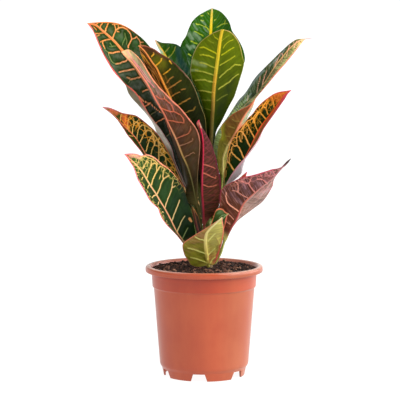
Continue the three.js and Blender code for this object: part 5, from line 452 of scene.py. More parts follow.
        0.23, -6.09, 139.34, 1.13, -6.19, 139.56, 2.04, -6.3, 139.79, 2.94, -6.41, 140.01, 3.84, -6.51, 140.24,
        -1.21, -9.93, 143.82, -0.37, -10.03, 144.05, 0.47, -10.13, 144.28, 1.31, -10.23, 144.51, 2.14, -10.33, 144.73,
        -2.75, -13.04, 148.64, -2.04, -13.12, 148.86, -1.32, -13.21, 149.07, -0.61, -13.29, 149.29, 0.1, -13.38, 149.51,
        -3.43, -13.79, 153.25, -2.69, -14.03, 151.88, -1.95, -14.04, 150.62, -1.28, -14.03, 152.03, -0.63, -13.79, 153.54,
        -4.48, -14.36, 154.69, -3.53, -14.71, 153.39, -2.61, -14.83, 152.2, -1.83, -14.72, 153.68, -1.07, -14.36, 155.28,
        -5.53, -14.89, 156.12, -4.39, -15.35, 154.92, -3.27, -15.57, 153.81, -2.38, -15.36, 155.35, -1.51, -14.89, 157.01,
        -6.57, -15.36, 157.55, -5.24, -15.92, 156.45, -3.92, -16.22, 155.44, -2.93, -15.94, 157.04, -1.95, -15.36, 158.73,
        -7.62, -15.77, 158.97, -6.07, -16.42, 157.99, -4.54, -16.79, 157.09, -3.46, -16.43, 158.72, -2.39, -15.77, 160.44,
        -8.46, -16.11, 160.48, -6.78, -16.84, 159.58, -5.12, -17.27, 158.77, -3.97, -16.85, 160.42, -2.83, -16.11, 162.15,
        -8.91, -16.47, 162.18, -7.29, -17.26, 161.3, -5.69, -17.74, 160.48, -4.41, -17.28, 162.14, -3.17, -16.47, 163.88,
        -9.37, -16.83, 163.89, -7.79, -17.66, 163.03, -6.24, -18.2, 162.23, -4.86, -17.69, 163.88, -3.5, -16.83, 165.61,
        -9.82, -17.15, 165.59, -8.29, -18.01, 164.77, -6.77, -18.58, 164, -5.29, -18.05, 165.63, -3.84, -17.15, 167.33,
        -10.27, -17.39, 167.28, -8.77, -18.27, 166.51, -7.27, -18.86, 165.78, -5.72, -18.31, 167.39, -4.17, -17.39, 169.04,
        -10.72, -17.5, 168.95, -9.24, -18.39, 168.25, -7.75, -18.99, 167.56, -6.14, -18.44, 169.14, -4.54, -17.5, 170.73,
        -11.02, -17.5, 170.65, -9.61, -18.39, 170, -8.19, -19, 169.36, -6.57, -18.44, 170.87, -4.95, -17.5, 172.39,
        -11.32, -17.53, 172.35, -9.96, -18.4, 171.76, -8.6, -19, 171.17, -6.98, -18.45, 172.61, -5.36, -17.53, 174.06,
        -11.62, -17.57, 174.05, -10.3, -18.41, 173.52, -8.98, -19, 172.99, -7.38, -18.46, 174.36, -5.78, -17.57, 175.73,
        -11.91, -17.64, 175.75, -10.64, -18.44, 175.29, -9.36, -19, 174.82, -7.77, -18.49, 176.11, -6.19, -17.64, 177.4,
        -12.21, -17.73, 177.45, -10.98, -18.48, 177.05, -9.74, -19, 176.65, -8.2, -18.53, 177.86, -6.65, -17.73, 179.06,
        -12.51, -17.84, 179.16, -11.33, -18.53, 178.82, -10.14, -19, 178.47, -8.8, -18.57, 179.53, -7.45, -17.84, 180.58,
        -12.82, -17.96, 180.86, -11.7, -18.57, 180.58, -10.57, -18.98, 180.28, -9.41, -18.59, 181.2, -8.25, -17.96, 182.11,
        -13.13, -18.02, 182.56, -12.07, -18.54, 182.33, -11.01, -18.88, 182.08, -10.03, -18.55, 182.86, -9.05, -18.02, 183.63,
        -13.44, -18.03, 184.25, -12.45, -18.46, 184.08, -11.47, -18.71, 183.88, -10.66, -18.46, 184.52, -9.85, -18.03, 185.14,
        -13.75, -18.03, 185.94, -12.84, -18.34, 185.82, -11.93, -18.5, 185.68, -11.38, -18.32, 186.11, -10.83, -18.03, 186.54,
        -13.35, -18.01, 187.6, -12.88, -18.17, 187.54, -12.41, -18.26, 187.47, -12.14, -18.16, 187.68, -11.86, -18.01, 187.89,
        -13.23, -18, 189.16, -13.06, -18, 189.21, -12.89, -18, 189.25, -12.73, -18, 189.3, -12.56, -18, 189.34,],
    "leaf_back_upper": [
        8.57, 6.44, 178.43, 7.64, 6.32, 178.37, 6.72, 6.2, 178.32, 5.79, 6.08, 178.26, 4.86, 5.96, 178.21,
        6.75, 14.51, 188.54, 5.92, 14.39, 188.47, 5.08, 14.28, 188.4, 4.25, 14.17, 188.33, 3.42, 14.05, 188.26,
        4.45, 20.96, 199.76, 3.71, 20.86, 199.68, 2.97, 20.76, 199.59, 2.23, 20.65, 199.51, 1.49, 20.55, 199.43,
        7.35, 24.68, 207.27, 4.55, 24.09, 207.06, 1.7, 24.12, 206.56, -1.1, 23.35, 206.44, -3.94, 23.21, 206.02,
        9.24, 27.61, 214.77, 4.95, 26.88, 214.39, 0.59, 27.11, 213.62, -3.66, 25.82, 213.47, -7.99, 25.5, 212.93,
        10.39, 29.97, 222.4, 4.98, 29.25, 221.84, -0.52, 29.77, 220.83, -5.84, 27.98, 220.66, -11.26, 27.42, 220.04,
        11.06, 31.92, 229.99, 4.79, 31.33, 229.33, -1.6, 32.2, 228.18, -7.73, 29.93, 228.07, -13.99, 29.12, 227.48,
        11.45, 33.61, 237.42, 4.52, 33.25, 236.77, -2.53, 34.5, 235.61, -9.28, 31.82, 235.7, -16.15, 30.76, 235.27,
        11.68, 35.19, 244.65, 4.29, 35.13, 244.13, -3.23, 36.79, 243.05, -10.38, 33.77, 243.47, -17.68, 32.46, 243.34,
        11.88, 37.2, 251.83, 4.2, 37.28, 251.43, -3.63, 39.15, 250.45, -11.06, 35.98, 251.1, -18.63, 34.6, 251.17,
        11.85, 39.48, 259.14, 4.02, 39.58, 258.79, -3.95, 41.5, 257.87, -11.52, 38.29, 258.58, -19.22, 36.9, 258.71,
        11.55, 41.77, 266.46, 3.73, 41.88, 266.17, -4.22, 43.82, 265.31, -11.78, 40.63, 266.06, -19.47, 39.26, 266.23,
        11.03, 44.06, 273.74, 3.37, 44.2, 273.52, -4.43, 46.13, 272.76, -11.83, 43.02, 273.55, -19.38, 41.69, 273.79,
        10.31, 46.38, 280.98, 2.95, 46.54, 280.86, -4.55, 48.41, 280.21, -11.68, 45.45, 281.05, -18.93, 44.2, 281.37,
        9.44, 48.71, 288.17, 2.5, 48.89, 288.17, -4.57, 50.69, 287.66, -11.29, 47.92, 288.55, -18.12, 46.78, 288.95,
        8.47, 51.22, 295.34, 2.07, 51.35, 295.45, -4.46, 52.96, 295.12, -10.66, 50.51, 296.01, -16.98, 49.56, 296.45,
        7.41, 54, 302.51, 1.65, 53.94, 302.74, -4.22, 55.22, 302.58, -9.83, 53.23, 303.39, -15.54, 52.58, 303.8,
        6.17, 56.71, 309.79, 1.18, 56.51, 310.08, -3.9, 57.46, 310.04, -8.78, 55.91, 310.73, -13.75, 55.53, 311.08,
        4.73, 59.29, 317.1, 0.64, 59, 317.44, -3.52, 59.66, 317.5, -7.53, 58.54, 318.07, -11.63, 58.37, 318.37,
        3.14, 61.7, 324.44, 0.11, 61.4, 324.8, -2.99, 61.81, 324.96, -5.99, 61.1, 325.43, -9.05, 61.1, 325.71,
        1.48, 63.96, 331.97, -0.33, 63.73, 332.25, -2.17, 63.92, 332.42, -3.96, 63.57, 332.73, -5.79, 63.65, 332.93,
        -0.84, 66.01, 339.83, -1.01, 65.99, 339.86, -1.19, 66, 339.88, -1.36, 65.97, 339.91, -1.54, 65.99, 339.93,],
    "leaf_back_upper_left": [
        0.54, 7.04, 174.65, -0.14, 6.42, 174.84, -0.82, 5.8, 175.02, -1.5, 5.18, 175.2, -2.18, 4.56, 175.39,
        -3.93, 14.39, 183.82, -4.52, 13.79, 183.94, -5.1, 13.2, 184.06, -5.69, 12.61, 184.18, -6.28, 12.01, 184.3,
        -9.21, 20, 193.67, -9.71, 19.43, 193.72, -10.2, 18.87, 193.76, -10.69, 18.3, 193.81, -11.18, 17.74, 193.86,
        -9.39, 25.86, 199.31, -11.09, 23.56, 199.52, -13.22, 21.61, 199.34, -14.75, 19.16, 199.71, -16.71, 17.07, 199.68,
        -9.97, 30.48, 205.07, -12.71, 27.11, 205.32, -16.13, 24.28, 204.98, -18.34, 20.48, 205.7, -21.23, 17.22, 205.83,
        -10.64, 34.4, 210.93, -14.29, 30.34, 211.16, -18.8, 26.98, 210.69, -21.42, 22.1, 211.77, -24.9, 17.92, 212.14,
        -11.51, 37.8, 217.03, -15.91, 33.3, 217.16, -21.33, 29.62, 216.49, -24.13, 23.83, 217.88, -27.95, 18.86, 218.47,
        -12.58, 40.76, 223.26, -17.61, 36.02, 223.24, -23.78, 32.21, 222.36, -26.61, 25.68, 224.05, -30.57, 20.08, 224.86,
        -13.89, 43.39, 229.57, -19.44, 38.59, 229.38, -26.2, 34.77, 228.26, -28.93, 27.69, 230.22, -32.87, 21.58, 231.27,
        -15.73, 46.15, 235.68, -21.56, 41.24, 235.4, -28.64, 37.35, 234.14, -31.38, 29.94, 236.26, -35.37, 23.55, 237.4,
        -18.03, 48.94, 241.62, -23.94, 43.93, 241.31, -31.13, 39.95, 239.99, -33.92, 32.41, 242.15, -37.98, 25.91, 243.31,
        -20.6, 51.55, 247.46, -26.5, 46.55, 247.14, -33.67, 42.56, 245.81, -36.45, 35.04, 247.97, -40.5, 28.54, 249.12,
        -23.35, 53.94, 253.19, -29.14, 49.05, 252.91, -36.19, 45.17, 251.65, -38.92, 37.8, 253.76, -42.89, 31.43, 254.9,
        -26.18, 56.09, 258.84, -31.79, 51.43, 258.64, -38.61, 47.74, 257.53, -41.23, 40.65, 259.55, -45.07, 34.54, 260.67,
        -29.07, 58.04, 264.51, -34.38, 53.68, 264.4, -40.86, 50.27, 263.49, -43.33, 43.58, 265.39, -46.96, 37.84, 266.48,
        -32.13, 60.02, 270.19, -37.01, 55.96, 270.22, -42.96, 52.77, 269.52, -45.33, 46.65, 271.24, -48.77, 41.4, 272.23,
        -35.5, 62.12, 275.87, -39.74, 58.29, 276.05, -44.95, 55.25, 275.61, -47.3, 49.86, 277.02, -50.61, 45.26, 277.8,
        -38.92, 63.92, 281.74, -42.46, 60.44, 282.01, -46.84, 57.65, 281.77, -49.05, 53.07, 282.85, -52.1, 49.19, 283.41,
        -42.37, 65.33, 287.8, -45.14, 62.34, 288.09, -48.61, 59.93, 287.99, -50.56, 56.25, 288.75, -53.21, 53.16, 289.11,
        -45.82, 66.29, 294.03, -47.78, 63.96, 294.29, -50.28, 62.07, 294.28, -51.84, 59.39, 294.76, -53.92, 57.15, 294.97,
        -49.29, 66.73, 300.44, -50.4, 65.28, 300.63, -51.84, 64.09, 300.66, -52.83, 62.53, 300.9, -54.14, 61.24, 300.99,
        -53.05, 66.26, 307.07, -53.15, 66.12, 307.09, -53.28, 66, 307.1, -53.38, 65.86, 307.12, -53.52, 65.74, 307.13,],
    "leaf_back_right": [
        9.39, 4.02, 169.8, 8.72, 4.66, 169.65, 8.04, 5.3, 169.5, 7.37, 5.94, 169.35, 6.7, 6.58, 169.2,
        13.08, 10.52, 179.67, 12.48, 11.09, 179.53, 11.87, 11.66, 179.39, 11.27, 12.23, 179.25, 10.66, 12.8, 179.11,
        17.1, 17.53, 189.04, 16.55, 18.03, 188.91, 16.01, 18.53, 188.78, 15.47, 19.03, 188.65, 14.93, 19.53, 188.53,
        21.43, 18.34, 194.18, 19.54, 19.94, 193.85, 18.02, 21.83, 193.14, 15.95, 23.28, 193.01, 14.24, 25.02, 192.5,
        24.85, 19.48, 199.36, 22.15, 22.03, 198.75, 20.01, 25.04, 197.56, 16.74, 27.13, 197.53, 14.03, 29.67, 196.92,
        27.59, 20.92, 204.6, 24.43, 24.26, 203.68, 21.98, 28.16, 202.06, 17.75, 30.62, 202.21, 14.22, 33.64, 201.66,
        29.86, 22.64, 209.82, 26.49, 26.61, 208.6, 23.94, 31.25, 206.58, 18.93, 33.87, 206.98, 14.73, 37.16, 206.58,
        31.74, 24.56, 214.97, 28.38, 29.05, 213.49, 25.9, 34.28, 211.15, 20.29, 36.92, 211.84, 15.56, 40.29, 211.67,
        33.54, 26.72, 219.89, 30.24, 31.58, 218.27, 27.88, 37.23, 215.75, 21.88, 39.86, 216.68, 16.82, 43.27, 216.72,
        35.58, 29.15, 224.43, 32.24, 34.2, 222.87, 29.87, 40.06, 220.41, 23.74, 42.79, 221.41, 18.58, 46.33, 221.51,
        37.48, 31.72, 228.97, 34.18, 36.83, 227.5, 31.86, 42.77, 225.16, 25.73, 45.51, 226.19, 20.6, 49.08, 226.34,
        39.3, 34.52, 233.57, 36.1, 39.55, 232.19, 33.85, 45.38, 229.96, 27.88, 48.08, 231, 22.88, 51.6, 231.2,
        41.09, 37.61, 238.2, 38.03, 42.41, 236.89, 35.89, 47.98, 234.76, 30.21, 50.58, 235.79, 25.44, 53.95, 236.01,
        42.86, 41.01, 242.78, 40, 45.46, 241.54, 37.99, 50.62, 239.5, 32.72, 53.06, 240.5, 28.29, 56.21, 240.72,
        44.94, 44.83, 246.96, 42.18, 48.78, 245.92, 40.17, 53.36, 244.14, 35.51, 55.74, 244.95, 31.6, 58.75, 245.04,
        46.98, 48.88, 250.82, 44.39, 52.25, 250.09, 42.44, 56.16, 248.71, 38.52, 58.44, 249.3, 35.25, 61.27, 249.24,
        48.76, 52.95, 254.61, 46.5, 55.69, 254.22, 44.77, 58.87, 253.3, 41.68, 60.93, 253.71, 39.13, 63.43, 253.6,
        50.32, 57.03, 258.59, 48.54, 59.04, 258.47, 47.16, 61.39, 257.95, 44.97, 63.06, 258.22, 43.17, 65.07, 258.1,
        51.62, 61.21, 262.85, 50.5, 62.38, 262.86, 49.63, 63.76, 262.65, 48.39, 64.83, 262.79, 47.39, 66.11, 262.69,
        52.39, 65.73, 267.4, 52.27, 65.86, 267.41, 52.17, 66, 267.39, 52.04, 66.12, 267.4, 51.94, 66.27, 267.39,],
    "leaf_back_middle": [
        4.77, 7.37, 153.57, 3.87, 7.14, 153.62, 2.96, 6.9, 153.67, 2.06, 6.66, 153.72, 1.15, 6.43, 153.77,
        3.59, 12.34, 159.24, 2.78, 12.12, 159.27, 1.96, 11.9, 159.31, 1.15, 11.69, 159.34, 0.34, 11.47, 159.38,
        2.17, 17.41, 164.75, 1.45, 17.2, 164.77, 0.73, 17, 164.79, 0, 16.79, 164.81, -0.72, 16.58, 164.82,
        6.53, 21.79, 168.06, 3.28, 20.6, 168.26, -0.13, 19.96, 167.86, -3.31, 18.57, 168.28, -6.67, 17.73, 168.1,
        9.07, 25.53, 171.64, 4.12, 23.83, 171.73, -1.09, 22.95, 170.9, -5.85, 20.64, 171.65, -10.87, 19.16, 171.49,
        10.66, 28.87, 175.31, 4.44, 26.9, 175.18, -2.1, 25.97, 173.89, -7.97, 22.87, 175.03, -14.15, 20.8, 175.01,
        11.59, 31.89, 178.98, 4.42, 29.85, 178.59, -3.13, 29, 176.86, -9.77, 25.25, 178.42, -16.77, 22.67, 178.65,
        11.95, 34.73, 182.68, 4.1, 32.75, 181.98, -4.15, 32.05, 179.81, -11.27, 27.74, 181.79, -18.79, 24.7, 182.3,
        11.76, 37.67, 186.22, 3.49, 35.72, 185.26, -5.19, 35.11, 182.74, -12.6, 30.41, 185.01, -20.43, 27.04, 185.71,
        11.09, 40.91, 189.28, 2.62, 38.88, 188.27, -6.27, 38.2, 185.63, -13.87, 33.38, 187.97, -21.89, 29.91, 188.68,
        9.97, 44.13, 192.2, 1.51, 42.06, 191.16, -7.37, 41.32, 188.47, -14.98, 36.52, 190.83, -23, 33.05, 191.54,
        8.42, 47.34, 194.98, 0.16, 45.28, 193.93, -8.49, 44.48, 191.25, -15.93, 39.8, 193.57, -23.77, 36.39, 194.26,
        6.45, 50.52, 197.61, -1.42, 48.51, 196.59, -9.66, 47.69, 193.98, -16.76, 43.23, 196.21, -24.24, 39.96, 196.87,
        4.13, 53.63, 200.06, -3.19, 51.75, 199.1, -10.84, 50.94, 196.64, -17.47, 46.84, 198.77, -24.44, 43.82, 199.4,
        1.52, 56.94, 201.96, -5.11, 55.13, 201.28, -12.03, 54.25, 199.22, -18.13, 50.74, 201.05, -24.52, 48.16, 201.51,
        -1.41, 60.31, 203.61, -7.18, 58.59, 203.25, -13.2, 57.65, 201.68, -18.61, 54.8, 203.11, -24.27, 52.72, 203.32,
        -4.71, 63.61, 205.32, -9.44, 62.05, 205.19, -14.37, 61.12, 204.06, -18.89, 58.87, 205.05, -23.6, 57.25, 205.03,
        -8.44, 66.72, 207.13, -11.95, 65.42, 207.15, -15.6, 64.58, 206.41, -19.01, 62.95, 206.98, -22.55, 61.77, 206.8,
        -12.66, 69.48, 209.03, -14.74, 68.62, 209.11, -16.91, 68.04, 208.73, -18.96, 67.08, 208.97, -21.09, 66.4, 208.76,
        -17.95, 71.62, 211.02, -18.11, 71.55, 211.03, -18.28, 71.5, 211, -18.44, 71.43, 211.02, -18.6, 71.38, 210.99,],
    "leaf_back_low_left": [
        -0.15, 6.51, 142.53, -0.81, 5.86, 142.62, -1.48, 5.2, 142.71, -2.14, 4.54, 142.8, -2.8, 3.89, 142.89,
        -4.76, 11.76, 148.92, -5.36, 11.17, 149.01, -5.97, 10.59, 149.1, -6.57, 10, 149.18, -7.17, 9.42, 149.27,
        -9.39, 17.31, 155, -9.93, 16.8, 155.09, -10.47, 16.29, 155.18, -11.01, 15.78, 155.26, -11.56, 15.27, 155.35,
        -8.53, 23.23, 157.85, -10.53, 21.23, 158.35, -12.88, 19.49, 158.31, -14.74, 17.37, 159.05, -16.93, 15.51, 159.25,
        -8.57, 28.26, 161.17, -11.69, 25.27, 161.7, -15.32, 22.69, 161.42, -17.99, 19.34, 162.68, -21.17, 16.4, 163.12,
        -9.31, 32.68, 164.89, -13.25, 28.98, 165.23, -17.84, 25.79, 164.56, -20.93, 21.41, 166.25, -24.66, 17.54, 166.92,
        -10.6, 36.56, 168.86, -15.16, 32.36, 168.88, -20.46, 28.76, 167.73, -23.72, 23.51, 169.81, -27.72, 18.86, 170.72,
        -12.29, 39.9, 172.86, -17.33, 35.44, 172.53, -23.19, 31.64, 170.91, -26.45, 25.75, 173.38, -30.53, 20.53, 174.57,
        -14.33, 42.93, 176.58, -19.71, 38.36, 176.02, -25.95, 34.48, 174.1, -29.2, 28.21, 176.87, -33.32, 22.62, 178.3,
        -16.71, 45.92, 179.77, -22.26, 41.27, 179.22, -28.69, 37.32, 177.3, -32.05, 30.91, 180.17, -36.3, 25.22, 181.66,
        -19.32, 48.73, 182.89, -24.91, 44.11, 182.39, -31.38, 40.2, 180.5, -34.77, 33.82, 183.41, -39.05, 28.15, 184.94,
        -22.25, 51.42, 186.04, -27.71, 46.91, 185.56, -34.05, 43.1, 183.72, -37.36, 36.85, 186.56, -41.55, 31.31, 188.05,
        -25.49, 53.96, 189.22, -30.69, 49.63, 188.73, -36.72, 45.97, 186.95, -39.85, 39.97, 189.63, -43.82, 34.65, 191.02,
        -29.06, 56.33, 192.43, -33.85, 52.24, 191.91, -39.41, 48.79, 190.21, -42.26, 43.14, 192.61, -45.89, 38.12, 193.82,
        -33.03, 58.65, 195.35, -37.24, 54.78, 194.97, -42.16, 51.5, 193.52, -44.79, 46.36, 195.45, -48.15, 41.81, 196.32,
        -37.2, 60.67, 198.08, -40.76, 57.15, 197.94, -44.93, 54.13, 196.88, -47.4, 49.73, 198.36, -50.49, 45.83, 198.91,
        -41.43, 62.36, 200.71, -44.32, 59.4, 200.83, -47.7, 56.84, 200.17, -49.93, 53.34, 201.3, -52.66, 50.25, 201.67,
        -45.78, 63.93, 203.34, -47.93, 61.69, 203.62, -50.43, 59.73, 203.3, -52.25, 57.24, 204.1, -54.44, 55.04, 204.31,
        -50.38, 65.34, 206.13, -51.65, 63.99, 206.41, -53.13, 62.8, 206.32, -54.31, 61.38, 206.76, -55.69, 60.12, 206.83,
        -55.56, 66.24, 209.21, -55.67, 66.11, 209.24, -55.81, 66, 209.24, -55.92, 65.87, 209.28, -56.06, 65.76, 209.28,],
    "leaf_back_low_right": [
        10.66, 3.25, 147.51, 10.02, 3.92, 147.39, 9.39, 4.6, 147.26, 8.75, 5.28, 147.13, 8.11, 5.95, 147.01,
        14.53, 8.54, 154.91, 13.95, 9.15, 154.8, 13.38, 9.75, 154.68, 12.8, 10.36, 154.56, 12.23, 10.97, 154.45,
        18.14, 13.74, 162.51, 17.63, 14.27, 162.4, 17.11, 14.81, 162.3, 16.6, 15.35, 162.19, 16.09, 15.89, 162.08,
        21.53, 14.03, 166.71, 20.01, 15.47, 166.48, 18.81, 17.16, 165.93, 17.12, 18.48, 165.86, 15.76, 20.05, 165.47,
        24.38, 14.64, 171.01, 22.2, 16.91, 170.52, 20.49, 19.54, 169.55, 17.81, 21.43, 169.55, 15.62, 23.69, 169.07,
        26.75, 15.73, 175.3, 24.18, 18.63, 174.51, 22.21, 21.99, 173.11, 18.71, 24.21, 173.26, 15.82, 26.87, 172.8,
        28.81, 17.2, 179.54, 26.04, 20.6, 178.43, 23.95, 24.51, 176.6, 19.8, 26.88, 176.95, 16.32, 29.76, 176.58,
        30.58, 19.01, 183.69, 27.78, 22.78, 182.26, 25.71, 27.1, 180.03, 21.03, 29.49, 180.62, 17.1, 32.42, 180.41,
        32.29, 21.14, 187.61, 29.49, 25.15, 185.95, 27.47, 29.73, 183.45, 22.45, 32.09, 184.2, 18.21, 35.03, 184.11,
        34.2, 23.62, 191.18, 31.31, 27.7, 189.45, 29.22, 32.37, 186.85, 24.06, 34.77, 187.59, 19.69, 37.76, 187.47,
        35.98, 26.39, 194.68, 33.06, 30.43, 192.89, 30.93, 35.06, 190.23, 25.74, 37.42, 190.94, 21.35, 40.38, 190.77,
        37.57, 29.37, 197.97, 34.7, 33.3, 196.21, 32.61, 37.81, 193.59, 27.54, 40.11, 194.26, 23.23, 42.98, 194.09,
        38.97, 32.37, 201.01, 36.27, 36.18, 199.38, 34.31, 40.53, 196.95, 29.49, 42.77, 197.64, 25.41, 45.56, 197.53,
        40.28, 35.38, 203.91, 37.83, 39, 202.51, 36.07, 43.15, 200.35, 31.62, 45.29, 201.07, 27.87, 47.95, 201.04,
        41.87, 38.55, 206.68, 39.55, 41.85, 205.6, 37.88, 45.63, 203.85, 33.95, 47.73, 204.44, 30.67, 50.3, 204.37,
        43.49, 41.9, 209.45, 41.34, 44.76, 208.71, 39.74, 48.02, 207.39, 36.46, 50.05, 207.82, 33.74, 52.48, 207.68,
        45.02, 45.35, 212.23, 43.15, 47.69, 211.8, 41.72, 50.36, 210.88, 39.17, 52.19, 211.2, 37.06, 54.36, 211.03,
        46.5, 48.91, 214.98, 45.04, 50.66, 214.81, 43.91, 52.63, 214.26, 42.13, 54.14, 214.47, 40.66, 55.87, 214.31,
        47.92, 52.64, 217.82, 47.02, 53.68, 217.81, 46.31, 54.85, 217.57, 45.32, 55.82, 217.68, 44.51, 56.92, 217.55,
        49.1, 56.72, 220.83, 48.98, 56.85, 220.83, 48.88, 57, 220.81, 48.77, 57.13, 220.82, 48.67, 57.28, 220.8,],
    "leaf_back_low": [
        6.74, 7.19, 131.21, 5.8, 7.19, 131.22, 4.86, 7.2, 131.24, 3.92, 7.21, 131.26, 2.99, 7.21, 131.27,
        6.65, 11.87, 135.15, 5.81, 11.87, 135.16, 4.97, 11.88, 135.18, 4.12, 11.88, 135.19, 3.28, 11.88, 135.2,
        6.51, 16.78, 138.73, 5.76, 16.78, 138.74, 5.01, 16.78, 138.74, 4.26, 16.78, 138.75, 3.51, 16.78, 138.76,
        11.8, 20.24, 141.28, 8.41, 20.09, 141.51, 5.01, 20.36, 141.05, 1.62, 20.05, 141.55, -1.77, 20.16, 141.36,
        15.15, 23.67, 144.02, 10.08, 23.57, 144.16, 5, 24.06, 143.24, -0.07, 23.49, 144.21, -5.14, 23.53, 144.11,
        17.38, 27.22, 146.75, 11.18, 27.21, 146.66, 4.97, 27.84, 145.22, -1.21, 27.09, 146.69, -7.41, 26.98, 146.81,
        18.73, 31.07, 149.35, 11.83, 31.08, 148.91, 4.93, 31.72, 146.92, -1.95, 30.76, 148.87, -8.84, 30.43, 149.26,
        19.31, 35.36, 151.33, 12.05, 35.25, 150.71, 4.78, 35.72, 148.42, -2.47, 34.64, 150.58, -9.72, 34.14, 151.06,
        19.24, 39.68, 152.73, 11.91, 39.48, 152.09, 4.57, 39.79, 149.72, -2.76, 38.74, 151.93, -10.08, 38.2, 152.41,
        18.58, 43.96, 153.82, 11.46, 43.7, 153.19, 4.34, 43.9, 150.87, -2.77, 42.87, 153.02, -9.88, 42.3, 153.49,
        17.32, 48.37, 154.76, 10.69, 48.05, 154.18, 4.06, 48.05, 152, -2.56, 47.22, 154.05, -9.19, 46.7, 154.52,
        15.63, 52.76, 154.73, 9.71, 52.46, 154.34, 3.8, 52.24, 152.5, -2.12, 51.81, 154.31, -8.03, 51.46, 154.68,
        13.55, 56.97, 153.9, 8.58, 56.74, 153.81, 3.6, 56.51, 152.51, -1.38, 56.28, 153.81, -6.36, 56.05, 153.9,
        10.96, 61.19, 153.2, 7.18, 61.01, 153.31, 3.4, 60.77, 152.52, -0.38, 60.65, 153.33, -4.16, 60.46, 153.23,
        7.75, 65.21, 152.04, 5.47, 65.13, 152.22, 3.19, 64.92, 151.87, 0.91, 64.9, 152.26, -1.37, 64.74, 152.12,
        3.31, 69.02, 150.36, 3.14, 69.02, 150.39, 2.96, 69, 150.37, 2.79, 69, 150.39, 2.62, 68.98, 150.37,],
}

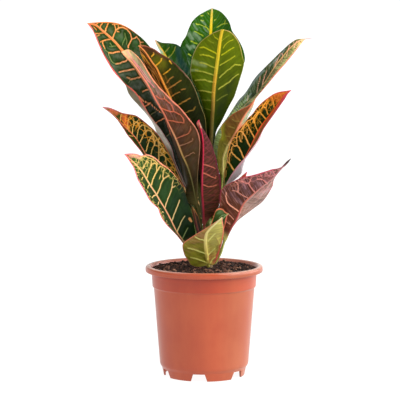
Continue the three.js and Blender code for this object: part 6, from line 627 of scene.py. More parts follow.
# Vein lines: (class, width mm, [(row position 0..1, across -1..1), ...]); classes 1 to 3 are veins, class 4 strokes
# feed the first tint layer and class 5 strokes the second
VEINS = {
    "leaf_upper_left": [
        (1, 1.64, [(0.862, 0.05), (0.864, 0.183), (0.866, 0.317), (0.866, 0.433), (0.869, 0.55)]),
        (1, 1.42, [(0.869, 0.55), (0.874, 0.65), (0.881, 0.75), (0.888, 0.85), (0.893, 0.933)]),
        (1, 1.64, [(0.869, 0.583), (0.866, 0.683), (0.864, 0.783), (0.859, 0.85), (0.854, 0.9), (0.845, 0.9), (0.835, 0.917), (0.828, 0.883), (0.821, 0.867), (0.811, 0.817), (0.804, 0.767), (0.8, 0.733), (0.792, 0.7)]),
        (1, 1.2, [(0.862, 0.55), (0.854, 0.583)]),
        (1, 0.98, [(0.866, 0.767), (0.871, 0.85), (0.878, 0.967)]),
        (1, 1.53, [(0.78, 0.3), (0.785, 0.383), (0.788, 0.483), (0.79, 0.567), (0.792, 0.633), (0.795, 0.717), (0.79, 0.767), (0.788, 0.817), (0.788, 0.917)]),
        (1, 0.98, [(0.785, 0.9), (0.778, 0.883), (0.773, 0.883), (0.761, 0.833), (0.757, 0.8), (0.749, 0.75)]),
        (1, 1.09, [(0.761, 0.833), (0.754, 0.917)]),
        (1, 0.98, [(0.754, 0.667), (0.749, 0.767), (0.742, 0.833), (0.735, 0.9)]),
        (2, 0.76, [(0.807, 0.183), (0.811, 0.267), (0.814, 0.367), (0.816, 0.467), (0.819, 0.567), (0.826, 0.633), (0.833, 0.7)]),
        (2, 0.76, [(0.795, 0.35), (0.8, 0.433), (0.807, 0.5), (0.814, 0.55), (0.821, 0.6)]),
        (1, 1.74, [(0.909, 0.1), (0.909, 0.25), (0.912, 0.417), (0.912, 0.6), (0.914, 0.75), (0.916, 0.917)]),
        (1, 1.42, [(0.938, 0.05), (0.938, 0.283), (0.94, 0.5), (0.938, 0.733), (0.938, 0.967)]),
        (1, 1.2, [(0.962, -0.017), (0.959, 0.467), (0.957, 0.833)]),
        (1, 0.87, [(0.897, 0.85), (0.893, 0.867), (0.885, 0.867), (0.881, 0.933), (0.876, 1)]),
        (1, 1.53, [(0.869, -0.067), (0.874, -0.15), (0.878, -0.25), (0.883, -0.383), (0.888, -0.517), (0.883, -0.65), (0.871, -0.667), (0.859, -0.7)]),
        (1, 0.87, [(0.89, -0.55), (0.895, -0.767)]),
        (2, 0.76, [(0.859, -0.7), (0.85, -0.733), (0.84, -0.667), (0.831, -0.617)]),
        (1, 1.74, [(0.797, -0.133), (0.802, -0.2), (0.807, -0.283), (0.811, -0.367), (0.814, -0.45), (0.821, -0.533), (0.831, -0.633)]),
        (2, 1.09, [(0.831, -0.633), (0.826, -0.7), (0.819, -0.717), (0.811, -0.733), (0.804, -0.75), (0.797, -0.767), (0.785, -0.733), (0.778, -0.667), (0.773, -0.617)]),
        (1, 1.31, [(0.745, -0.067), (0.747, -0.133), (0.752, -0.217), (0.757, -0.3), (0.761, -0.4), (0.766, -0.5), (0.773, -0.617)]),
        (1, 1.2, [(0.692, -0.05), (0.699, -0.1), (0.706, -0.167), (0.714, -0.267), (0.721, -0.367), (0.728, -0.467), (0.733, -0.55), (0.74, -0.717)]),
        (1, 1.2, [(0.642, 0), (0.649, -0.05), (0.654, -0.083), (0.659, -0.133), (0.666, -0.183), (0.673, -0.25), (0.683, -0.3), (0.695, -0.383)]),
        (2, 0.87, [(0.673, -0.283), (0.673, -0.383)]),
        (1, 1.09, [(0.568, 0.017), (0.575, -0.033), (0.582, -0.067), (0.587, -0.117), (0.589, -0.15), (0.597, -0.15)]),
        (1, 0.98, [(0.912, -0.083), (0.919, -0.233), (0.926, -0.433), (0.933, -0.6), (0.94, -0.8)]),
        (1, 0.98, [(0.919, -0.467), (0.926, -0.783)]),
        (2, 0.87, [(0.857, -0.233), (0.85, -0.25), (0.84, -0.267), (0.833, -0.183), (0.828, -0.1)]),
        (2, 0.76, [(0.847, -0.383), (0.84, -0.317), (0.835, -0.233)]),
        (1, 1.53, [(0.523, -0.183), (0.525, -0.233), (0.527, -0.283), (0.53, -0.333), (0.53, -0.4)]),
        (1, 0.98, [(0.523, -0.183), (0.511, -0.167), (0.501, -0.15), (0.492, -0.133), (0.482, -0.117), (0.47, -0.083), (0.461, -0.067), (0.453, -0.033), (0.446, -0.017)]),
        (2, 0.87, [(0.475, -0.15), (0.477, -0.233), (0.48, -0.3), (0.482, -0.4)]),
        (1, 1.42, [(0.427, 0), (0.427, -0.067), (0.425, -0.117), (0.427, -0.183), (0.427, -0.267), (0.427, -0.35)]),
        (2, 0.98, [(0.353, -0.033), (0.351, -0.067), (0.346, -0.133)]),
        (1, 0.76, [(0.501, -0.017), (0.501, -0.05)]),
        (1, 1.09, [(0.611, -0.267), (0.599, -0.267), (0.589, -0.267), (0.578, -0.283), (0.566, -0.283), (0.554, -0.283), (0.544, -0.25), (0.535, -0.233), (0.527, -0.2), (0.523, -0.167)]),
        (1, 0.87, [(0.621, -0.3), (0.609, -0.3), (0.597, -0.317), (0.585, -0.317), (0.573, -0.333), (0.561, -0.35)]),
        (1, 0.87, [(0.945, -0.417), (0.957, -0.417), (0.967, -0.35)]),
        (4, 3.82, [(0.78, 0.683), (0.771, 0.667), (0.761, 0.65)]),
        (4, 5.45, [(0.852, 0.367), (0.842, 0.35), (0.833, 0.35), (0.821, 0.35)]),
        (3, 1.2, [(0.723, -1), (0.716, -0.933), (0.711, -0.783), (0.675, -0.5), (0.666, -0.5), (0.656, -0.5), (0.647, -0.5), (0.637, -0.5), (0.625, -0.5), (0.613, -0.5), (0.604, -0.5), (0.592, -0.5), (0.578, -0.5), (0.566, -0.5), (0.554, -0.5), (0.539, -0.5), (0.525, -0.5), (0.513, -0.5), (0.501, -0.5), (0.492, -0.5), (0.482, -0.5)]),],
    "leaf_mid_left_front": [
        (1, 1.42, [(0.654, 0), (0.64, 0.067), (0.63, 0.2), (0.621, 0.3), (0.611, 0.4), (0.601, 0.483), (0.597, 0.55), (0.592, 0.617), (0.599, 0.7), (0.609, 0.733), (0.618, 0.767)]),
        (1, 1.09, [(0.618, 0.767), (0.625, 0.767), (0.635, 0.783), (0.642, 0.767), (0.652, 0.767), (0.659, 0.733), (0.668, 0.7), (0.678, 0.783)]),
        (1, 0.98, [(0.709, 0.267), (0.699, 0.333), (0.69, 0.383), (0.678, 0.517), (0.668, 0.7)]),
        (1, 0.98, [(0.594, 0.65), (0.58, 0.717), (0.57, 0.75), (0.561, 0.8), (0.551, 0.8), (0.542, 0.817), (0.53, 0.783)]),
        (1, 1.42, [(0.539, 0.817), (0.527, 0.783), (0.518, 0.717)]),
        (1, 1.2, [(0.57, 0.083), (0.561, 0.217), (0.554, 0.333), (0.544, 0.433), (0.535, 0.533), (0.527, 0.633), (0.518, 0.717)]),
        (1, 1.09, [(0.465, -0.05), (0.463, 0.1), (0.463, 0.233), (0.463, 0.333), (0.463, 0.45), (0.461, 0.55), (0.461, 0.65), (0.468, 0.75), (0.473, 0.8)]),
        (2, 0.76, [(0.473, 0.8), (0.48, 0.833), (0.487, 0.867)]),
        (2, 1.09, [(0.42, 0.067), (0.42, 0.2), (0.418, 0.333), (0.418, 0.45), (0.418, 0.583), (0.418, 0.65), (0.42, 0.7), (0.427, 0.717)]),
        (2, 1.09, [(0.353, 0.05), (0.356, 0.233), (0.356, 0.4), (0.36, 0.517), (0.363, 0.633), (0.353, 0.717)]),
        (3, 1.64, [(0.969, 0.867), (0.957, 0.633), (0.947, 0.5), (0.936, 0.4), (0.928, 0.333), (0.919, 0.283), (0.909, 0.25), (0.895, 0.233), (0.878, 0.267), (0.866, 0.267), (0.852, 0.317), (0.84, 0.333), (0.828, 0.35), (0.814, 0.367), (0.8, 0.367), (0.788, 0.433), (0.773, 0.517), (0.759, 0.55), (0.745, 0.583)]),
        (3, 0.87, [(0.916, 0.367), (0.905, 0.367), (0.895, 0.35), (0.883, 0.367), (0.869, 0.433), (0.857, 0.467), (0.842, 0.533), (0.831, 0.55), (0.819, 0.55), (0.807, 0.55), (0.797, 0.567), (0.785, 0.617), (0.776, 0.633)]),
        (4, 3.49, [(0.945, 0.967), (0.938, 0.85), (0.928, 0.75), (0.916, 0.683), (0.907, 0.6), (0.893, 0.583), (0.881, 0.55), (0.866, 0.55), (0.854, 0.55), (0.842, 0.55), (0.831, 0.55), (0.819, 0.55), (0.807, 0.55)]),
        (5, 6.54, [(0.995, 1), (0.983, 0.583), (0.971, 0.483), (0.959, 0.417), (0.95, 0.367)]),],
    "leaf_centre_left": [
        (1, 1.42, [(0.964, -1), (0.955, -1), (0.943, -0.883), (0.928, -0.783), (0.912, -0.7)]),
        (1, 1.2, [(0.94, -0.567), (0.931, -0.517), (0.919, -0.467), (0.907, -0.417), (0.893, -0.367), (0.878, -0.317)]),
        (1, 0.98, [(0.952, -0.883), (0.938, -0.717), (0.926, -0.6)]),
        (2, 0.98, [(0.874, -0.7), (0.862, -0.65), (0.852, -0.6), (0.84, -0.55), (0.831, -0.5), (0.821, -0.467)]),
        (2, 1.2, [(0.823, -0.717), (0.811, -0.65), (0.797, -0.6), (0.785, -0.55), (0.771, -0.467), (0.754, -0.4), (0.737, -0.333), (0.726, -0.267), (0.711, -0.217)]),
        (1, 1.09, [(0.9, -1), (0.885, -1), (0.871, -1), (0.854, -0.95), (0.84, -0.883), (0.826, -0.95)]),
        (1, 1.31, [(0.907, 0.267), (0.907, 0.433), (0.907, 0.6), (0.912, 0.65)]),
        (1, 1.64, [(0.854, 0.1), (0.854, 0.25), (0.854, 0.383), (0.854, 0.517), (0.857, 0.633), (0.862, 0.717)]),
        (1, 1.31, [(0.788, 0.2), (0.788, 0.317), (0.788, 0.417), (0.788, 0.533), (0.79, 0.65)]),
        (2, 1.09, [(0.737, 0.133), (0.742, 0.25), (0.747, 0.367), (0.747, 0.45), (0.747, 0.55)]),
        (2, 1.2, [(0.704, 0.05), (0.706, 0.167), (0.706, 0.283), (0.706, 0.4), (0.709, 0.517), (0.709, 0.6), (0.709, 0.7)]),
        (2, 1.31, [(0.656, 0.033), (0.659, 0.133), (0.661, 0.233), (0.661, 0.333), (0.659, 0.433)]),
        (2, 1.09, [(0.666, 0.517), (0.663, 0.6), (0.661, 0.667)]),
        (2, 1.42, [(0.601, 0.2), (0.601, 0.3), (0.604, 0.4), (0.604, 0.517), (0.606, 0.6), (0.606, 0.7)]),
        (2, 1.2, [(0.544, 0.333), (0.544, 0.417), (0.547, 0.517), (0.544, 0.583), (0.542, 0.667), (0.547, 0.717), (0.554, 0.783)]),
        (1, 1.42, [(0.823, 0.9), (0.816, 0.883), (0.807, 0.867)]),
        (4, 4.36, [(0.988, 0.5), (0.976, 0.55), (0.962, 0.6), (0.95, 0.65), (0.938, 0.717), (0.926, 0.733), (0.914, 0.767), (0.902, 0.8), (0.89, 0.833), (0.876, 0.85), (0.862, 0.833), (0.847, 0.833)]),
        (5, 9.81, [(0.871, 0.433), (0.859, 0.433), (0.845, 0.45), (0.831, 0.467)]),],
    "leaf_centre_front": [
        (1, 1.09, [(0.926, -0.217), (0.928, -0.383), (0.928, -0.55), (0.933, -0.717), (0.938, -0.883)]),
        (2, 1.09, [(0.893, -0.4), (0.89, -0.533), (0.89, -0.65), (0.89, -0.783)]),
        (1, 1.64, [(0.838, -0.067), (0.84, -0.167), (0.84, -0.267), (0.842, -0.4), (0.842, -0.517), (0.842, -0.617), (0.842, -0.717), (0.835, -0.783), (0.828, -0.867)]),
        (1, 1.42, [(0.809, -0.167), (0.807, -0.267), (0.807, -0.383), (0.804, -0.467), (0.802, -0.55), (0.8, -0.633), (0.795, -0.683), (0.79, -0.733)]),
        (1, 1.64, [(0.752, -0.017), (0.752, -0.117), (0.752, -0.217), (0.754, -0.317), (0.754, -0.433), (0.754, -0.5), (0.752, -0.583), (0.749, -0.667)]),
        (1, 1.31, [(0.704, 0), (0.706, -0.1), (0.706, -0.217), (0.706, -0.3), (0.706, -0.383), (0.706, -0.45), (0.704, -0.55), (0.702, -0.633), (0.699, -0.717), (0.697, -0.8)]),
        (1, 1.74, [(0.661, 0.033), (0.661, -0.067), (0.659, -0.183), (0.659, -0.3), (0.661, -0.4), (0.656, -0.5), (0.652, -0.617), (0.644, -0.733), (0.637, -0.85)]),
        (1, 1.74, [(0.597, 0.017), (0.597, -0.083), (0.594, -0.183), (0.592, -0.3), (0.589, -0.45), (0.587, -0.583), (0.578, -0.767), (0.568, -0.967)]),
        (2, 1.42, [(0.547, -0.05), (0.542, -0.217), (0.537, -0.383), (0.527, -0.617), (0.516, -0.9)]),
        (2, 1.09, [(0.484, -0.067), (0.482, -0.283), (0.477, -0.533), (0.47, -0.8)]),
        (2, 1.31, [(0.921, 0.1), (0.926, 0.217), (0.931, 0.367), (0.936, 0.517), (0.938, 0.7)]),
        (1, 1.09, [(0.874, 0.217), (0.888, 0.283), (0.895, 0.383), (0.9, 0.483), (0.902, 0.633), (0.902, 0.783)]),
        (1, 1.31, [(0.831, 0.15), (0.835, 0.217), (0.838, 0.3), (0.845, 0.383), (0.85, 0.483), (0.854, 0.6), (0.859, 0.717)]),
        (1, 1.2, [(0.768, 0.117), (0.773, 0.183), (0.778, 0.267), (0.785, 0.35), (0.792, 0.45), (0.797, 0.533), (0.802, 0.617), (0.807, 0.7)]),
        (1, 1.42, [(0.69, 0.167), (0.702, 0.217), (0.711, 0.283), (0.718, 0.333), (0.726, 0.383), (0.733, 0.433), (0.737, 0.5), (0.745, 0.55), (0.752, 0.6), (0.759, 0.667), (0.754, 0.75), (0.752, 0.817), (0.749, 0.883)]),
        (1, 1.42, [(0.618, 0.2), (0.628, 0.283), (0.635, 0.367), (0.644, 0.45), (0.652, 0.55), (0.659, 0.6), (0.668, 0.65), (0.678, 0.7), (0.685, 0.75), (0.692, 0.8), (0.697, 0.867)]),
        (2, 1.09, [(0.547, 0.183), (0.554, 0.267), (0.561, 0.333), (0.568, 0.4), (0.575, 0.517), (0.582, 0.617)]),
        (4, 4.36, [(0.74, -0.933), (0.74, -0.833), (0.74, -0.733), (0.742, -0.633), (0.745, -0.55), (0.747, -0.45)]),
        (4, 2.18, [(0.69, -0.95), (0.695, -0.867), (0.699, -0.783), (0.704, -0.7)]),
        (5, 8.72, [(0.666, 0.683), (0.652, 0.667), (0.637, 0.65), (0.623, 0.633), (0.606, 0.617), (0.592, 0.6), (0.578, 0.567), (0.563, 0.567), (0.549, 0.55), (0.535, 0.55), (0.518, 0.55), (0.504, 0.533), (0.487, 0.533), (0.473, 0.517)]),],
    "leaf_top_back": [
        (1, 1.2, [(0.876, -0.1), (0.883, -0.217), (0.883, -0.3), (0.881, -0.367), (0.881, -0.5), (0.881, -0.633), (0.878, -0.717), (0.878, -0.8)]),
        (1, 0.87, [(0.866, -0.067), (0.874, -0.117), (0.878, -0.183), (0.885, -0.25), (0.893, -0.317)]),
        (1, 1.09, [(0.831, -0.333), (0.833, -0.45), (0.835, -0.567), (0.838, -0.65), (0.838, -0.733)]),
        (1, 1.64, [(0.928, -0.9), (0.936, -0.783)]),
        (1, 1.31, [(0.907, -0.7), (0.907, -0.6), (0.909, -0.517)]),
        (1, 1.2, [(0.964, -0.683), (0.959, -0.4)]),
        (1, 1.31, [(0.876, -0.767), (0.878, -0.683), (0.881, -0.617)]),
        (2, 1.09, [(0.866, -0.6), (0.866, -0.5)]),
        (1, 1.31, [(0.783, -0.75), (0.783, -0.683), (0.78, -0.617), (0.78, -0.567), (0.78, -0.5)]),
        (1, 1.64, [(0.714, -0.7), (0.709, -0.617)]),
        (1, 1.2, [(0.883, 0.333), (0.885, 0.45), (0.888, 0.55), (0.888, 0.65), (0.888, 0.75), (0.885, 0.833), (0.883, 0.917)]),
        (1, 1.42, [(0.888, 0.75), (0.895, 0.8), (0.902, 0.867)]),
        (1, 1.31, [(0.926, 0.233), (0.926, 0.35)]),
        (2, 0.98, [(0.893, -1), (0.895, -0.967), (0.897, -0.85)]),
        (2, 0.87, [(0.897, -0.483), (0.895, -0.367), (0.895, -0.233), (0.893, -0.117)]),
        (2, 0.87, [(0.854, -0.517), (0.852, -0.4), (0.85, -0.283), (0.845, -0.183), (0.842, -0.067)]),
        (4, 4.14, [(0.814, -0.933), (0.807, -0.85), (0.797, -0.75)]),
        (4, 4.58, [(0.823, -0.7), (0.819, -0.633), (0.814, -0.55), (0.809, -0.483)]),
        (4, 2.83, [(0.752, -0.817), (0.747, -0.75), (0.74, -0.7)]),
        (4, 3.49, [(0.752, -0.667), (0.757, -0.617), (0.759, -0.567)]),
        (4, 4.91, [(0.685, -0.833), (0.678, -0.783), (0.668, -0.733)]),
        (4, 2.4, [(0.905, -0.617), (0.9, -0.483), (0.895, -0.35)]),
        (4, 2.18, [(0.874, -0.35), (0.866, -0.25), (0.862, -0.133)]),
        (4, 2.18, [(0.869, -0.9), (0.862, -0.817), (0.854, -0.733), (0.85, -0.65)]),
        (5, 8.72, [(0.625, -0.85), (0.64, -0.85), (0.654, -0.833), (0.666, -0.833), (0.68, -0.833), (0.692, -0.85), (0.704, -0.85), (0.718, -0.85)]),],
    "leaf_small_back_left": [
        (1, 1.09, [(0.902, 0.15), (0.902, 0.283), (0.902, 0.417), (0.902, 0.65)]),
        (1, 1.2, [(0.862, 0.083), (0.859, 0.233), (0.859, 0.383), (0.862, 0.517), (0.864, 0.65), (0.869, 0.733), (0.871, 0.833)]),
        (2, 0.87, [(0.938, 0.317), (0.936, 0.533), (0.936, 0.733)]),
        (2, 0.87, [(0.907, 0.95), (0.895, 0.9), (0.883, 0.883)]),
        (4, 4.36, [(0.986, -0.9), (0.967, -0.867), (0.95, -0.933), (0.938, -0.867), (0.926, -0.783), (0.914, -0.683)]),
        (5, 7.63, [(0.85, 0.783), (0.835, 0.717), (0.823, 0.667), (0.811, 0.633), (0.797, 0.6), (0.78, 0.617), (0.761, 0.667), (0.742, 0.717), (0.723, 0.767)]),],
    "leaf_right_long": [
        (1, 1.09, [(0.606, -0.05), (0.618, -0.117), (0.632, -0.2), (0.642, -0.233), (0.654, -0.3), (0.666, -0.35), (0.678, -0.417), (0.687, -0.483)]),
        (1, 0.87, [(0.554, -0.067), (0.566, -0.15), (0.578, -0.217), (0.589, -0.283), (0.599, -0.333), (0.611, -0.383), (0.621, -0.45), (0.632, -0.533), (0.642, -0.617)]),
        (1, 1.31, [(0.721, -0.017), (0.733, -0.083), (0.745, -0.183), (0.757, -0.233), (0.768, -0.317), (0.78, -0.4), (0.792, -0.55), (0.804, -0.733)]),
        (1, 1.09, [(0.771, 0.35), (0.783, 0.217), (0.792, 0.033), (0.8, -0.2), (0.809, -0.517)]),
        (1, 1.31, [(0.816, 0.5), (0.823, 0.333), (0.831, 0.133), (0.838, -0.083), (0.852, -0.283), (0.869, -0.583)]),
        (1, 1.09, [(0.874, 0.467), (0.881, 0.283), (0.89, 0.083), (0.897, -0.083), (0.909, -0.367)]),
        (2, 1.74, [(0.68, -0.633), (0.678, -0.45)]),
        (2, 0.87, [(0.695, -0.317), (0.704, -0.383), (0.716, -0.483), (0.728, -0.6)]),
        (1, 0.76, [(0.48, -0.15), (0.494, -0.267), (0.506, -0.367), (0.518, -0.483)]),
        (2, 0.87, [(0.561, -0.583), (0.57, -0.633), (0.582, -0.683), (0.594, -0.733)]),
        (4, 3.92, [(0.449, -0.717), (0.463, -0.7), (0.48, -0.7), (0.496, -0.75), (0.513, -0.8), (0.527, -0.833), (0.542, -0.85), (0.554, -0.833), (0.568, -0.833), (0.58, -0.817), (0.592, -0.767), (0.606, -0.767), (0.618, -0.75), (0.632, -0.767), (0.647, -0.733), (0.661, -0.7), (0.675, -0.683)]),
        (5, 4.91, [(0.434, -0.05), (0.446, -0.033), (0.461, -0.033), (0.475, -0.017), (0.487, 0.017), (0.504, -0.067), (0.518, -0.117), (0.532, -0.15), (0.547, -0.183), (0.563, -0.2), (0.578, -0.217), (0.592, -0.217), (0.604, -0.2), (0.618, -0.2), (0.632, -0.2), (0.644, -0.183), (0.659, -0.2), (0.671, -0.217), (0.683, -0.217), (0.697, -0.233)]),
        (4, 2.18, [(0.716, -0.517), (0.73, -0.5), (0.745, -0.467), (0.759, -0.433), (0.773, -0.417), (0.788, -0.417), (0.802, -0.433), (0.816, -0.467), (0.831, -0.5)]),
        (4, 2.4, [(0.477, -0.25), (0.494, -0.283), (0.513, -0.35), (0.53, -0.367)]),],
    "leaf_right_brown": [
        (2, 0.98, [(0.697, -0.75), (0.695, -0.633), (0.692, -0.517), (0.704, -0.333), (0.716, -0.133)]),
        (2, 0.87, [(0.508, -0.65), (0.518, -0.45), (0.525, -0.25)]),
        (2, 0.98, [(0.628, -0.25), (0.623, -0.4), (0.621, -0.533), (0.616, -0.667)]),
        (2, 0.87, [(0.439, 0.217), (0.434, -0.2), (0.432, -0.517)]),
        (4, 6.54, [(0.597, -0.983), (0.575, -0.95), (0.551, -0.95), (0.525, -1), (0.508, -0.967), (0.494, -0.9), (0.477, -0.817)]),
        (5, 6.54, [(0.668, -0.917), (0.647, -0.8), (0.625, -0.667), (0.604, -0.55), (0.58, -0.467), (0.556, -0.417), (0.532, -0.367), (0.508, -0.283)]),],
    "leaf_right_orange_veined": [
        (1, 1.53, [(0.372, -0.083), (0.387, -0.217), (0.401, -0.333), (0.413, -0.433), (0.427, -0.533), (0.432, -0.6), (0.439, -0.683)]),
        (1, 0.98, [(0.439, -0.683), (0.449, -0.717), (0.458, -0.767), (0.473, -0.817), (0.487, -0.883)]),
        (1, 1.09, [(0.439, -0.683), (0.432, -0.733), (0.427, -0.783), (0.434, -0.9), (0.444, -1)]),
        (1, 1.42, [(0.346, -0.233), (0.353, -0.4), (0.36, -0.55), (0.368, -0.633), (0.372, -0.717), (0.382, -0.817)]),
        (1, 0.98, [(0.382, -0.817), (0.365, -0.867), (0.351, -0.867), (0.337, -0.883), (0.32, -0.883), (0.303, -0.85)]),
        (1, 0.98, [(0.382, -0.817), (0.401, -0.85), (0.413, -0.867), (0.422, -0.867)]),
        (1, 1.64, [(0.263, -0.4), (0.274, -0.55), (0.284, -0.667), (0.294, -0.767), (0.301, -0.833), (0.31, -0.95)]),
        (1, 0.98, [(0.31, -0.95), (0.322, -0.967), (0.334, -0.983), (0.346, -0.967), (0.36, -0.967), (0.375, -0.967), (0.394, -0.95), (0.413, -0.967), (0.432, -0.983), (0.451, -1)]),
        (1, 1.74, [(0.465, 0), (0.477, -0.133), (0.489, -0.267), (0.499, -0.35), (0.508, -0.433), (0.518, -0.517), (0.525, -0.617), (0.532, -0.7), (0.537, -0.783), (0.539, -0.867)]),
        (1, 1.2, [(0.539, -0.867), (0.527, -0.95), (0.516, -0.933), (0.504, -0.917), (0.494, -0.883), (0.482, -0.867)]),
        (1, 0.98, [(0.504, -0.8), (0.489, -0.717), (0.475, -0.65), (0.473, -0.55)]),
        (1, 1.53, [(0.544, -0.033), (0.554, -0.167), (0.563, -0.317), (0.573, -0.467), (0.585, -0.617), (0.592, -0.717), (0.601, -0.833), (0.604, -0.933)]),
        (1, 0.98, [(0.604, -0.933), (0.589, -0.917), (0.575, -0.883), (0.563, -0.85), (0.551, -0.8), (0.535, -0.733)]),
        (1, 1.31, [(0.597, 0), (0.609, -0.167), (0.618, -0.317), (0.632, -0.467), (0.647, -0.6), (0.652, -0.717), (0.659, -0.833)]),
        (1, 1.31, [(0.711, -0.067), (0.714, -0.25), (0.716, -0.417), (0.718, -0.55), (0.723, -0.667), (0.714, -0.817)]),
        (1, 1.53, [(0.714, -0.817), (0.699, -0.833), (0.685, -0.85), (0.671, -0.833), (0.656, -0.817), (0.64, -0.85), (0.625, -0.917), (0.611, -0.933), (0.597, -0.95), (0.58, -0.933), (0.563, -0.917), (0.547, -0.9)]),
        (1, 1.09, [(0.714, -0.817), (0.721, -0.967)]),
        (1, 1.2, [(0.747, -0.167), (0.752, -0.267), (0.759, -0.367), (0.764, -0.483), (0.771, -0.583), (0.766, -0.75)]),
        (1, 1.09, [(0.771, -0.583), (0.785, -0.65), (0.797, -0.717), (0.809, -0.75), (0.821, -0.783)]),
        (1, 1.2, [(0.819, -0.167), (0.828, -0.317), (0.838, -0.45), (0.842, -0.583), (0.85, -0.717), (0.854, -0.95)]),
        (1, 0.87, [(0.475, -1), (0.48, -0.933), (0.487, -0.883)]),
        (1, 0.87, [(0.532, -0.75), (0.52, -0.717), (0.506, -0.667), (0.492, -0.617), (0.473, -0.633)]),
        (1, 0.76, [(0.597, 0.033), (0.618, 0.033), (0.637, 0.017), (0.659, -0.017), (0.666, -0.2), (0.673, -0.367)]),
        (1, 0.87, [(0.547, -0.567), (0.561, -0.633), (0.575, -0.683)]),
        (1, 0.98, [(0.284, -1), (0.27, -0.983), (0.255, -0.967), (0.241, -0.95), (0.227, -0.933), (0.21, -0.933), (0.193, -0.917), (0.177, -0.9), (0.158, -0.9), (0.138, -0.817)]),
        (1, 0.65, [(0.203, -0.817), (0.22, -0.833), (0.234, -0.85), (0.251, -0.883)]),
        (1, 1.31, [(0.749, -0.75), (0.768, -0.783), (0.785, -0.833), (0.8, -0.85), (0.814, -0.883), (0.826, -0.933)]),
        (1, 1.74, [(0.637, -0.65), (0.654, -0.7), (0.668, -0.733), (0.685, -0.767), (0.699, -0.767), (0.716, -0.75)]),
        (4, 2.83, [(0.642, -0.583), (0.659, -0.65), (0.673, -0.7), (0.687, -0.75), (0.702, -0.783), (0.718, -0.8)]),
        (4, 2.62, [(0.747, -0.733), (0.768, -0.767), (0.788, -0.817), (0.807, -0.817), (0.826, -0.833)]),
        (5, 7.09, [(0.859, -0.783), (0.874, -0.75), (0.89, -0.717), (0.905, -0.7), (0.921, -0.65), (0.936, -0.6), (0.952, -0.583)]),
        (5, 3.27, [(0.864, -0.3), (0.883, -0.267), (0.905, -0.2), (0.924, -0.15)]),],
    "leaf_centre_maroon": [
        (2, 0.87, [(0.697, 0.083), (0.687, 0.25), (0.675, 0.417), (0.663, 0.567), (0.649, 0.683)]),
        (1, 1.2, [(0.616, 0.05), (0.611, 0.217), (0.604, 0.383), (0.597, 0.517), (0.589, 0.65), (0.582, 0.733), (0.575, 0.817)]),
        (1, 1.42, [(0.544, 0.067), (0.535, 0.217), (0.525, 0.35), (0.516, 0.467), (0.506, 0.567), (0.501, 0.65), (0.494, 0.733), (0.511, 0.783)]),
        (1, 1.31, [(0.442, 0.067), (0.434, 0.2), (0.427, 0.317), (0.427, 0.433), (0.427, 0.533), (0.432, 0.65), (0.437, 0.767)]),
        (2, 1.09, [(0.296, 0.067), (0.296, 0.183), (0.296, 0.317), (0.296, 0.433), (0.296, 0.617), (0.296, 0.783)]),
        (2, 0.76, [(0.776, 0.033), (0.759, 0.233), (0.745, 0.417), (0.73, 0.55), (0.716, 0.65)]),
        (2, 0.76, [(0.826, 0.083), (0.811, 0.283), (0.8, 0.433), (0.788, 0.517), (0.776, 0.6)]),
        (2, 0.65, [(0.363, 0.1), (0.36, 0.217), (0.358, 0.317), (0.358, 0.433), (0.356, 0.55), (0.356, 0.65), (0.353, 0.767)]),
        (2, 0.65, [(0.22, 0.033), (0.22, 0.183), (0.22, 0.333), (0.217, 0.483), (0.22, 0.667), (0.22, 0.833)]),
        (4, 2.83, [(0.981, 0.4), (0.959, 0.383), (0.936, 0.25)]),
        (5, 1.64, [(0.959, -0.967), (0.974, -0.783), (0.988, -0.633)]),],
    "leaf_low_right_maroon": [
        (1, 1.74, [(0.368, -0.067), (0.372, -0.183), (0.375, -0.3), (0.377, -0.417), (0.379, -0.517), (0.384, -0.583), (0.387, -0.65), (0.401, -0.717), (0.413, -0.733), (0.425, -0.767), (0.439, -0.767), (0.451, -0.8)]),
        (1, 1.2, [(0.513, -0.05), (0.511, -0.15), (0.508, -0.25), (0.508, -0.35), (0.508, -0.45), (0.506, -0.517), (0.506, -0.6), (0.499, -0.65), (0.489, -0.7)]),
        (1, 1.2, [(0.513, -0.533), (0.525, -0.6), (0.535, -0.65), (0.554, -0.767), (0.561, -0.9), (0.558, -0.967)]),
        (1, 1.42, [(0.589, 0.033), (0.594, -0.067), (0.597, -0.167), (0.604, -0.3), (0.611, -0.45), (0.621, -0.6), (0.611, -0.65), (0.604, -0.7), (0.599, -0.783), (0.594, -0.867), (0.587, -0.9), (0.58, -0.933)]),
        (1, 1.2, [(0.621, -0.6), (0.644, -0.683), (0.656, -0.8)]),
        (1, 1.64, [(0.716, 0.133), (0.718, -0.117), (0.723, -0.317), (0.721, -0.433), (0.718, -0.533), (0.709, -0.6), (0.697, -0.65)]),
        (1, 0.98, [(0.289, -0.15), (0.296, -0.25), (0.301, -0.333), (0.305, -0.433), (0.31, -0.533), (0.308, -0.617)]),
        (1, 1.09, [(0.239, -0.217), (0.243, -0.4), (0.248, -0.55), (0.251, -0.683), (0.253, -0.8)]),
        (2, 1.42, [(0.759, -0.617), (0.771, -0.55), (0.783, -0.467)]),
        (2, 1.53, [(0.826, -0.633), (0.84, -0.5)]),
        (2, 1.31, [(0.847, -0.133), (0.862, -0.083)]),
        (2, 1.09, [(0.718, -0.8), (0.733, -0.783), (0.747, -0.767)]),
        (2, 0.87, [(0.618, -0.867), (0.632, -0.967)]),
        (2, 0.87, [(0.516, 0.117), (0.537, 0.133), (0.556, 0.167), (0.578, 0.183), (0.599, 0.2), (0.621, 0.217), (0.642, 0.233), (0.663, 0.267), (0.683, 0.333), (0.699, 0.4)]),
        (2, 0.76, [(0.425, 0.183), (0.449, 0.3), (0.475, 0.383), (0.499, 0.45), (0.52, 0.45), (0.542, 0.467), (0.563, 0.483), (0.582, 0.533)]),
        (2, 0.76, [(0.344, -0.017), (0.368, 0.217), (0.389, 0.383), (0.413, 0.517), (0.432, 0.583), (0.453, 0.633), (0.473, 0.667), (0.492, 0.7)]),
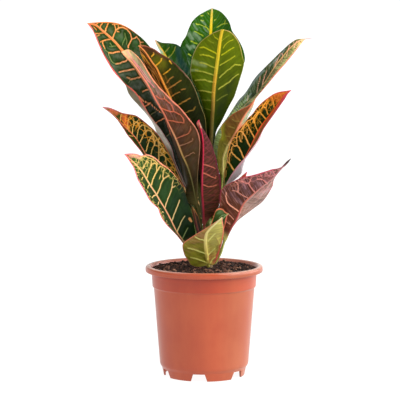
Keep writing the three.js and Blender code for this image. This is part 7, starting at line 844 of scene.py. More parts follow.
        (2, 1.31, [(0.63, 0.35), (0.647, 0.417), (0.666, 0.483)]),
        (4, 7.09, [(0.58, -0.65), (0.57, -0.517), (0.558, -0.367), (0.547, -0.233)]),
        (4, 6.54, [(0.673, -0.667), (0.671, -0.517), (0.668, -0.367), (0.663, -0.2), (0.659, -0.017)]),
        (4, 4.36, [(0.463, -0.633), (0.461, -0.55), (0.458, -0.45), (0.456, -0.367), (0.451, -0.267), (0.449, -0.183), (0.444, -0.1), (0.442, -0.017)]),
        (5, 5.45, [(0.389, -0.817), (0.377, -0.75), (0.365, -0.683), (0.353, -0.6), (0.341, -0.517), (0.332, -0.417), (0.325, -0.3), (0.315, -0.183)]),],
    "leaf_low_front_olive": [
        (1, 1.53, [(0.52, -0.033), (0.537, -0.167), (0.551, -0.333), (0.566, -0.45), (0.58, -0.583), (0.606, -0.817)]),
        (2, 1.31, [(0.48, -0.067), (0.489, -0.167), (0.496, -0.267), (0.504, -0.367), (0.501, -0.467), (0.499, -0.567), (0.494, -0.667), (0.489, -0.767)]),
        (1, 1.64, [(0.279, -0.083), (0.305, -0.167), (0.327, -0.25), (0.348, -0.333), (0.368, -0.4), (0.384, -0.483), (0.399, -0.583), (0.411, -0.667), (0.42, -0.767)]),
        (1, 1.64, [(0.11, -0.183), (0.153, -0.283), (0.189, -0.35), (0.227, -0.45), (0.253, -0.55), (0.27, -0.617), (0.282, -0.7), (0.294, -0.783)]),
        (1, 1.64, [(0.518, 0.15), (0.558, 0.217), (0.597, 0.3), (0.642, 0.383), (0.685, 0.467)]),
        (1, 1.42, [(0.241, 0.1), (0.298, 0.283), (0.348, 0.433), (0.379, 0.517), (0.411, 0.6)]),
        (1, 1.64, [(0.048, 0.95), (0.129, 0.417), (0.172, 0.483), (0.215, 0.617), (0.253, 0.75)]),
        (2, 1.09, [(0.606, 0.583), (0.566, 0.683), (0.523, 0.783), (0.48, 0.783), (0.434, 0.8), (0.391, 0.817)]),
        (4, 3.82, [(0.47, 0.917), (0.427, 0.917), (0.384, 0.917), (0.341, 0.917), (0.298, 0.917), (0.243, 0.867), (0.189, 0.833), (0.131, 0.833)]),
        (5, 7.63, [(0.811, 0.1), (0.768, 0.283), (0.726, 0.417), (0.68, 0.533), (0.632, 0.517), (0.585, 0.5), (0.537, 0.483), (0.489, 0.467)]),],
    "leaf_left_gold_veined": [
        (1, 1.31, [(0.728, 0.05), (0.74, 0.183), (0.754, 0.3), (0.759, 0.433), (0.766, 0.55), (0.766, 0.633), (0.766, 0.717), (0.754, 0.717), (0.745, 0.717), (0.737, 0.667), (0.728, 0.617), (0.723, 0.517), (0.716, 0.4), (0.706, 0.3), (0.697, 0.183), (0.683, 0.067)]),
        (1, 1.42, [(0.649, 0.067), (0.656, 0.2), (0.663, 0.317), (0.671, 0.433), (0.68, 0.55), (0.683, 0.633), (0.685, 0.717), (0.683, 0.783), (0.678, 0.85), (0.663, 0.867), (0.654, 0.833), (0.644, 0.817)]),
        (1, 0.98, [(0.69, 0.683), (0.699, 0.733), (0.709, 0.783), (0.716, 0.867)]),
        (1, 1.31, [(0.578, 0.117), (0.587, 0.2), (0.597, 0.283), (0.606, 0.367), (0.618, 0.483), (0.63, 0.6), (0.637, 0.683), (0.644, 0.783)]),
        (1, 1.09, [(0.544, 0.25), (0.556, 0.35), (0.568, 0.433), (0.578, 0.533), (0.585, 0.617), (0.578, 0.7), (0.57, 0.817)]),
        (1, 1.53, [(0.582, 0.633), (0.599, 0.7), (0.609, 0.717), (0.621, 0.733), (0.63, 0.767), (0.637, 0.8)]),
        (1, 0.98, [(0.599, 0.7), (0.606, 0.783), (0.613, 0.85)]),
        (1, 1.31, [(0.492, 0.417), (0.506, 0.5), (0.52, 0.567), (0.53, 0.617), (0.542, 0.667), (0.554, 0.717), (0.563, 0.75), (0.573, 0.8), (0.585, 0.817), (0.594, 0.85), (0.601, 0.9), (0.611, 0.967)]),
        (1, 1.31, [(0.52, 0.567), (0.513, 0.65), (0.508, 0.75), (0.499, 0.75), (0.489, 0.767), (0.48, 0.733), (0.47, 0.7), (0.456, 0.667), (0.444, 0.633)]),
        (1, 1.31, [(0.544, 0.75), (0.547, 0.833), (0.542, 0.883), (0.532, 0.867), (0.523, 0.833), (0.518, 0.717), (0.53, 0.683), (0.544, 0.75)]),
        (1, 1.09, [(0.766, 0.017), (0.776, 0.1), (0.785, 0.2), (0.795, 0.3), (0.804, 0.45), (0.814, 0.6), (0.821, 0.783)]),
        (1, 0.87, [(0.766, 0.55), (0.778, 0.65), (0.792, 0.767), (0.804, 0.85)]),
        (1, 1.2, [(0.745, -0.6), (0.728, -0.35), (0.711, -0.117)]),
        (2, 1.09, [(0.496, 0.95), (0.48, 0.933), (0.465, 0.917), (0.453, 0.9), (0.442, 0.867), (0.427, 0.85), (0.413, 0.8), (0.399, 0.75)]),
        (1, 1.31, [(0.728, 0.617), (0.728, 0.7), (0.73, 0.783), (0.723, 0.833), (0.716, 0.867), (0.704, 0.9), (0.69, 0.917), (0.68, 0.917), (0.668, 0.9)]),
        (1, 1.31, [(0.678, 0.85), (0.666, 0.85), (0.654, 0.867), (0.64, 0.867), (0.625, 0.867), (0.611, 0.867), (0.597, 0.867), (0.582, 0.867), (0.57, 0.85), (0.556, 0.85)]),
        (1, 1.09, [(0.85, 0.183), (0.859, 0.383), (0.869, 0.6), (0.874, 0.75), (0.881, 0.933)]),
        (1, 1.09, [(0.766, 0.717), (0.766, 0.817), (0.768, 0.917)]),
        (1, 1.09, [(0.542, 0.883), (0.53, 0.883), (0.52, 0.9), (0.508, 0.917), (0.496, 0.95)]),
        (4, 7.09, [(0.85, 0.717), (0.838, 0.55), (0.823, 0.4), (0.811, 0.283), (0.8, 0.167)]),
        (4, 3.82, [(0.943, 0.6), (0.928, 0.55), (0.916, 0.533), (0.902, 0.517)]),
        (5, 4.36, [(0.749, 0.683), (0.735, 0.75), (0.721, 0.8), (0.704, 0.85), (0.687, 0.85), (0.673, 0.867), (0.654, 0.867), (0.64, 0.867), (0.625, 0.867), (0.611, 0.867), (0.597, 0.867), (0.58, 0.867), (0.566, 0.867), (0.551, 0.867), (0.535, 0.867)]),],
    "leaf_low_left_green": [
        (1, 1.2, [(0.869, 0.133), (0.871, 0.3), (0.876, 0.483), (0.881, 0.717)]),
        (1, 1.31, [(0.811, 0.183), (0.811, 0.317), (0.814, 0.45), (0.814, 0.567), (0.816, 0.667), (0.819, 0.75)]),
        (1, 0.98, [(0.816, 0.667), (0.804, 0.633), (0.792, 0.617)]),
        (1, 1.64, [(0.745, 0.067), (0.752, 0.183), (0.759, 0.3), (0.764, 0.417), (0.766, 0.533), (0.768, 0.617), (0.771, 0.683), (0.761, 0.8), (0.742, 0.833)]),
        (1, 1.42, [(0.771, 0.6), (0.778, 0.7), (0.788, 0.8)]),
        (1, 1.85, [(0.683, 0.067), (0.69, 0.167), (0.699, 0.267), (0.702, 0.367), (0.704, 0.45), (0.709, 0.55), (0.711, 0.65), (0.714, 0.767), (0.716, 0.883)]),
        (1, 1.42, [(0.716, 0.667), (0.726, 0.717), (0.735, 0.75), (0.74, 0.85)]),
        (1, 1.64, [(0.599, 0.033), (0.604, 0.133), (0.611, 0.233), (0.618, 0.317), (0.628, 0.4), (0.632, 0.467), (0.635, 0.533), (0.637, 0.617), (0.635, 0.683), (0.632, 0.75), (0.628, 0.833)]),
        (1, 1.31, [(0.642, 0.6), (0.652, 0.633), (0.661, 0.683), (0.668, 0.733), (0.678, 0.8), (0.683, 0.917)]),
        (1, 0.98, [(0.661, 0.483), (0.666, 0.55), (0.673, 0.617)]),
        (1, 1.42, [(0.475, 0.033), (0.484, 0.1), (0.494, 0.167), (0.501, 0.25), (0.511, 0.317), (0.518, 0.4), (0.525, 0.467), (0.535, 0.55), (0.547, 0.633), (0.556, 0.683), (0.568, 0.733), (0.575, 0.783), (0.582, 0.833)]),
        (1, 0.98, [(0.549, 0.65), (0.547, 0.717), (0.544, 0.783)]),
        (1, 1.53, [(0.356, 0), (0.363, 0.083), (0.372, 0.167), (0.382, 0.233), (0.391, 0.317), (0.401, 0.4), (0.411, 0.467), (0.42, 0.55), (0.43, 0.617), (0.437, 0.667), (0.446, 0.7)]),
        (1, 1.31, [(0.248, -0.1), (0.263, 0.067), (0.272, 0.15), (0.282, 0.233), (0.291, 0.317), (0.303, 0.4), (0.313, 0.483), (0.32, 0.583), (0.327, 0.667)]),
        (2, 0.98, [(0.184, 0.017), (0.191, 0.133), (0.2, 0.233), (0.21, 0.333), (0.22, 0.45), (0.229, 0.55), (0.239, 0.65)]),
        (1, 1.53, [(0.599, 0.017), (0.599, -0.233), (0.592, -0.4), (0.585, -0.567)]),
        (1, 1.2, [(0.537, -0.183), (0.525, -0.333), (0.513, -0.483)]),
        (1, 1.31, [(0.692, -0.083), (0.683, -0.25), (0.671, -0.433)]),
        (1, 1.09, [(0.766, -0.217), (0.759, -0.367), (0.749, -0.533)]),
        (1, 1.42, [(0.819, -0.583), (0.811, -0.383)]),
        (1, 1.09, [(0.888, 0.067), (0.876, -0.4)]),
        (1, 1.74, [(0.446, -0.483), (0.444, -0.383)]),
        (1, 0.98, [(0.418, -0.55), (0.401, -0.633)]),
        (1, 1.09, [(0.368, -0.567), (0.358, -0.583)]),
        (1, 1.53, [(0.876, 0.833), (0.859, 0.867), (0.84, 0.883), (0.823, 0.85), (0.809, 0.85), (0.79, 0.867), (0.771, 0.9), (0.754, 0.883), (0.74, 0.883)]),
        (1, 0.98, [(0.716, 0.883), (0.704, 0.9), (0.69, 0.9), (0.683, 0.917)]),
        (4, 7.63, [(0.563, 0.983), (0.544, 0.967), (0.525, 0.967), (0.504, 0.983), (0.484, 1), (0.468, 1), (0.451, 1), (0.434, 1), (0.415, 1), (0.399, 1)]),
        (5, 3.27, [(0.955, 0.567), (0.94, 0.633), (0.926, 0.7), (0.912, 0.75), (0.895, 0.75), (0.878, 0.733)]),
        (3, 2.83, [(0.294, 0.833), (0.272, 0.883)]),],
    "leaf_low_front_small": [
        (1, 0.98, [(0.757, -0.333), (0.797, -0.317), (0.838, -0.317), (0.878, -0.283), (0.921, -0.3)]),
        (2, 0.87, [(0.737, -0.7), (0.788, -0.667), (0.831, -0.75)]),
        (4, 4.36, [(0.792, -0.783), (0.826, -0.65), (0.869, -0.533)]),],
}

# ---------------------------------------------------------------- what each leaf looks like
# r runs from the stalk's foot (0) to the tip (1); L is the left half seen up the leaf from its base.
G_, B_, M_ = "leaf_green", "leaf_bronze", "leaf_maroon"


def ramp(*p):
    return tuple((p[i], p[i + 1]) for i in range(0, len(p), 2))


SPECS = {
    "leaf_upper_left": dict(
        seen="top", slot=G_, seed=11, step=0.72, rough=0.36, relief=1.5,
        cellL=ramp(0.2, "#151d18", 0.5, "#1a2619", 0.65, "#1e331d", 0.85, "#21401e", 1, "#3a4a1e"),
        cellR=ramp(0.2, "#151d18", 0.6, "#24481f", 0.8, "#21401e", 1, "#3a4a1e"),
        cell_sheen=0.75, cell_sheen0=0.9, cell_sheen1=4.0, cell_sheen_min=0.35, cell_sheen_col=ramp(0.4, "#2b3430", 0.6, "#4a5149", 0.8, "#57624f", 1, "#4f6140"),
        vein1=ramp(0.3, "#c9754f", 0.5, "#d97a55", 0.7, "#e98f68", 0.85, "#f59253", 1, "#f7803c"), vein2=ramp(0.5, "#8f7a58", 1, "#90a05a"), v2a=0.7,
        mid=ramp(0.3, "#d9705a", 0.6, "#f0805c", 0.8, "#f98a4a", 1, "#f77a44"), midw=((0, 3.4), (0.5, 2.6), (0.75, 2.7), (0.93, 1.9), (1, 1.2)),
        edgeL=((0, 0.0), (0.2, 0.9), (0.6, 1.3), (1, 1.2)), edgecL=ramp(0.4, "#d97560", 0.6, "#e25f55", 0.8, "#e8605c", 1, "#e8706a"),
        edgeR=((0, 0.0), (0.78, 0.0), (0.84, 0.9), (1, 1.1)), edgecR=ramp(0.8, "#b8602e", 0.9, "#ee7d36", 1, "#f07a50"), edgea=0.95,
        stalkc=ramp(0, "#8a9a4a", 0.2, "#6d7a3a"), other=ramp(0.3, "#a89ea2", 0.5, "#a79c98", 0.62, "#8f917c", 0.72, "#8a8a68", 1, "#8a8060"), othera=0.9,
        tint_and_painted_light1=ramp(0, "#3f6a35"), tint_and_painted_light1a=0.4, blot=0.2),
    "leaf_mid_left_front": dict(
        seen="under", slot=B_, seed=12, step=0.72, rough=0.45, relief=1.0,
        cellL=ramp(0.1, "#4b4a22", 0.3, "#2f2a16", 0.5, "#3a2a1c", 0.62, "#d8735a", 0.9, "#e98a66", 1, "#f0c08a"),
        cellR=ramp(0.1, "#4f4c24", 0.22, "#3d3218", 0.34, "#52402a", 0.46, "#6a4733", 0.56, "#74503f", 0.64, "#8a6d64", 0.74, "#a3928c", 0.86, "#b6a893", 0.93, "#ecd3a0", 1, "#f0c890"),
        cell_sheen=0.35, cell_sheen_col=ramp(0.3, "#4f4436", 0.6, "#7a5a4c", 0.75, "#9a9088"),
        vein1=ramp(0.3, "#c0805c", 0.45, "#d98062", 0.6, "#ea7e5e", 1, "#ee8060"), vein2=ramp(0.2, "#8f6a48", 0.4, "#a8765a", 0.6, "#c08068"), v2a=0.85,
        vein3=ramp(0, "#f0707e"), mid=ramp(0.1, "#9aa060", 0.22, "#8f7f45", 0.35, "#a8874e", 0.48, "#c98a60", 0.58, "#e27c5e", 0.8, "#ee7e62", 1, "#f0a070"),
        midw=((0, 2.4), (0.3, 2.2), (0.6, 1.9), (0.85, 1.6), (1, 1.2)),
        edgeL=((0, 0), (0.55, 0.0), (0.62, 1.0), (1, 1.0)), edgecL=ramp(0.5, "#d9735a", 1, "#ee7e62"),
        edgeR=((0, 0.0), (0.2, 0.5), (0.35, 0.8), (0.45, 1.4), (0.6, 1.9), (0.85, 1.5), (0.93, 0.3), (1, 0.3)),
        edgecR=ramp(0.2, "#6a5a3a", 0.35, "#9a6a52", 0.45, "#c97a62", 0.55, "#ea8468", 0.9, "#f09068"),
        stalkc=ramp(0, "#7f8a44", 0.15, "#6f7038"), other=ramp(0.3, "#27331a", 0.6, "#5a4030", 1, "#c08a60"), othera=0.6,
        tint_and_painted_light1=ramp(0, "#93a082"), tint_and_painted_light1a=0.75, tint2=ramp(0, "#f3d9a0"), tint2a=0.9, net=((0.66, 0.35, 0.14, 0.8, 0.8), (0.58, 0.35, 0.08, 0.7, 0.5)), netx=0.42, nety=0.34, ribc=0.12),
    "leaf_centre_left": dict(
        seen="under", slot=B_, seed=13, step=0.75, rough=0.45,
        cellL=ramp(0.2, "#17180c", 0.5, "#26240f", 0.75, "#332b10", 0.95, "#4a3314", 1, "#c88a50"),
        cellR=ramp(0.15, "#12150b", 0.35, "#1d200e", 0.55, "#2e2a10", 0.72, "#3d3611", 0.86, "#4a4210", 1, "#6a4020"),
        vein1=ramp(0.4, "#c08038", 0.7, "#e08a40", 0.85, "#f0a03c", 1, "#f0a060"), vein2=ramp(0.3, "#5f4c1c", 0.5, "#8a672a", 0.7, "#a86e34", 0.9, "#b88048"), v2a=0.85, brk=0.55,
        mid=ramp(0.2, "#5a4a24", 0.45, "#a87a30", 0.6, "#d8902e", 0.75, "#f0983c", 1, "#ef9050"), midw=((0, 2.2), (0.4, 1.9), (0.7, 2.2), (0.9, 1.6), (1, 1.0)),
        edgeL=((0, 0), (0.4, 0.5), (1, 0.8)), edgecL=ramp(0.3, "#6a4a2a", 0.6, "#c8704e", 1, "#e08858"),
        edgeR=((0, 0), (0.3, 0.5), (0.45, 0.8), (0.62, 0.9), (0.72, 1.3), (0.9, 1.4), (1, 1)), edgecR=ramp(0.2, "#4a4426", 0.45, "#8f7c58", 0.6, "#9a8a72", 0.7, "#7a5a48", 0.8, "#5a2a22", 1, "#8a4a34"),
        stalkc=ramp(0, "#6f7a3c", 0.2, "#4f4f22"), other=ramp(0, "#22381c", 1, "#3f4a20"), othera=0.75,
        tint_and_painted_light1=ramp(0, "#45200f"), tint_and_painted_light1a=0.85, tint2=ramp(0, "#5c5a08"), tint2a=0.8, ribc=0.12, blot=0.22),
    "leaf_centre_front": dict(
        seen="under", slot=B_, seed=14, step=0.72, rough=0.4, relief=0.9,
        cellL=ramp(0.1, "#1e270d", 0.3, "#2f3d10", 0.45, "#4b5c18", 0.6, "#64751f", 0.72, "#6f8024", 0.85, "#78850f", 1, "#7d880e"),
        cellR=ramp(0.1, "#161d0c", 0.3, "#22300f", 0.45, "#303e0e", 0.58, "#47520c", 0.72, "#5f6a0b", 0.86, "#6f7b08", 1, "#80860c"),
        vein1=ramp(0.3, "#8f8a34", 0.5, "#b5aa4c", 0.7, "#b8b44a", 0.85, "#c8c01e", 1, "#a8a820"), vein2=ramp(0.2, "#5a5a20", 0.5, "#7f8230", 1, "#8f9a20"), v2a=0.75,
        mid=ramp(0.1, "#5a4f28", 0.25, "#8f7440", 0.42, "#b98a3e", 0.55, "#cf9638", 0.68, "#d8b02e", 0.82, "#ecca22", 1, "#eec43a"), midw=((0, 3.8), (0.3, 4.2), (0.6, 3.9), (0.9, 3.6), (1, 3.2)),
        edgeL=((0, 0), (0.3, 0.6), (0.5, 0.8), (0.9, 0.8), (1, 0.7)), edgecL=ramp(0.3, "#7a5c3a", 0.5, "#a89058", 0.7, "#c2b27e", 0.9, "#a8944c", 1, "#c0a068"),
        edgeR=((0, 0), (0.4, 0.3), (0.7, 0.5), (0.9, 0.8), (1, 0.7)), edgecR=ramp(0.4, "#4a5020", 0.7, "#8f8a3a", 0.95, "#c09a5a"),
        stalkc=ramp(0, "#7f8a3c", 0.2, "#6a6a34"), other=ramp(0, "#1e4a1c", 1, "#3f7020"), othera=0.7,
        tint_and_painted_light1=ramp(0, "#a3b08c"), tint_and_painted_light1a=0.85, tint2=ramp(0, "#1f2a0c"), tint2a=0.7, ribc=0.2, rib=1.5, blot=0.12, wave=0.6),
    "leaf_top_back": dict(
        seen="top", slot=G_, seed=15, step=0.75, rough=0.3, relief=1.3, coat=0.25,
        cellL=ramp(0.3, "#16322a", 0.55, "#173c33", 0.7, "#1a4a34", 0.82, "#2a6226", 0.95, "#2c6a14", 1, "#3f7a14"),
        cellR=ramp(0.3, "#1c4018", 0.7, "#265a10", 0.85, "#2a6210", 1, "#3f7a14"),
        cell_sheen=0.45, cell_sheen0=0.8, cell_sheen1=3.5, cell_sheen_col=ramp(0.4, "#2f5048", 0.7, "#3f6a50", 0.9, "#4a7a3c"),
        vein1=ramp(0.4, "#8fae5a", 0.8, "#b0c040", 1, "#b8c060"), vein2=ramp(0, "#6f9a78"), v2a=0.6,
        mid=ramp(0.2, "#8a8a30", 0.6, "#d8b820", 0.85, "#f2cf12", 0.97, "#e8c84a", 1, "#d0b880"), midw=((0, 3.2), (0.5, 3.4), (0.9, 3.0), (1, 2.2)),
        edgeL=((0, 0), (1, 0.0)), edgecL=ramp(0, "#1f4a20"), edgeR=((0, 0), (1, 0.0)), edgecR=ramp(0, "#1f4a20"),
        stalkc=ramp(0, "#7f9a40", 0.2, "#6f8a34"), other=ramp(0, "#5f8a3c", 1, "#6f9a3c"), othera=0.8,
        tint_and_painted_light1=ramp(0.4, "#7f8f8e", 0.7, "#93a595"), tint_and_painted_light1a=0.85, tint2=ramp(0, "#12302c"), tint2a=0.8,
        auto=(dict([("from", 0.05), ("to", 0.97), ("gap", 6.0), ("angle", 62), ("w", 0.7), ("cls", 2), ("curl", 0.25), ("reach", 0.85)]),), blot=0.22),
    "leaf_small_back_left": dict(
        seen="top", slot=G_, seed=16, step=0.8, rough=0.34, relief=1.2,
        cellL=ramp(0.3, "#16382a", 0.75, "#3f6a4a", 0.9, "#7f9d7c", 1, "#c8b8a0"), cellR=ramp(0.2, "#122c24", 0.6, "#123626", 0.8, "#1c4a1c", 0.92, "#1f5216", 1, "#4a6a20"),
        cell_sheen=0.3, cell_sheen_col=ramp(0, "#3f5f58", 1, "#35602a"),
        vein1=ramp(0, "#9aa840", 1, "#b0b050"), vein2=ramp(0, "#5f8a3a"), v2a=0.6, mid=ramp(0.2, "#8a9a30", 0.7, "#dcb82a", 0.93, "#e8b840", 1, "#f2b496"), midw=((0, 2.4), (0.7, 2.0), (0.95, 1.5), (1, 1.0)),
        edgeL=((0, 0), (1, 0.0)), edgecL=ramp(0, "#8fa88c"), edgeR=((0, 0.3), (1, 0.5)), edgecR=ramp(0, "#16381c"),
        stalkc=ramp(0, "#7f9a40", 0.2, "#6f8a34"), other=ramp(0, "#5f8a4c", 1, "#6f9a4c"), othera=0.8, tint_and_painted_light1=ramp(0, "#8fa68a"), tint_and_painted_light1a=0.9, tint2=ramp(0, "#1a3f42"), tint2a=0.7,
        auto=(dict([("from", 0.05), ("to", 0.6), ("gap", 8.0), ("angle", 58), ("w", 0.8), ("cls", 2), ("curl", 0.3)]),)),
    "leaf_right_long": dict(
        seen="top", slot=G_, seed=17, step=0.72, rough=0.33, relief=1.2, coat=0.2,
        cellL=ramp(0.22, "#86a088", 0.36, "#8fa692", 0.46, "#8a9a86", 0.54, "#55645a", 0.7, "#46564c", 0.86, "#3f5040", 0.95, "#8f8a70", 1, "#f0a090"),
        cellR=ramp(0.3, "#93a888", 0.5, "#6f8f62", 0.7, "#53763f", 0.9, "#6f8250", 0.97, "#e8a884", 1, "#f0a090"),
        cell_sheen=0.3, cell_sheen_col=ramp(0, "#8a9a90"),
        vein1=ramp(0.4, "#c8b08a", 0.7, "#e2a284", 0.9, "#f0b090"), vein2=ramp(0, "#8a9a70"), v2a=0.6,
        mid=ramp(0.25, "#b9b87e", 0.45, "#c4b07a", 0.6, "#e0a472", 0.8, "#f2ac7a", 0.94, "#f4b08a", 1, "#f08a94"), midw=((0, 2.2), (0.3, 1.7), (0.7, 1.8), (0.92, 1.5), (1, 1.0)),
        edgeL=((0, 0), (0.3, 0.9), (0.5, 0.9), (0.58, 0.4), (0.85, 0.4), (0.92, 1.0), (1, 1)), edgecL=ramp(0.3, "#c8c8a0", 0.5, "#c3c6a8", 0.6, "#8a9890", 0.85, "#a8a098", 0.92, "#f2b89c", 1, "#f08a94"),
        edgeR=((0, 0), (0.35, 0.6), (0.5, 0.9), (0.9, 1.2), (1, 1.0)), edgecR=ramp(0.3, "#c08a70", 0.5, "#dc7f66", 0.8, "#e87f6c", 0.95, "#f2a090", 1, "#f08a94"),
        stalkc=ramp(0, "#7f9a50", 0.25, "#8fa070"), other=ramp(0, "#9fb08a", 1, "#b0a090"), othera=0.8,
        tint_and_painted_light1=ramp(0, "#93a29c"), tint_and_painted_light1a=0.8, tint2=ramp(0.4, "#262e1c", 0.6, "#2c3a22", 0.9, "#33452c"), tint2a=0.9, blot=0.25),
    "leaf_right_brown": dict(
        seen="under", slot=B_, seed=18, step=0.7, rough=0.45,
        cellL=ramp(0.4, "#6a6a26", 0.52, "#5a4c16", 0.62, "#66501c", 0.74, "#74542a", 0.85, "#7c4e2e", 1, "#8f5230"),
        cellR=ramp(0.4, "#6f7030", 0.55, "#c07850", 0.66, "#cf8058", 0.74, "#a8b08a", 0.84, "#a6b8a0", 0.92, "#b0a080", 1, "#d08058"),
        vein1=ramp(0, "#d08050"), vein2=ramp(0, "#8f7f3a"), v2a=0.7, mid=ramp(0.4, "#a89a58", 0.52, "#c08455", 0.7, "#dc8460", 1, "#e0885e"), midw=((0, 3.0), (0.3, 2.6), (0.7, 2.2), (1, 1.4)),
        edgeL=((0, 0), (0.45, 0.7), (0.6, 0.9), (1, 1.0)), edgecL=ramp(0.45, "#9a8a3a", 0.55, "#c8a04a", 0.66, "#8a5a2a", 0.75, "#a04a30", 1, "#c05a44"),
        edgeR=((0, 0), (0.5, 0.3), (1, 0.8)), edgecR=ramp(0.4, "#6f7a3a", 0.7, "#b9a070", 1, "#d9805c"),
        stalkc=ramp(0, "#6f7a34", 0.2, "#7a7230", 0.4, "#7a7a30"), other=ramp(0, "#3a5a2c", 1, "#5a5a2c"), othera=0.7, tint_and_painted_light1=ramp(0, "#7f7e1c"), tint_and_painted_light1a=0.9, tint2=ramp(0, "#6f4a20"), tint2a=0.5, ribc=0.14),
    "leaf_right_orange_veined": dict(
        seen="top", slot=G_, seed=19, step=0.62, rough=0.35, relief=1.4,
        cellL=ramp(0.15, "#1f3014", 0.4, "#141d0d", 0.75, "#16200c", 0.92, "#5a3a14", 1, "#d86a30"), cellR=ramp(0.2, "#2a3a18", 0.5, "#3a4a1c", 0.8, "#55521c", 0.95, "#c8602c", 1, "#e0606a"),
        cell_sheen=0.35, cell_sheen0=1.2, cell_sheen1=4.0, cell_sheen_col=ramp(0.3, "#2c3626", 0.6, "#2a2f1c"),
        vein1=ramp(0.1, "#d9a070", 0.3, "#ea9058", 0.5, "#f28f58", 0.7, "#f58c42", 0.9, "#ee7a30", 1, "#f06a40"), mid=ramp(0.1, "#b0a058", 0.3, "#e86a50", 0.5, "#ea5a34", 0.8, "#ea4e26", 1, "#e04a50"), midw=((0, 2.2), (0.3, 2.0), (0.6, 2.4), (0.9, 1.8), (1, 1.0)),
        vein2=ramp(0, "#8a7030"), v2a=0.7,
        edgeL=((0, 0.5), (0.3, 0.7), (0.6, 0.8), (0.8, 1.0), (1, 1.3)), edgecL=ramp(0.1, "#c8c080", 0.3, "#d9a468", 0.5, "#e2884c", 0.75, "#e0693a", 0.9, "#d84a44", 1, "#d8405a"),
        edgeR=((0, 0), (0.3, 0.9), (0.6, 1.1), (1, 1.3)), edgecR=ramp(0.2, "#d0606a", 0.5, "#dc4a54", 1, "#d8405e"),
        stalkc=ramp(0, "#a8c070", 0.12, "#b9d888", 0.25, "#8fae5a"), other=ramp(0.2, "#b7a9ad", 0.45, "#c6b8bb", 0.6, "#c3adb0", 0.8, "#b08a80", 1, "#c06a60"), othera=0.92,
        tint_and_painted_light1=ramp(0, "#e8961e"), tint_and_painted_light1a=0.85, tint2=ramp(0, "#e46e28"), tint2a=0.95,
        net=((0.86, -0.55, 0.1, 0.7, 0.8), (0.7, -0.85, 0.2, 0.35, 0.9), (0.5, -0.9, 0.25, 0.3, 0.5), (0.6, -0.45, 0.12, 0.25, 0.35)), netx=0.42, nety=0.3, netw=0.07, brk=0.85),
    "leaf_centre_maroon": dict(
        seen="under", slot=M_, seed=20, step=0.7, rough=0.4,
        cellL=ramp(0.1, "#3a1814", 0.4, "#6a2632", 0.8, "#8a3544", 1, "#e87080"), cellR=ramp(0.1, "#2c130e", 0.25, "#381814", 0.4, "#441d1b", 0.6, "#4c2025", 0.8, "#521f2b", 1, "#5a2030"),
        vein1=ramp(0.2, "#9a4434", 0.5, "#c05544", 1, "#b04a50"), vein2=ramp(0.2, "#5f3424", 0.5, "#7a3f34", 1, "#7a3444"), v2a=0.8,
        mid=ramp(0.1, "#8a2a34", 0.35, "#9a2436", 0.55, "#cc3450", 0.8, "#e0304e", 1, "#d82a50"), midw=((0, 2.6), (0.5, 2.1), (0.9, 2.0), (1, 1.0)),
        edgeL=((0, 0), (0.3, 0.6), (0.9, 0.8), (1, 0.8)), edgecL=ramp(0.2, "#6a2a28", 0.5, "#b84a5a", 1, "#c84a60"), edgeR=((0, 0), (0.2, 0.5), (0.4, 1.6), (0.6, 1.6), (0.8, 1.0), (1, 0.6)), edgecR=ramp(0.2, "#5a2a20", 0.4, "#6f1f34", 0.6, "#6a2a34", 1, "#6a3038"),
        stalkc=ramp(0, "#7a4a34", 0.2, "#7a2a30"), other=ramp(0, "#3f1a18", 1, "#4f2020"), othera=0.5, tint_and_painted_light1=ramp(0, "#c4bb8c"), tint_and_painted_light1a=0.95, tint2=ramp(0, "#f0727e"), tint2a=0.95, ribc=0.22, rib=1.2, blot=0.16),
    "leaf_low_front_olive": dict(
        seen="under", slot=B_, seed=21, step=0.6, rough=0.42, relief=0.9,
        cellL=ramp(0, "#7d7f1e", 0.25, "#6f7220", 0.45, "#74702a", 0.6, "#765c30", 0.8, "#8a6f3a", 1, "#a8a060"), cellR=ramp(0, "#8a5234", 0.2, "#8a6a34", 0.4, "#8f8a3e", 0.7, "#9a9449", 1, "#a8a45c"),
        vein1=ramp(0, "#cdbf60", 0.5, "#cfc070", 1, "#d0c47a"), vein2=ramp(0, "#8f6a3c"), v2a=0.7, mid=ramp(0, "#b9a93c", 0.3, "#c8b850", 0.6, "#d0c474", 1, "#d8c890"), midw=((0, 3.8), (0.3, 3.4), (0.6, 2.6), (0.9, 1.8), (1, 1.2)),
        edgeL=((0, 0.6), (0.2, 0.7), (0.5, 1.1), (0.75, 1.3), (1, 1.3)), edgecL=ramp(0, "#b98a58", 0.25, "#b9805a", 0.4, "#d07058", 0.6, "#de7460", 1, "#e8806a"), edgeR=((0, 0.6), (0.3, 1.2), (0.7, 1.0), (1, 1.0)), edgecR=ramp(0, "#a8604a", 0.4, "#c0604c", 0.7, "#c8705a", 1, "#d87a68"),
        stalkc=ramp(0, "#b8b050"), other=ramp(0, "#3f6a24", 1, "#5a7a30"), othera=0.8, tint_and_painted_light1=ramp(0, "#8f4636"), tint_and_painted_light1a=0.85, tint2=ramp(0, "#a29c54"), tint2a=0.6, ribc=0.16),
    "leaf_low_right_maroon": dict(
        seen="under", slot=M_, seed=22, step=0.7, rough=0.36, coat=0.2, relief=1.2,
        cellL=ramp(0.15, "#5a2a20", 0.35, "#4f2a1f", 0.5, "#4a281f", 0.65, "#55302f", 0.8, "#6b4348", 0.92, "#8a6a6e", 1, "#3a3030"),
        cellR=ramp(0.15, "#6a2a24", 0.35, "#8f6460", 0.5, "#957472", 0.65, "#80605c", 0.8, "#86605e", 0.92, "#8f6e72", 1, "#3a3030"),
        cell_sheen=0.4, cell_sheen_col=ramp(0.2, "#4a3028", 0.5, "#5f3f3e", 0.7, "#86666f", 1, "#8f7078"),
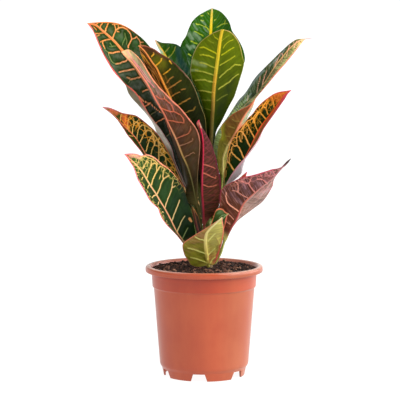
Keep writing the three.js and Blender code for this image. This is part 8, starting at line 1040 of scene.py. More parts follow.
        vein1=ramp(0.2, "#c07a5a", 0.4, "#ea9a74", 0.55, "#de8a6c", 0.75, "#e08a80", 0.9, "#e89a90"), vein2=ramp(0.2, "#a87068", 0.5, "#b88a86", 0.8, "#e08488", 1, "#e88a90"), v2a=0.7,
        mid=ramp(0.1, "#7a3a34", 0.3, "#b8504c", 0.5, "#cc7460", 0.7, "#b87a74", 0.9, "#a86a74", 1, "#3a2e2e"), midw=((0, 2.2), (0.4, 2.0), (0.7, 1.4), (0.9, 1.2), (1, 1.0)),
        edgeL=((0, 0.3), (0.3, 0.7), (0.6, 0.8), (0.85, 1.3), (0.92, 0.8), (1, 0.4)), edgecL=ramp(0.2, "#7a3a34", 0.4, "#9a3c40", 0.6, "#c23e54", 0.85, "#c83a5c", 0.93, "#a86a70", 1, "#3a2e2e"),
        edgeR=((0, 0.5), (0.2, 1.0), (0.35, 0.3), (0.5, 0.5), (0.65, 1.1), (0.85, 1.1), (1, 0.4)), edgecR=ramp(0.15, "#8a2a30", 0.4, "#b09090", 0.55, "#c05a6a", 0.8, "#c43e58", 1, "#4a3a3a"),
        stalkc=ramp(0, "#7f9048", 0.12, "#94a458", 0.2, "#7a4a34"), other=ramp(0, "#3a3020", 1, "#5a3434"), othera=0.6, tint_and_painted_light1=ramp(0, "#8d6f7a"), tint_and_painted_light1a=0.7, tint2=ramp(0, "#5f2c22"), tint2a=0.7,
        net=((0.86, -0.3, 0.08, 0.9, 0.4), (0.75, 0.4, 0.2, 0.5, 0.2)), netx=0.3, nety=0.25, ribc=0.16, rib=1.1),
    "leaf_low_front_small": dict(
        seen="top", slot=G_, seed=23, step=0.6, rough=0.32, coat=0.2,
        cellL=ramp(0, "#2f6a2a", 0.5, "#3a742c", 0.8, "#4f8254", 1, "#5f8a60"), cellR=ramp(0, "#2f6a2a", 0.5, "#2f6030", 0.8, "#44705a", 1, "#5f8a60"),
        vein1=ramp(0, "#8fb070"), vein2=ramp(0, "#6f9a60"), v2a=0.6, mid=ramp(0, "#7aa050", 1, "#8fae70"), midw=((0, 2.0), (1, 1.0)),
        edgeL=((0, 0.2), (0.5, 0.8), (1, 1.2)), edgecL=ramp(0, "#8a5a30", 0.6, "#d9704a", 1, "#de7a58"), edgeR=((0, 0.2), (0.5, 0.8), (1, 1.2)), edgecR=ramp(0, "#8a5a30", 0.6, "#c8583c", 1, "#d9705a"),
        stalkc=ramp(0, "#7f9a48"), other=ramp(0, "#5f8a48"), othera=0.8, tint_and_painted_light1=ramp(0, "#86a894"), tint_and_painted_light1a=0.8),
    "leaf_left_gold_veined": dict(
        seen="top", slot=G_, seed=24, step=0.6, rough=0.36, relief=1.4,
        cellL=ramp(0.2, "#1c2c12", 0.6, "#1e3012", 0.8, "#2a3014", 0.93, "#a85040", 1, "#b06a68"), cellR=ramp(0.2, "#16220e", 0.45, "#1a2c10", 0.7, "#18260e", 0.86, "#4a3414", 0.94, "#b86040", 1, "#b06a68"),
        cell_sheen=0.4, cell_sheen0=1.0, cell_sheen1=3.6, cell_sheen_col=ramp(0.3, "#26331e", 0.8, "#2c3620"),
        vein1=ramp(0.2, "#d08a4a", 0.45, "#dc9a56", 0.65, "#e8a25c", 0.85, "#e09a50", 1, "#dc6a44"), vein2=ramp(0.2, "#b8862e", 1, "#d09a3a"), v2a=0.8, mid=ramp(0.2, "#c8704a", 0.6, "#e2825a", 0.85, "#d9704c", 1, "#b86a66"), midw=((0, 2.2), (0.5, 1.9), (0.85, 1.4), (1, 1.0)),
        edgeL=((0, 0.3), (0.5, 1.0), (0.8, 1.3), (1, 1.2)), edgecL=ramp(0.3, "#b84a3a", 0.6, "#cc4c50", 0.85, "#c4504e", 1, "#a8646c"), edgeR=((0, 0.6), (0.35, 0.9), (0.6, 0.9), (0.8, 1.1), (1, 1.3)), edgecR=ramp(0.1, "#c8a080", 0.3, "#d8906c", 0.5, "#cf7a4a", 0.65, "#b8604a", 0.85, "#a84438", 1, "#b0606a"),
        stalkc=ramp(0, "#93a456", 0.2, "#b8b478"), other=ramp(0.3, "#7a6a58", 0.6, "#806a50", 1, "#a06a60"), othera=0.8, tint_and_painted_light1=ramp(0.8, "#d8642a", 0.93, "#c05a3c", 1, "#b86a5a"), tint_and_painted_light1a=0.95, tint2=ramp(0, "#a8862a"), tint2a=0.6,
        net=((0.72, 0.68, 0.16, 0.45, 0.9), (0.5, 0.78, 0.2, 0.4, 0.9), (0.8, 0.3, 0.06, 0.5, 0.4), (0.35, 0.7, 0.1, 0.5, 0.6)), netx=0.42, nety=0.34, netw=0.07, brk=0.8),
    # the near-black first tint along the right margin of this leaf is painted shade
    "leaf_low_left_green": dict(
        seen="top", slot=G_, seed=25, step=0.68, rough=0.36, relief=1.4,
        cellL=ramp(0.1, "#1c3020", 0.4, "#27451f", 0.7, "#2c4a20", 0.9, "#4a6a30", 1, "#e07a70"), cellR=ramp(0.1, "#14241a", 0.25, "#1d3324", 0.42, "#26402a", 0.6, "#325530", 0.78, "#3a5f34", 0.92, "#5a7a4a", 1, "#e07a70"),
        cell_sheen=0.6, cell_sheen0=0.8, cell_sheen1=5.0, cell_sheen_min=0.4, cell_sheen_col=ramp(0.2, "#2a3f36", 0.45, "#3f5c42", 0.7, "#55704e", 1, "#7f9a7c"),
        vein1=ramp(0.2, "#a8a468", 0.3, "#d9bf8a", 0.5, "#efc48e", 0.75, "#f4c878", 1, "#f4b888"), vein2=ramp(0, "#8a9460"), v2a=0.7, mid=ramp(0.1, "#a88a60", 0.25, "#e0987a", 0.45, "#ee9f7c", 0.65, "#f0b884", 0.85, "#f0b070", 1, "#e8706a"), midw=((0, 2.4), (0.3, 2.0), (0.6, 2.2), (0.9, 1.8), (1, 1.2)),
        edgeL=((0, 0.3), (0.2, 0.9), (0.5, 1.3), (0.8, 1.3), (1, 1.4)), edgecL=ramp(0.1, "#c05a58", 0.4, "#ea6c74", 0.8, "#ee7280", 1, "#d84a60"), edgeR=((0, 0), (0.3, 0.0), (0.42, 0.9), (0.6, 1.2), (1, 1.4)), edgecR=ramp(0.3, "#7a4a34", 0.45, "#c05038", 0.6, "#dc7c58", 0.8, "#ee9a78", 1, "#e8707a"),
        stalkc=ramp(0, "#6f7f44", 0.2, "#8a7a4a"), other=ramp(0, "#6f7a50", 1, "#8f8a60"), othera=0.8, tint_and_painted_light1=ramp(0, "#101a12"), tint_and_painted_light1a=0.85, tint2=ramp(0, "#eaa08a"), tint2a=0.7,
        net=((0.86, 0.5, 0.1, 0.9, 0.7), (0.72, 0.9, 0.2, 0.3, 0.8), (0.9, -0.4, 0.1, 0.8, 0.6), (0.6, -0.75, 0.35, 0.4, 0.35)), netx=0.36, nety=0.3, netw=0.06, brk=0.9),
}


def back(seed, slot, cell, vein, midc, edge, tone, gap=8.0, stalk="#7f8f48"):
    return dict(
        seen="top", slot=slot, seed=seed, step=1.0, rough=0.38, relief=1.2, cellL=cell, cellR=cell, cell_sheen=0.5, cell_sheen_col=tone, vein1=vein, vein2=vein, v2a=0.7, mid=midc,
        midw=((0, 2.6), (0.5, 2.2), (1, 1.2)), edgeL=((0, 0.4), (0.3, 1.0), (1, 1.2)), edgecL=edge, edgeR=((0, 0.4), (0.3, 1.0), (1, 1.2)), edgecR=edge,
        stalkc=ramp(0, stalk), other=tone, othera=0.6,
        auto=(dict([("from", 0.06), ("to", 0.9), ("gap", gap), ("angle", 58), ("w", 1.2), ("cls", 1), ("curl", 0.35), ("reach", 0.78), ("fork", 0.5)]),),
        net=((0.75, 0.8, 0.3, 0.4, 0.7), (0.75, -0.8, 0.3, 0.4, 0.7)))


SPECS.update({
    "leaf_back_upper": back(31, G_, ramp(0, "#1f3a1a", 1, "#2a4f1f"), ramp(0, "#c8b050", 1, "#e0a84a"), ramp(0, "#b8a040", 1, "#e8b048"), ramp(0, "#b8603a", 1, "#d8704a"), ramp(0, "#4a6a3a", 1, "#5f7a44")),
    "leaf_back_upper_left": back(32, G_, ramp(0, "#1c3018", 1, "#24401c"), ramp(0, "#e09a58", 1, "#f0a060"), ramp(0, "#e08a58", 1, "#f08a50"), ramp(0, "#c8504a", 1, "#e0605a"), ramp(0, "#5a6a48", 1, "#6f7a50")),
    "leaf_back_right": back(33, G_, ramp(0, "#2a3a1a", 1, "#4a5020"), ramp(0, "#d8a050", 1, "#e8b060"), ramp(0, "#d89048", 1, "#e8a050"), ramp(0, "#b85a4a", 1, "#d0604a"), ramp(0, "#6a7040", 1, "#8a8a50")),
    "leaf_back_middle": back(34, G_, ramp(0, "#22401f", 1, "#2f5524"), ramp(0, "#d8c070", 1, "#f0c878"), ramp(0, "#d8b070", 1, "#f0b078"), ramp(0, "#c8585a", 1, "#e86a74"), ramp(0, "#4f6a44", 1, "#6a8050")),
    "leaf_back_low_left": back(35, G_, ramp(0, "#27331a", 1, "#3a4a20"), ramp(0, "#d8904a", 1, "#e8a050"), ramp(0, "#d8804a", 1, "#e08a50"), ramp(0, "#b84a44", 1, "#c8584a"), ramp(0, "#5f6a3c", 1, "#7a7a48")),
    "leaf_back_low_right": back(36, M_, ramp(0, "#3f1f1a", 0.8, "#5a2a22", 0.92, "#b05038", 1, "#e05060"), ramp(0, "#c8604a", 1, "#e07058"), ramp(0, "#b8404a", 0.9, "#d8503c", 1, "#ea5a78"), ramp(0, "#a83a4a", 0.9, "#c8483c", 1, "#ea5a78"), ramp(0, "#6a4038", 1, "#8a4a44"), stalk="#7a5a3c"),
    "leaf_back_low": back(37, G_, ramp(0, "#2a5a24", 1, "#3a6a2c"), ramp(0, "#b8c060", 1, "#d0c868"), ramp(0, "#b8b860", 1, "#d8c870"), ramp(0, "#c8604a", 1, "#d8705a"), ramp(0, "#5f8048", 1, "#7a9a58"), gap=6.5),
})

SPECS["leaf_small_centre_maroon"] = dict(
    seen="under", slot=M_, seed=38, step=0.6, rough=0.45,
    cellL=ramp(0, "#3a1d14", 0.5, "#44201a", 1, "#5a3018"), cellR=ramp(0, "#1c1a10", 0.5, "#221c12", 1, "#3a2a14"),
    vein1=ramp(0, "#70342a", 1, "#80452f"), mid=ramp(0, "#6a342c", 0.4, "#6a2e2c", 0.8, "#683a22", 1, "#7a5c30"), midw=((0, 1.5), (1, 1.2)),
    edgeL=((0, 0.2), (0.5, 0.5), (1, 0.8)), edgecL=ramp(0, "#4a2a22", 0.7, "#7a4630", 1, "#b07f40"), edgeR=((0, 0.2), (0.6, 0.5), (1, 0.8)), edgecR=ramp(0, "#3f2018", 0.6, "#703820", 1, "#a8642f"),
    stalkc=ramp(0, "#6a3a30"), other=ramp(0, "#2a3a1c", 1, "#3a4a20"), othera=0.7)

# strength of the cell colours (cg) and of the vein colours (vg), channel by channel, and a bright border along the veins
TUNE = {
    # painted shade in the darker stalk colour; the pale band near r 0.38 in the colour of the far face is painted light
    # lifting the shaded underside
    "leaf_upper_left": dict(stalkc=ramp(0, "#565a2c", 0.12, "#45421f", 0.2, "#3f3a1c"), grow=((-0.9, -0.4, 0.19, 0.37, (-1.9, 0.0, -0.8)),), mid=ramp(0.08, "#4a2c1c", 0.2, "#6a3a2a", 0.3, "#c4664f", 0.45, "#d9705a", 0.6, "#f0805c", 0.8, "#f98a4a", 1, "#f77a44"), cg=(0.72, 0.7, 0.2), vg=(1.1, 1.2, 1.1), halo=0.4, haloc=ramp(0.3, "#1c330e", 1, "#3a5a14"), halow=1.2, cell_sheen=0.62, cell_sheen0=1.5, cell_sheen1=3.4, cell_sheen_min=0.0, vein3other=ramp(0, "#e0604e"), edgeo=0.85, edgeoc=ramp(0.0, "#a79ca0", 0.42, "#a79ca0", 0.5, "#c0705c", 0.62, "#dc5a48", 1, "#d85040"),
                            cellL=ramp(0.2, "#10160c", 0.5, "#161f10", 0.6, "#1d2c16", 0.7, "#1e331d", 0.85, "#21401e", 1, "#3a4a1e"),
                            cellR=ramp(0.2, "#0f150b", 0.45, "#15200f", 0.6, "#24481f", 0.8, "#21401e", 1, "#3a4a1e"),
                            cell_sheen_col=ramp(0.3, "#171c10", 0.42, "#1f2618", 0.52, "#3a4034", 0.65, "#4e544a", 0.8, "#565e48", 1, "#52603a"),
                            other=ramp(0.0, "#4a4028", 0.2, "#56482f", 0.3, "#857660", 0.38, "#cfc6b8", 0.5, "#b8aea0", 0.58, "#827660", 0.75, "#68603f", 1, "#7a6c48")),
    # painted shade in the darker stalk colour
    "leaf_mid_left_front": dict(stalkc=ramp(0, "#5c6030", 0.1, "#4f4824", 0.2, "#463f20"), tint_and_painted_light1a=0.55, tint_and_painted_light1=ramp(0, "#7c8668"), tint2=ramp(0, "#dcb888"), tint2a=0.8, cg=(0.52, 0.48, 0.24), vg=(0.82, 0.7, 0.62), netx=0.3, nety=0.24, netw=0.03, nets=0.06, ribc=0.4, rib=0.4,
                                mid=ramp(0.1, "#5a5a30", 0.2, "#66603a", 0.28, "#7a6c3c", 0.35, "#a8874e", 0.48, "#c98a60", 0.58, "#e27c5e", 0.8, "#ee7e62", 1, "#f0a070"), cellL=ramp(0.1, "#3f3e1a", 0.24, "#3f3e1a", 0.34, "#3f3a1c", 0.5, "#4a3a28", 0.62, "#8a5a44", 0.9, "#c08a66", 1, "#f0c08a"),
                                cellR=ramp(0.1, "#4f4c24", 0.22, "#3d3218", 0.34, "#52402a", 0.46, "#624030", 0.56, "#6a4436", 0.62, "#7a4c40", 0.7, "#85685e", 0.8, "#94857a", 0.88, "#a8937c", 0.93, "#d0a880", 0.97, "#e8c48c", 1, "#ecc088"),
                                edgeR=((0, 0.4), (0.2, 0.6), (0.35, 0.8), (0.45, 1.1), (0.6, 1.2), (0.85, 1.1), (0.93, 0.3), (1, 0.3)),
                                net=((0.74, 0.35, 0.2, 0.7, 1.0),), neta=0.12, vw={1: 0.8, 2: 0.8, 3: 0.55}, vein3=ramp(0, "#e8808a"),
                                streaks_and_glints=((0.5, 0.5, 0.58, 0.55, 0.035, 0.0, "net", ramp(0.5, "#9c6860", 0.7, "#a08480", 0.85, "#86886a", 1, "#d09c80")), (0.6, 0.52, 0.6, 0.5, 0.04, 0.0, "net", ramp(0.5, "#7a342c", 0.7, "#7a4440", 0.85, "#8a5c4c", 1, "#e08a70")),
                                         (0.5, 0.48, 0.6, 0.06, 0.6, 0.5, "both", ramp(0, "#3a2c14", 0.4, "#4a2e20", 0.6, "#5c3a2c", 0.75, "#8a7068", 1, "#c8a888"))), edgeL=((0, 1.0), (0.18, 1.0), (0.3, 0.4), (0.55, 0.3), (0.62, 1.0), (1, 1.0)),
                                edgecL=ramp(0, "#a08a60", 0.2, "#a08a60", 0.3, "#6a5a3a", 0.5, "#d9735a", 1, "#ee7e62")),
    "leaf_centre_left": dict(edgeR=((0, 0), (0.3, 0.4), (0.45, 0.5), (0.62, 0.7), (0.72, 1.2), (0.9, 1.3), (1, 1)), edgecR=ramp(0.2, "#4a4426", 0.45, "#7c6630", 0.6, "#7f6a44", 0.7, "#7a5a48", 0.8, "#5a2a22", 1, "#8a4a34"), cg=(0.34, 0.54, 0.04), vg=(0.92, 1.1, 0.42), ribc=0.25, rib=0.4, net=((0.82, -0.55, 0.25, 0.7, 1.0),), neta=0.1, netx=0.34, nety=0.05, netw=0.035, nets=0.06,
                             streaks_and_glints=((0.75, 0.52, 0.59, 0.62, 0.035, 0.25, "net", ramp(0, "#a8641e", 0.7, "#c87c28", 1, "#d88a44")),), netc=ramp(0, "#c07a30", 1, "#e09040"),
                             vein2=ramp(0.3, "#6f5820", 0.5, "#a07a30", 0.7, "#c0803a", 0.9, "#c88a4c")),
    "leaf_centre_front": dict(mid=ramp(0.1, "#4a4020", 0.25, "#5a4c28", 0.4, "#615625", 0.46, "#715c25", 0.53, "#92722d", 0.6, "#ad8629", 0.68, "#bc8f2a", 0.75, "#c5aa30", 0.82, "#c9b028", 0.89, "#deba26", 1, "#d8b430"), midw=((0, 3.4), (0.3, 3.8), (0.6, 3.7), (0.9, 3.5), (1, 3.1)), cg=(0.56, 0.62, 0.1), vg=(0.9, 0.95, 0.75), ribc=0.16, rib=0.4, tint_and_painted_light1=ramp(0, "#96a86c"), tint_and_painted_light1a=0.62),
    "leaf_top_back": dict(cg=(0.95, 0.74, 0.02), other=ramp(0, "#4a6f2a", 1, "#557c30"), othera=0.7, vg=(1.05, 1.05, 0.6), tint_and_painted_light1a=0.62, cell_sheen=0.22, tint_and_painted_light1=ramp(0.4, "#6f857c", 0.7, "#8a9f80"), vw={1: 0.75, 2: 0.7}, v2a=0.4, tint2a=0.4),
    # painted glints in the pale streaks on the right half; painted shade in the darker stalk colour
    "leaf_small_back_left": dict(stalkc=ramp(0, "#5a5a2c", 0.12, "#4a3c20", 0.25, "#4a4224"), cg=(1.5, 1.0, 0.15), vg=(1.05, 1.02, 0.65), streaks_and_glints=((0.75, 0.48, 0.62, 0.16, 0.2, 0.5, "right", ramp(0, "#6a806a", 0.6, "#5c7458", 1, "#3a5c2c")),)),
    # the near-white cells low on this leaf, in both halves, are painted light lifting a shaded part; the pale streaks
    # on its left half are painted sheen
    "leaf_right_long": dict(cg=(1.1, 1.2, 0.5), cgR=(1.35, 1.3, 0.7), vg=(1.6, 1.5, 1.6), vw={1: 0.8, 2: 0.8},
                            cellL=ramp(0.22, "#d4e2c0", 0.33, "#ccdcb8", 0.4, "#a4b49a", 0.46, "#8a9a86", 0.54, "#55645a", 0.7, "#46564c", 0.86, "#3f5040", 0.95, "#8f8a70", 1, "#f0a090"), cellR=ramp(0.25, "#d4dab4", 0.35, "#c4caa4", 0.45, "#94987a", 0.55, "#8a8a68", 0.7, "#908c6c", 0.85, "#8c906c", 0.95, "#c8a080", 1, "#f0a090"), neta=0.35, netc=ramp(0, "#d8b088", 1, "#e0b890"),
                            net=((0.75, 1.0, 0.35, 0.7, 0.7),), netx=0.3, nety=0.2, netw=0.04, nets=0.07,
                            edgeL=((0, 0), (0.1, 1.4), (0.3, 1.8), (0.42, 1.2), (0.5, 0.9), (0.58, 0.4), (0.85, 0.4), (0.92, 1.0), (1, 1)),
                            mid=ramp(0.25, "#b9b87e", 0.45, "#c4b07a", 0.6, "#f0b478", 0.8, "#ffc080", 0.94, "#f4b08a", 1, "#f08a94"),
                            streak=(0.9, 0.47, 0.53, 0.1, 0.6), streakc=ramp(0.2, "#2e4030", 0.5, "#263a14", 0.7, "#2e420c", 1, "#3a4c14"), streakr=ramp(0.0, 0.2, 0.25, 0.4, 0.4, 1.0, 0.9, 0.8),
                            streaks_and_glints=((0.6, 0.54, 0.6, 0.12, 0.42, 0.9, "left", ramp(0.2, "#b4bca4", 0.5, "#9aa898", 0.7, "#a89878", 0.85, "#c0a080", 1, "#e0b090")), (0.5, 0.5, 0.6, 0.5, 0.12, 0.0, "right", ramp(0.3, "#c8c89c", 0.6, "#4e5c24", 1, "#a88a50")))),
    "leaf_right_brown": dict(cg=(0.96, 0.84, 0.76), vg=(0.9, 0.8, 0.42), ribc=0.24, rib=0.4),
    "leaf_right_orange_veined": dict(cg=(0.7, 1.5, 0.12), vg=(1.35, 1.9, 1.2), netx=0.22, nety=0.2, netw=0.035, nets=0.06, netc=ramp(0.3, "#f0a448", 0.6, "#f8a82c", 1, "#f08a34"), halo=0.25, haloc=ramp(0, "#2c4412", 1, "#5a5014"), halow=1.1,
                                     cellR=ramp(0.2, "#2a3a18", 0.42, "#3a3a18", 0.55, "#8a5a30", 0.8, "#a85a30", 0.95, "#c8602c", 1, "#e0606a"),
                                     net=((0.86, -0.55, 0.1, 0.7, 0.6), (0.7, -0.9, 0.2, 0.28, 0.8), (0.5, -0.95, 0.25, 0.2, 0.5), (0.62, -0.5, 0.1, 0.25, 0.35)),
                                     edgeR=((0, 0), (0.3, 2.0), (0.6, 6.0), (0.85, 5.0), (1, 2.0)), tint_and_painted_light1a=0.6, tint2a=0.8, cgR=(1.0, 1.0, 1.0), edgeo=0.5, edgeoc=ramp(0, "#d0909a", 1, "#d8506a")),
    "leaf_centre_maroon": dict(midw=((0, 1.9), (0.5, 1.6), (0.9, 1.4), (1, 0.8)), streaks_and_glints=((0.28, 0.5, 0.62, 0.1, 0.55, 0.3, "both", ramp(0, "#7a3030", 0.6, "#8a3c40", 1, "#7a4048")), (0.35, 0.5, 0.6, 0.12, 0.3, 0.3, "both", ramp(0, "#2f1612", 0.6, "#3a1a1a", 1, "#3a1c20"))), cg=(1.1, 1.9, 0.82), vg=(1.05, 1.9, 1.2), ribc=0.4, rib=0.4,
                               vein1=ramp(0.2, "#9a4440", 0.5, "#c4504c", 0.8, "#c04a58", 1, "#b04a50"),
                               auto=(dict([("from", 0.15), ("to", 0.95), ("gap", 5.5), ("angle", 68), ("w", 0.85), ("cls", 2), ("curl", 0.25), ("reach", 0.85), ("sides", (1,))]),), vein2=ramp(0.2, "#70322a", 0.5, "#8a3c3a", 1, "#964250"), v2a=0.6),
    "leaf_low_front_olive": dict(cg=(1.35, 1.28, 1.3), vg=(1.1, 1.28, 1.2), ribc=0.26, rib=0.4, mid=ramp(0, "#cbb84c", 0.3, "#d8c668", 0.6, "#dccd80", 1, "#dccf98"), midw=((0, 5.0), (0.3, 4.6), (0.6, 3.4), (0.9, 2.0), (1, 1.2)),
                                 edgeR=((0, 0.8), (0.3, 1.8), (0.7, 1.5), (1, 1.3)), edgecR=ramp(0, "#b0503c", 0.4, "#c85848", 0.7, "#d06a54", 1, "#d87a68"), streaks_and_glints=((0.4, 0.52, 0.62, 0.08, 0.5, 0.5, "both", ramp(0, "#8a5a34", 0.5, "#a07a54", 1, "#a8a47c")),)),
    # the pale pink and grey streaks on this leaf are painted sheen; the dark streaks are its own colour
    "leaf_low_right_maroon": dict(tail=(0.88, 0.93, 1.15), cg=(1.35, 1.35, 0.95), vg=(1.25, 1.3, 1.5), ribc=0.34, rib=0.4, tint_and_painted_light1a=0.2, tint2a=0.45, cell_sheen=0.08, stalkc=ramp(0, "#b4b860", 0.12, "#b8ba68", 0.2, "#8a5a3c"), vw={1: 0.72, 2: 0.8},
                                  vein1=ramp(0.2, "#c07a5a", 0.35, "#ea9a74", 0.5, "#dc8c70", 0.65, "#da8070", 0.9, "#de8880"),
                                  streaks_and_glints=((0.55, 0.5, 0.58, 0.45, 0.05, 0.5, "right", ramp(0.3, "#c0a09a", 0.6, "#cfa8a8", 0.9, "#d8a0a8", 1, "#5a4444")), (0.5, 0.52, 0.6, 0.07, 0.62, 0.45, "left", ramp(0.3, "#9a6a58", 0.6, "#b08088", 0.9, "#c890a0", 1, "#4a3838")), (0.5, 0.5, 0.6, 0.09, 0.4, 0.45, "left", ramp(0.3, "#3c1c14", 0.6, "#4c2826", 0.9, "#5a3034", 1, "#3a2c2c"))),
                                  net=((0.86, -0.3, 0.1, 0.9, 0.6), (0.75, 0.4, 0.2, 0.5, 0.3), (0.72, -0.85, 0.2, 0.3, 0.5)),
                                  cellR=ramp(0.15, "#6a2a24", 0.35, "#85605c", 0.5, "#8a7076", 0.65, "#7c6468", 0.8, "#7a6268", 0.9, "#8f7278", 0.96, "#4a3c3c", 1, "#3a3030"),
                                  streak=(0.6, 0.5, 0.62, 0.12, 0.6), streakc=ramp(0.2, "#4a2420", 0.6, "#5a3a3a", 0.9, "#6a4448"), streakr=ramp(0.0, 0.4, 1.0, 1.0),
                                  mid=ramp(0.1, "#7a3a34", 0.3, "#b8504c", 0.5, "#cc7460", 0.7, "#b87a74", 0.88, "#a86a74", 0.94, "#4a3a3a", 1, "#3a2e2e"),
                                  edgecL=ramp(0.2, "#7a3a34", 0.4, "#9a3c40", 0.6, "#c23e54", 0.85, "#c83a5c", 0.92, "#a86a70", 0.95, "#4a3838", 1, "#3a2e2e"),
                                  edgecR=ramp(0.15, "#8a2a30", 0.4, "#b09090", 0.55, "#c05a6a", 0.8, "#c43e58", 0.9, "#b04a60", 0.95, "#4a3a3a", 1, "#3a2e2e"), netx=0.2, nety=0.16),
    "leaf_low_front_small": dict(tint_and_painted_light1=ramp(0, "#6a8456"), tint_and_painted_light1a=0.45, cg=(0.6, 0.36, 0.16), coat=0.0, rough=0.45, edgeL=((0, 0.8), (1, 1.4)), edgeR=((0, 0.8), (1, 1.4))),
    "leaf_left_gold_veined": dict(grow=((0.9, 1.1, 0.3, 0.66, (0.7, 0.0, 0.35)),), cg=(0.24, 0.92, 0.04), vg=(1.25, 1.6, 1.5), netx=0.18, nety=0.15, netw=0.04, nets=0.05, netc=ramp(0.3, "#f0b044", 0.8, "#f8a42c"), halo=0.3, haloc=ramp(0, "#2a4a0c", 1, "#3a4a0e"), halow=1.0, tint2a=0.2, vw={1: 0.75, 2: 0.75},
                                  net=((0.72, 0.72, 0.16, 0.36, 0.75), (0.5, 0.85, 0.22, 0.3, 0.6), (0.8, 0.3, 0.06, 0.5, 0.6))),
    "leaf_low_left_green": dict(midw=((0, 1.8), (0.3, 1.5), (0.6, 1.6), (0.9, 1.4), (1, 1.0)), mid=ramp(0.1, "#8a7250", 0.25, "#c0845f", 0.45, "#dc946e", 0.65, "#e4ac7a", 0.85, "#ecaa6c", 1, "#e8706a"), edgeR=((0, 0), (0.5, 0.0), (0.58, 0.4), (0.7, 1.2), (1, 1.4)), cg=(0.38, 0.42, 0.15), vg=(0.85, 0.84, 0.74), netx=0.2, nety=0.2, netw=0.045, nets=0.05, netc=ramp(0, "#e8cf6c"), vein3=ramp(0, "#b07a48"), vw={1: 0.85}, halo=0.3, haloc=ramp(0, "#23400f", 1, "#4a6a18"), halow=1.2,
                                net=((0.86, 0.5, 0.1, 0.9, 0.42), (0.72, 0.92, 0.2, 0.16, 0.45), (0.9, -0.4, 0.1, 0.8, 0.42), (0.6, -0.85, 0.35, 0.25, 0.5)), cell_sheen=0.3, cell_sheen_col=ramp(0.2, "#18261c", 0.45, "#24382a", 0.7, "#33482e", 1, "#48583c"), ribc=0.3, rib=0.45),
    # the darker stalk colours of leaf_back_upper_left and leaf_back_middle are painted shade
    "leaf_back_upper": dict(cg=(0.8, 0.9, 0.4)), "leaf_back_upper_left": dict(stalkc=ramp(0, "#5a5a2c", 0.12, "#463e1e", 0.25, "#4a4424"), cg=(0.5, 0.6, 0.3)), "leaf_back_right": dict(cg=(0.7, 0.8, 0.4)), "leaf_back_middle": dict(stalkc=ramp(0, "#5a5a2c", 0.12, "#4a3f22", 0.25, "#4a4424"), cg=(0.45, 0.5, 0.3)),
    "leaf_back_low_left": dict(cg=(0.6, 0.7, 0.35)), "leaf_back_low": dict(cg=(0.8, 0.8, 0.5)),
}
for _name, _more in TUNE.items():
    SPECS[_name].update(_more)

STALKS = {
    "leaf_upper_left": 2,
    "leaf_mid_left_front": 2,
    "leaf_centre_left": 2,
    "leaf_centre_front": 2,
    "leaf_top_back": 2,
    "leaf_small_back_left": 2,
    "leaf_right_long": 2,
    "leaf_right_brown": 2,
    "leaf_right_orange_veined": 2,
    "leaf_centre_maroon": 2,
    "leaf_low_front_olive": 1,
    "leaf_low_right_maroon": 2,
    "leaf_low_front_small": 2,
    "leaf_left_gold_veined": 2,
    "leaf_low_left_green": 2,
    "leaf_small_centre_maroon": 2,
    "leaf_back_upper": 2,
    "leaf_back_upper_left": 2,
    "leaf_back_right": 2,
    "leaf_back_middle": 2,
    "leaf_back_low_left": 2,
    "leaf_back_low_right": 2,
    "leaf_back_low": 2,
}
for _name, _rows in STALKS.items():
    SPECS[_name]["stalk"] = _rows



# ---------------------------------------------------------------- numbers
def ease(a, b, x):
    t = np.clip((np.asarray(x, float) - a) / (b - a), 0, 1)
    return t * t * (3 - 2 * t)


def catmull(P, x):
    """Values of a uniform Catmull-Rom curve through the rows of P at positions x in 0..len(P)-1."""
    P = np.asarray(P, float)
    n = len(P)
    Q = np.concatenate([[2 * P[0] - P[1]], P, [2 * P[-1] - P[-2]]])
    i = np.minimum(x.astype(int), n - 2)
    f = (x - i).reshape(-1, *([1] * (P.ndim - 1)))
    a, b, c, d = Q[i], Q[i + 1], Q[i + 2], Q[i + 3]
    return 0.5 * (2 * b + (c - a) * f + (2 * a - 5 * b + 4 * c - d) * f ** 2 + (3 * b - a - 3 * c + d) * f ** 3)


class Noise:
    """Smooth seeded value noise in two dimensions."""

    def __init__(self, seed):
        self.t = np.random.default_rng(seed).random((64, 64))

    def __call__(self, x, y):
        x, y = np.asarray(x, float), np.asarray(y, float)
        xi, yi = np.floor(x).astype(int), np.floor(y).astype(int)
        fx, fy = x - xi, y - yi
        fx, fy = fx * fx * (3 - 2 * fx), fy * fy * (3 - 2 * fy)
        t = self.t
        g = lambda a, b: t[a % 64, b % 64]
        return (g(xi, yi) * (1 - fx) + g(xi + 1, yi) * fx) * (1 - fy) + (g(xi, yi + 1) * (1 - fx) + g(xi + 1, yi + 1) * fx) * fy

    def fractal(self, x, y, octaves=4):
        out, amp, tot = 0, 1.0, 0
        for k in range(octaves):
            out = out + amp * self(x * 2 ** k + 7.3 * k, y * 2 ** k + 3.1 * k)
            tot += amp
            amp *= 0.5
        return out / tot


def to_linear(hexa):
    h = hexa.lstrip("#")
    c = [int(h[i:i + 2], 16) / 255 for i in (0, 2, 4)]
    return tuple(v / 12.92 if v <= 0.04045 else ((v + 0.055) / 1.055) ** 2.4 for v in c) + (1.0,)


def floats(me, name, values, domain="POINT"):
    a = me.attributes.new(name, "FLOAT", domain)
    a.data.foreach_set("value", np.asarray(values, np.float32).ravel())


def vectors(me, name, x, y, z):
    a = me.attributes.new(name, "FLOAT_VECTOR", "POINT")
    a.data.foreach_set("vector", np.stack([np.ravel(x), np.ravel(y), np.ravel(z)], -1).astype(np.float32).ravel())


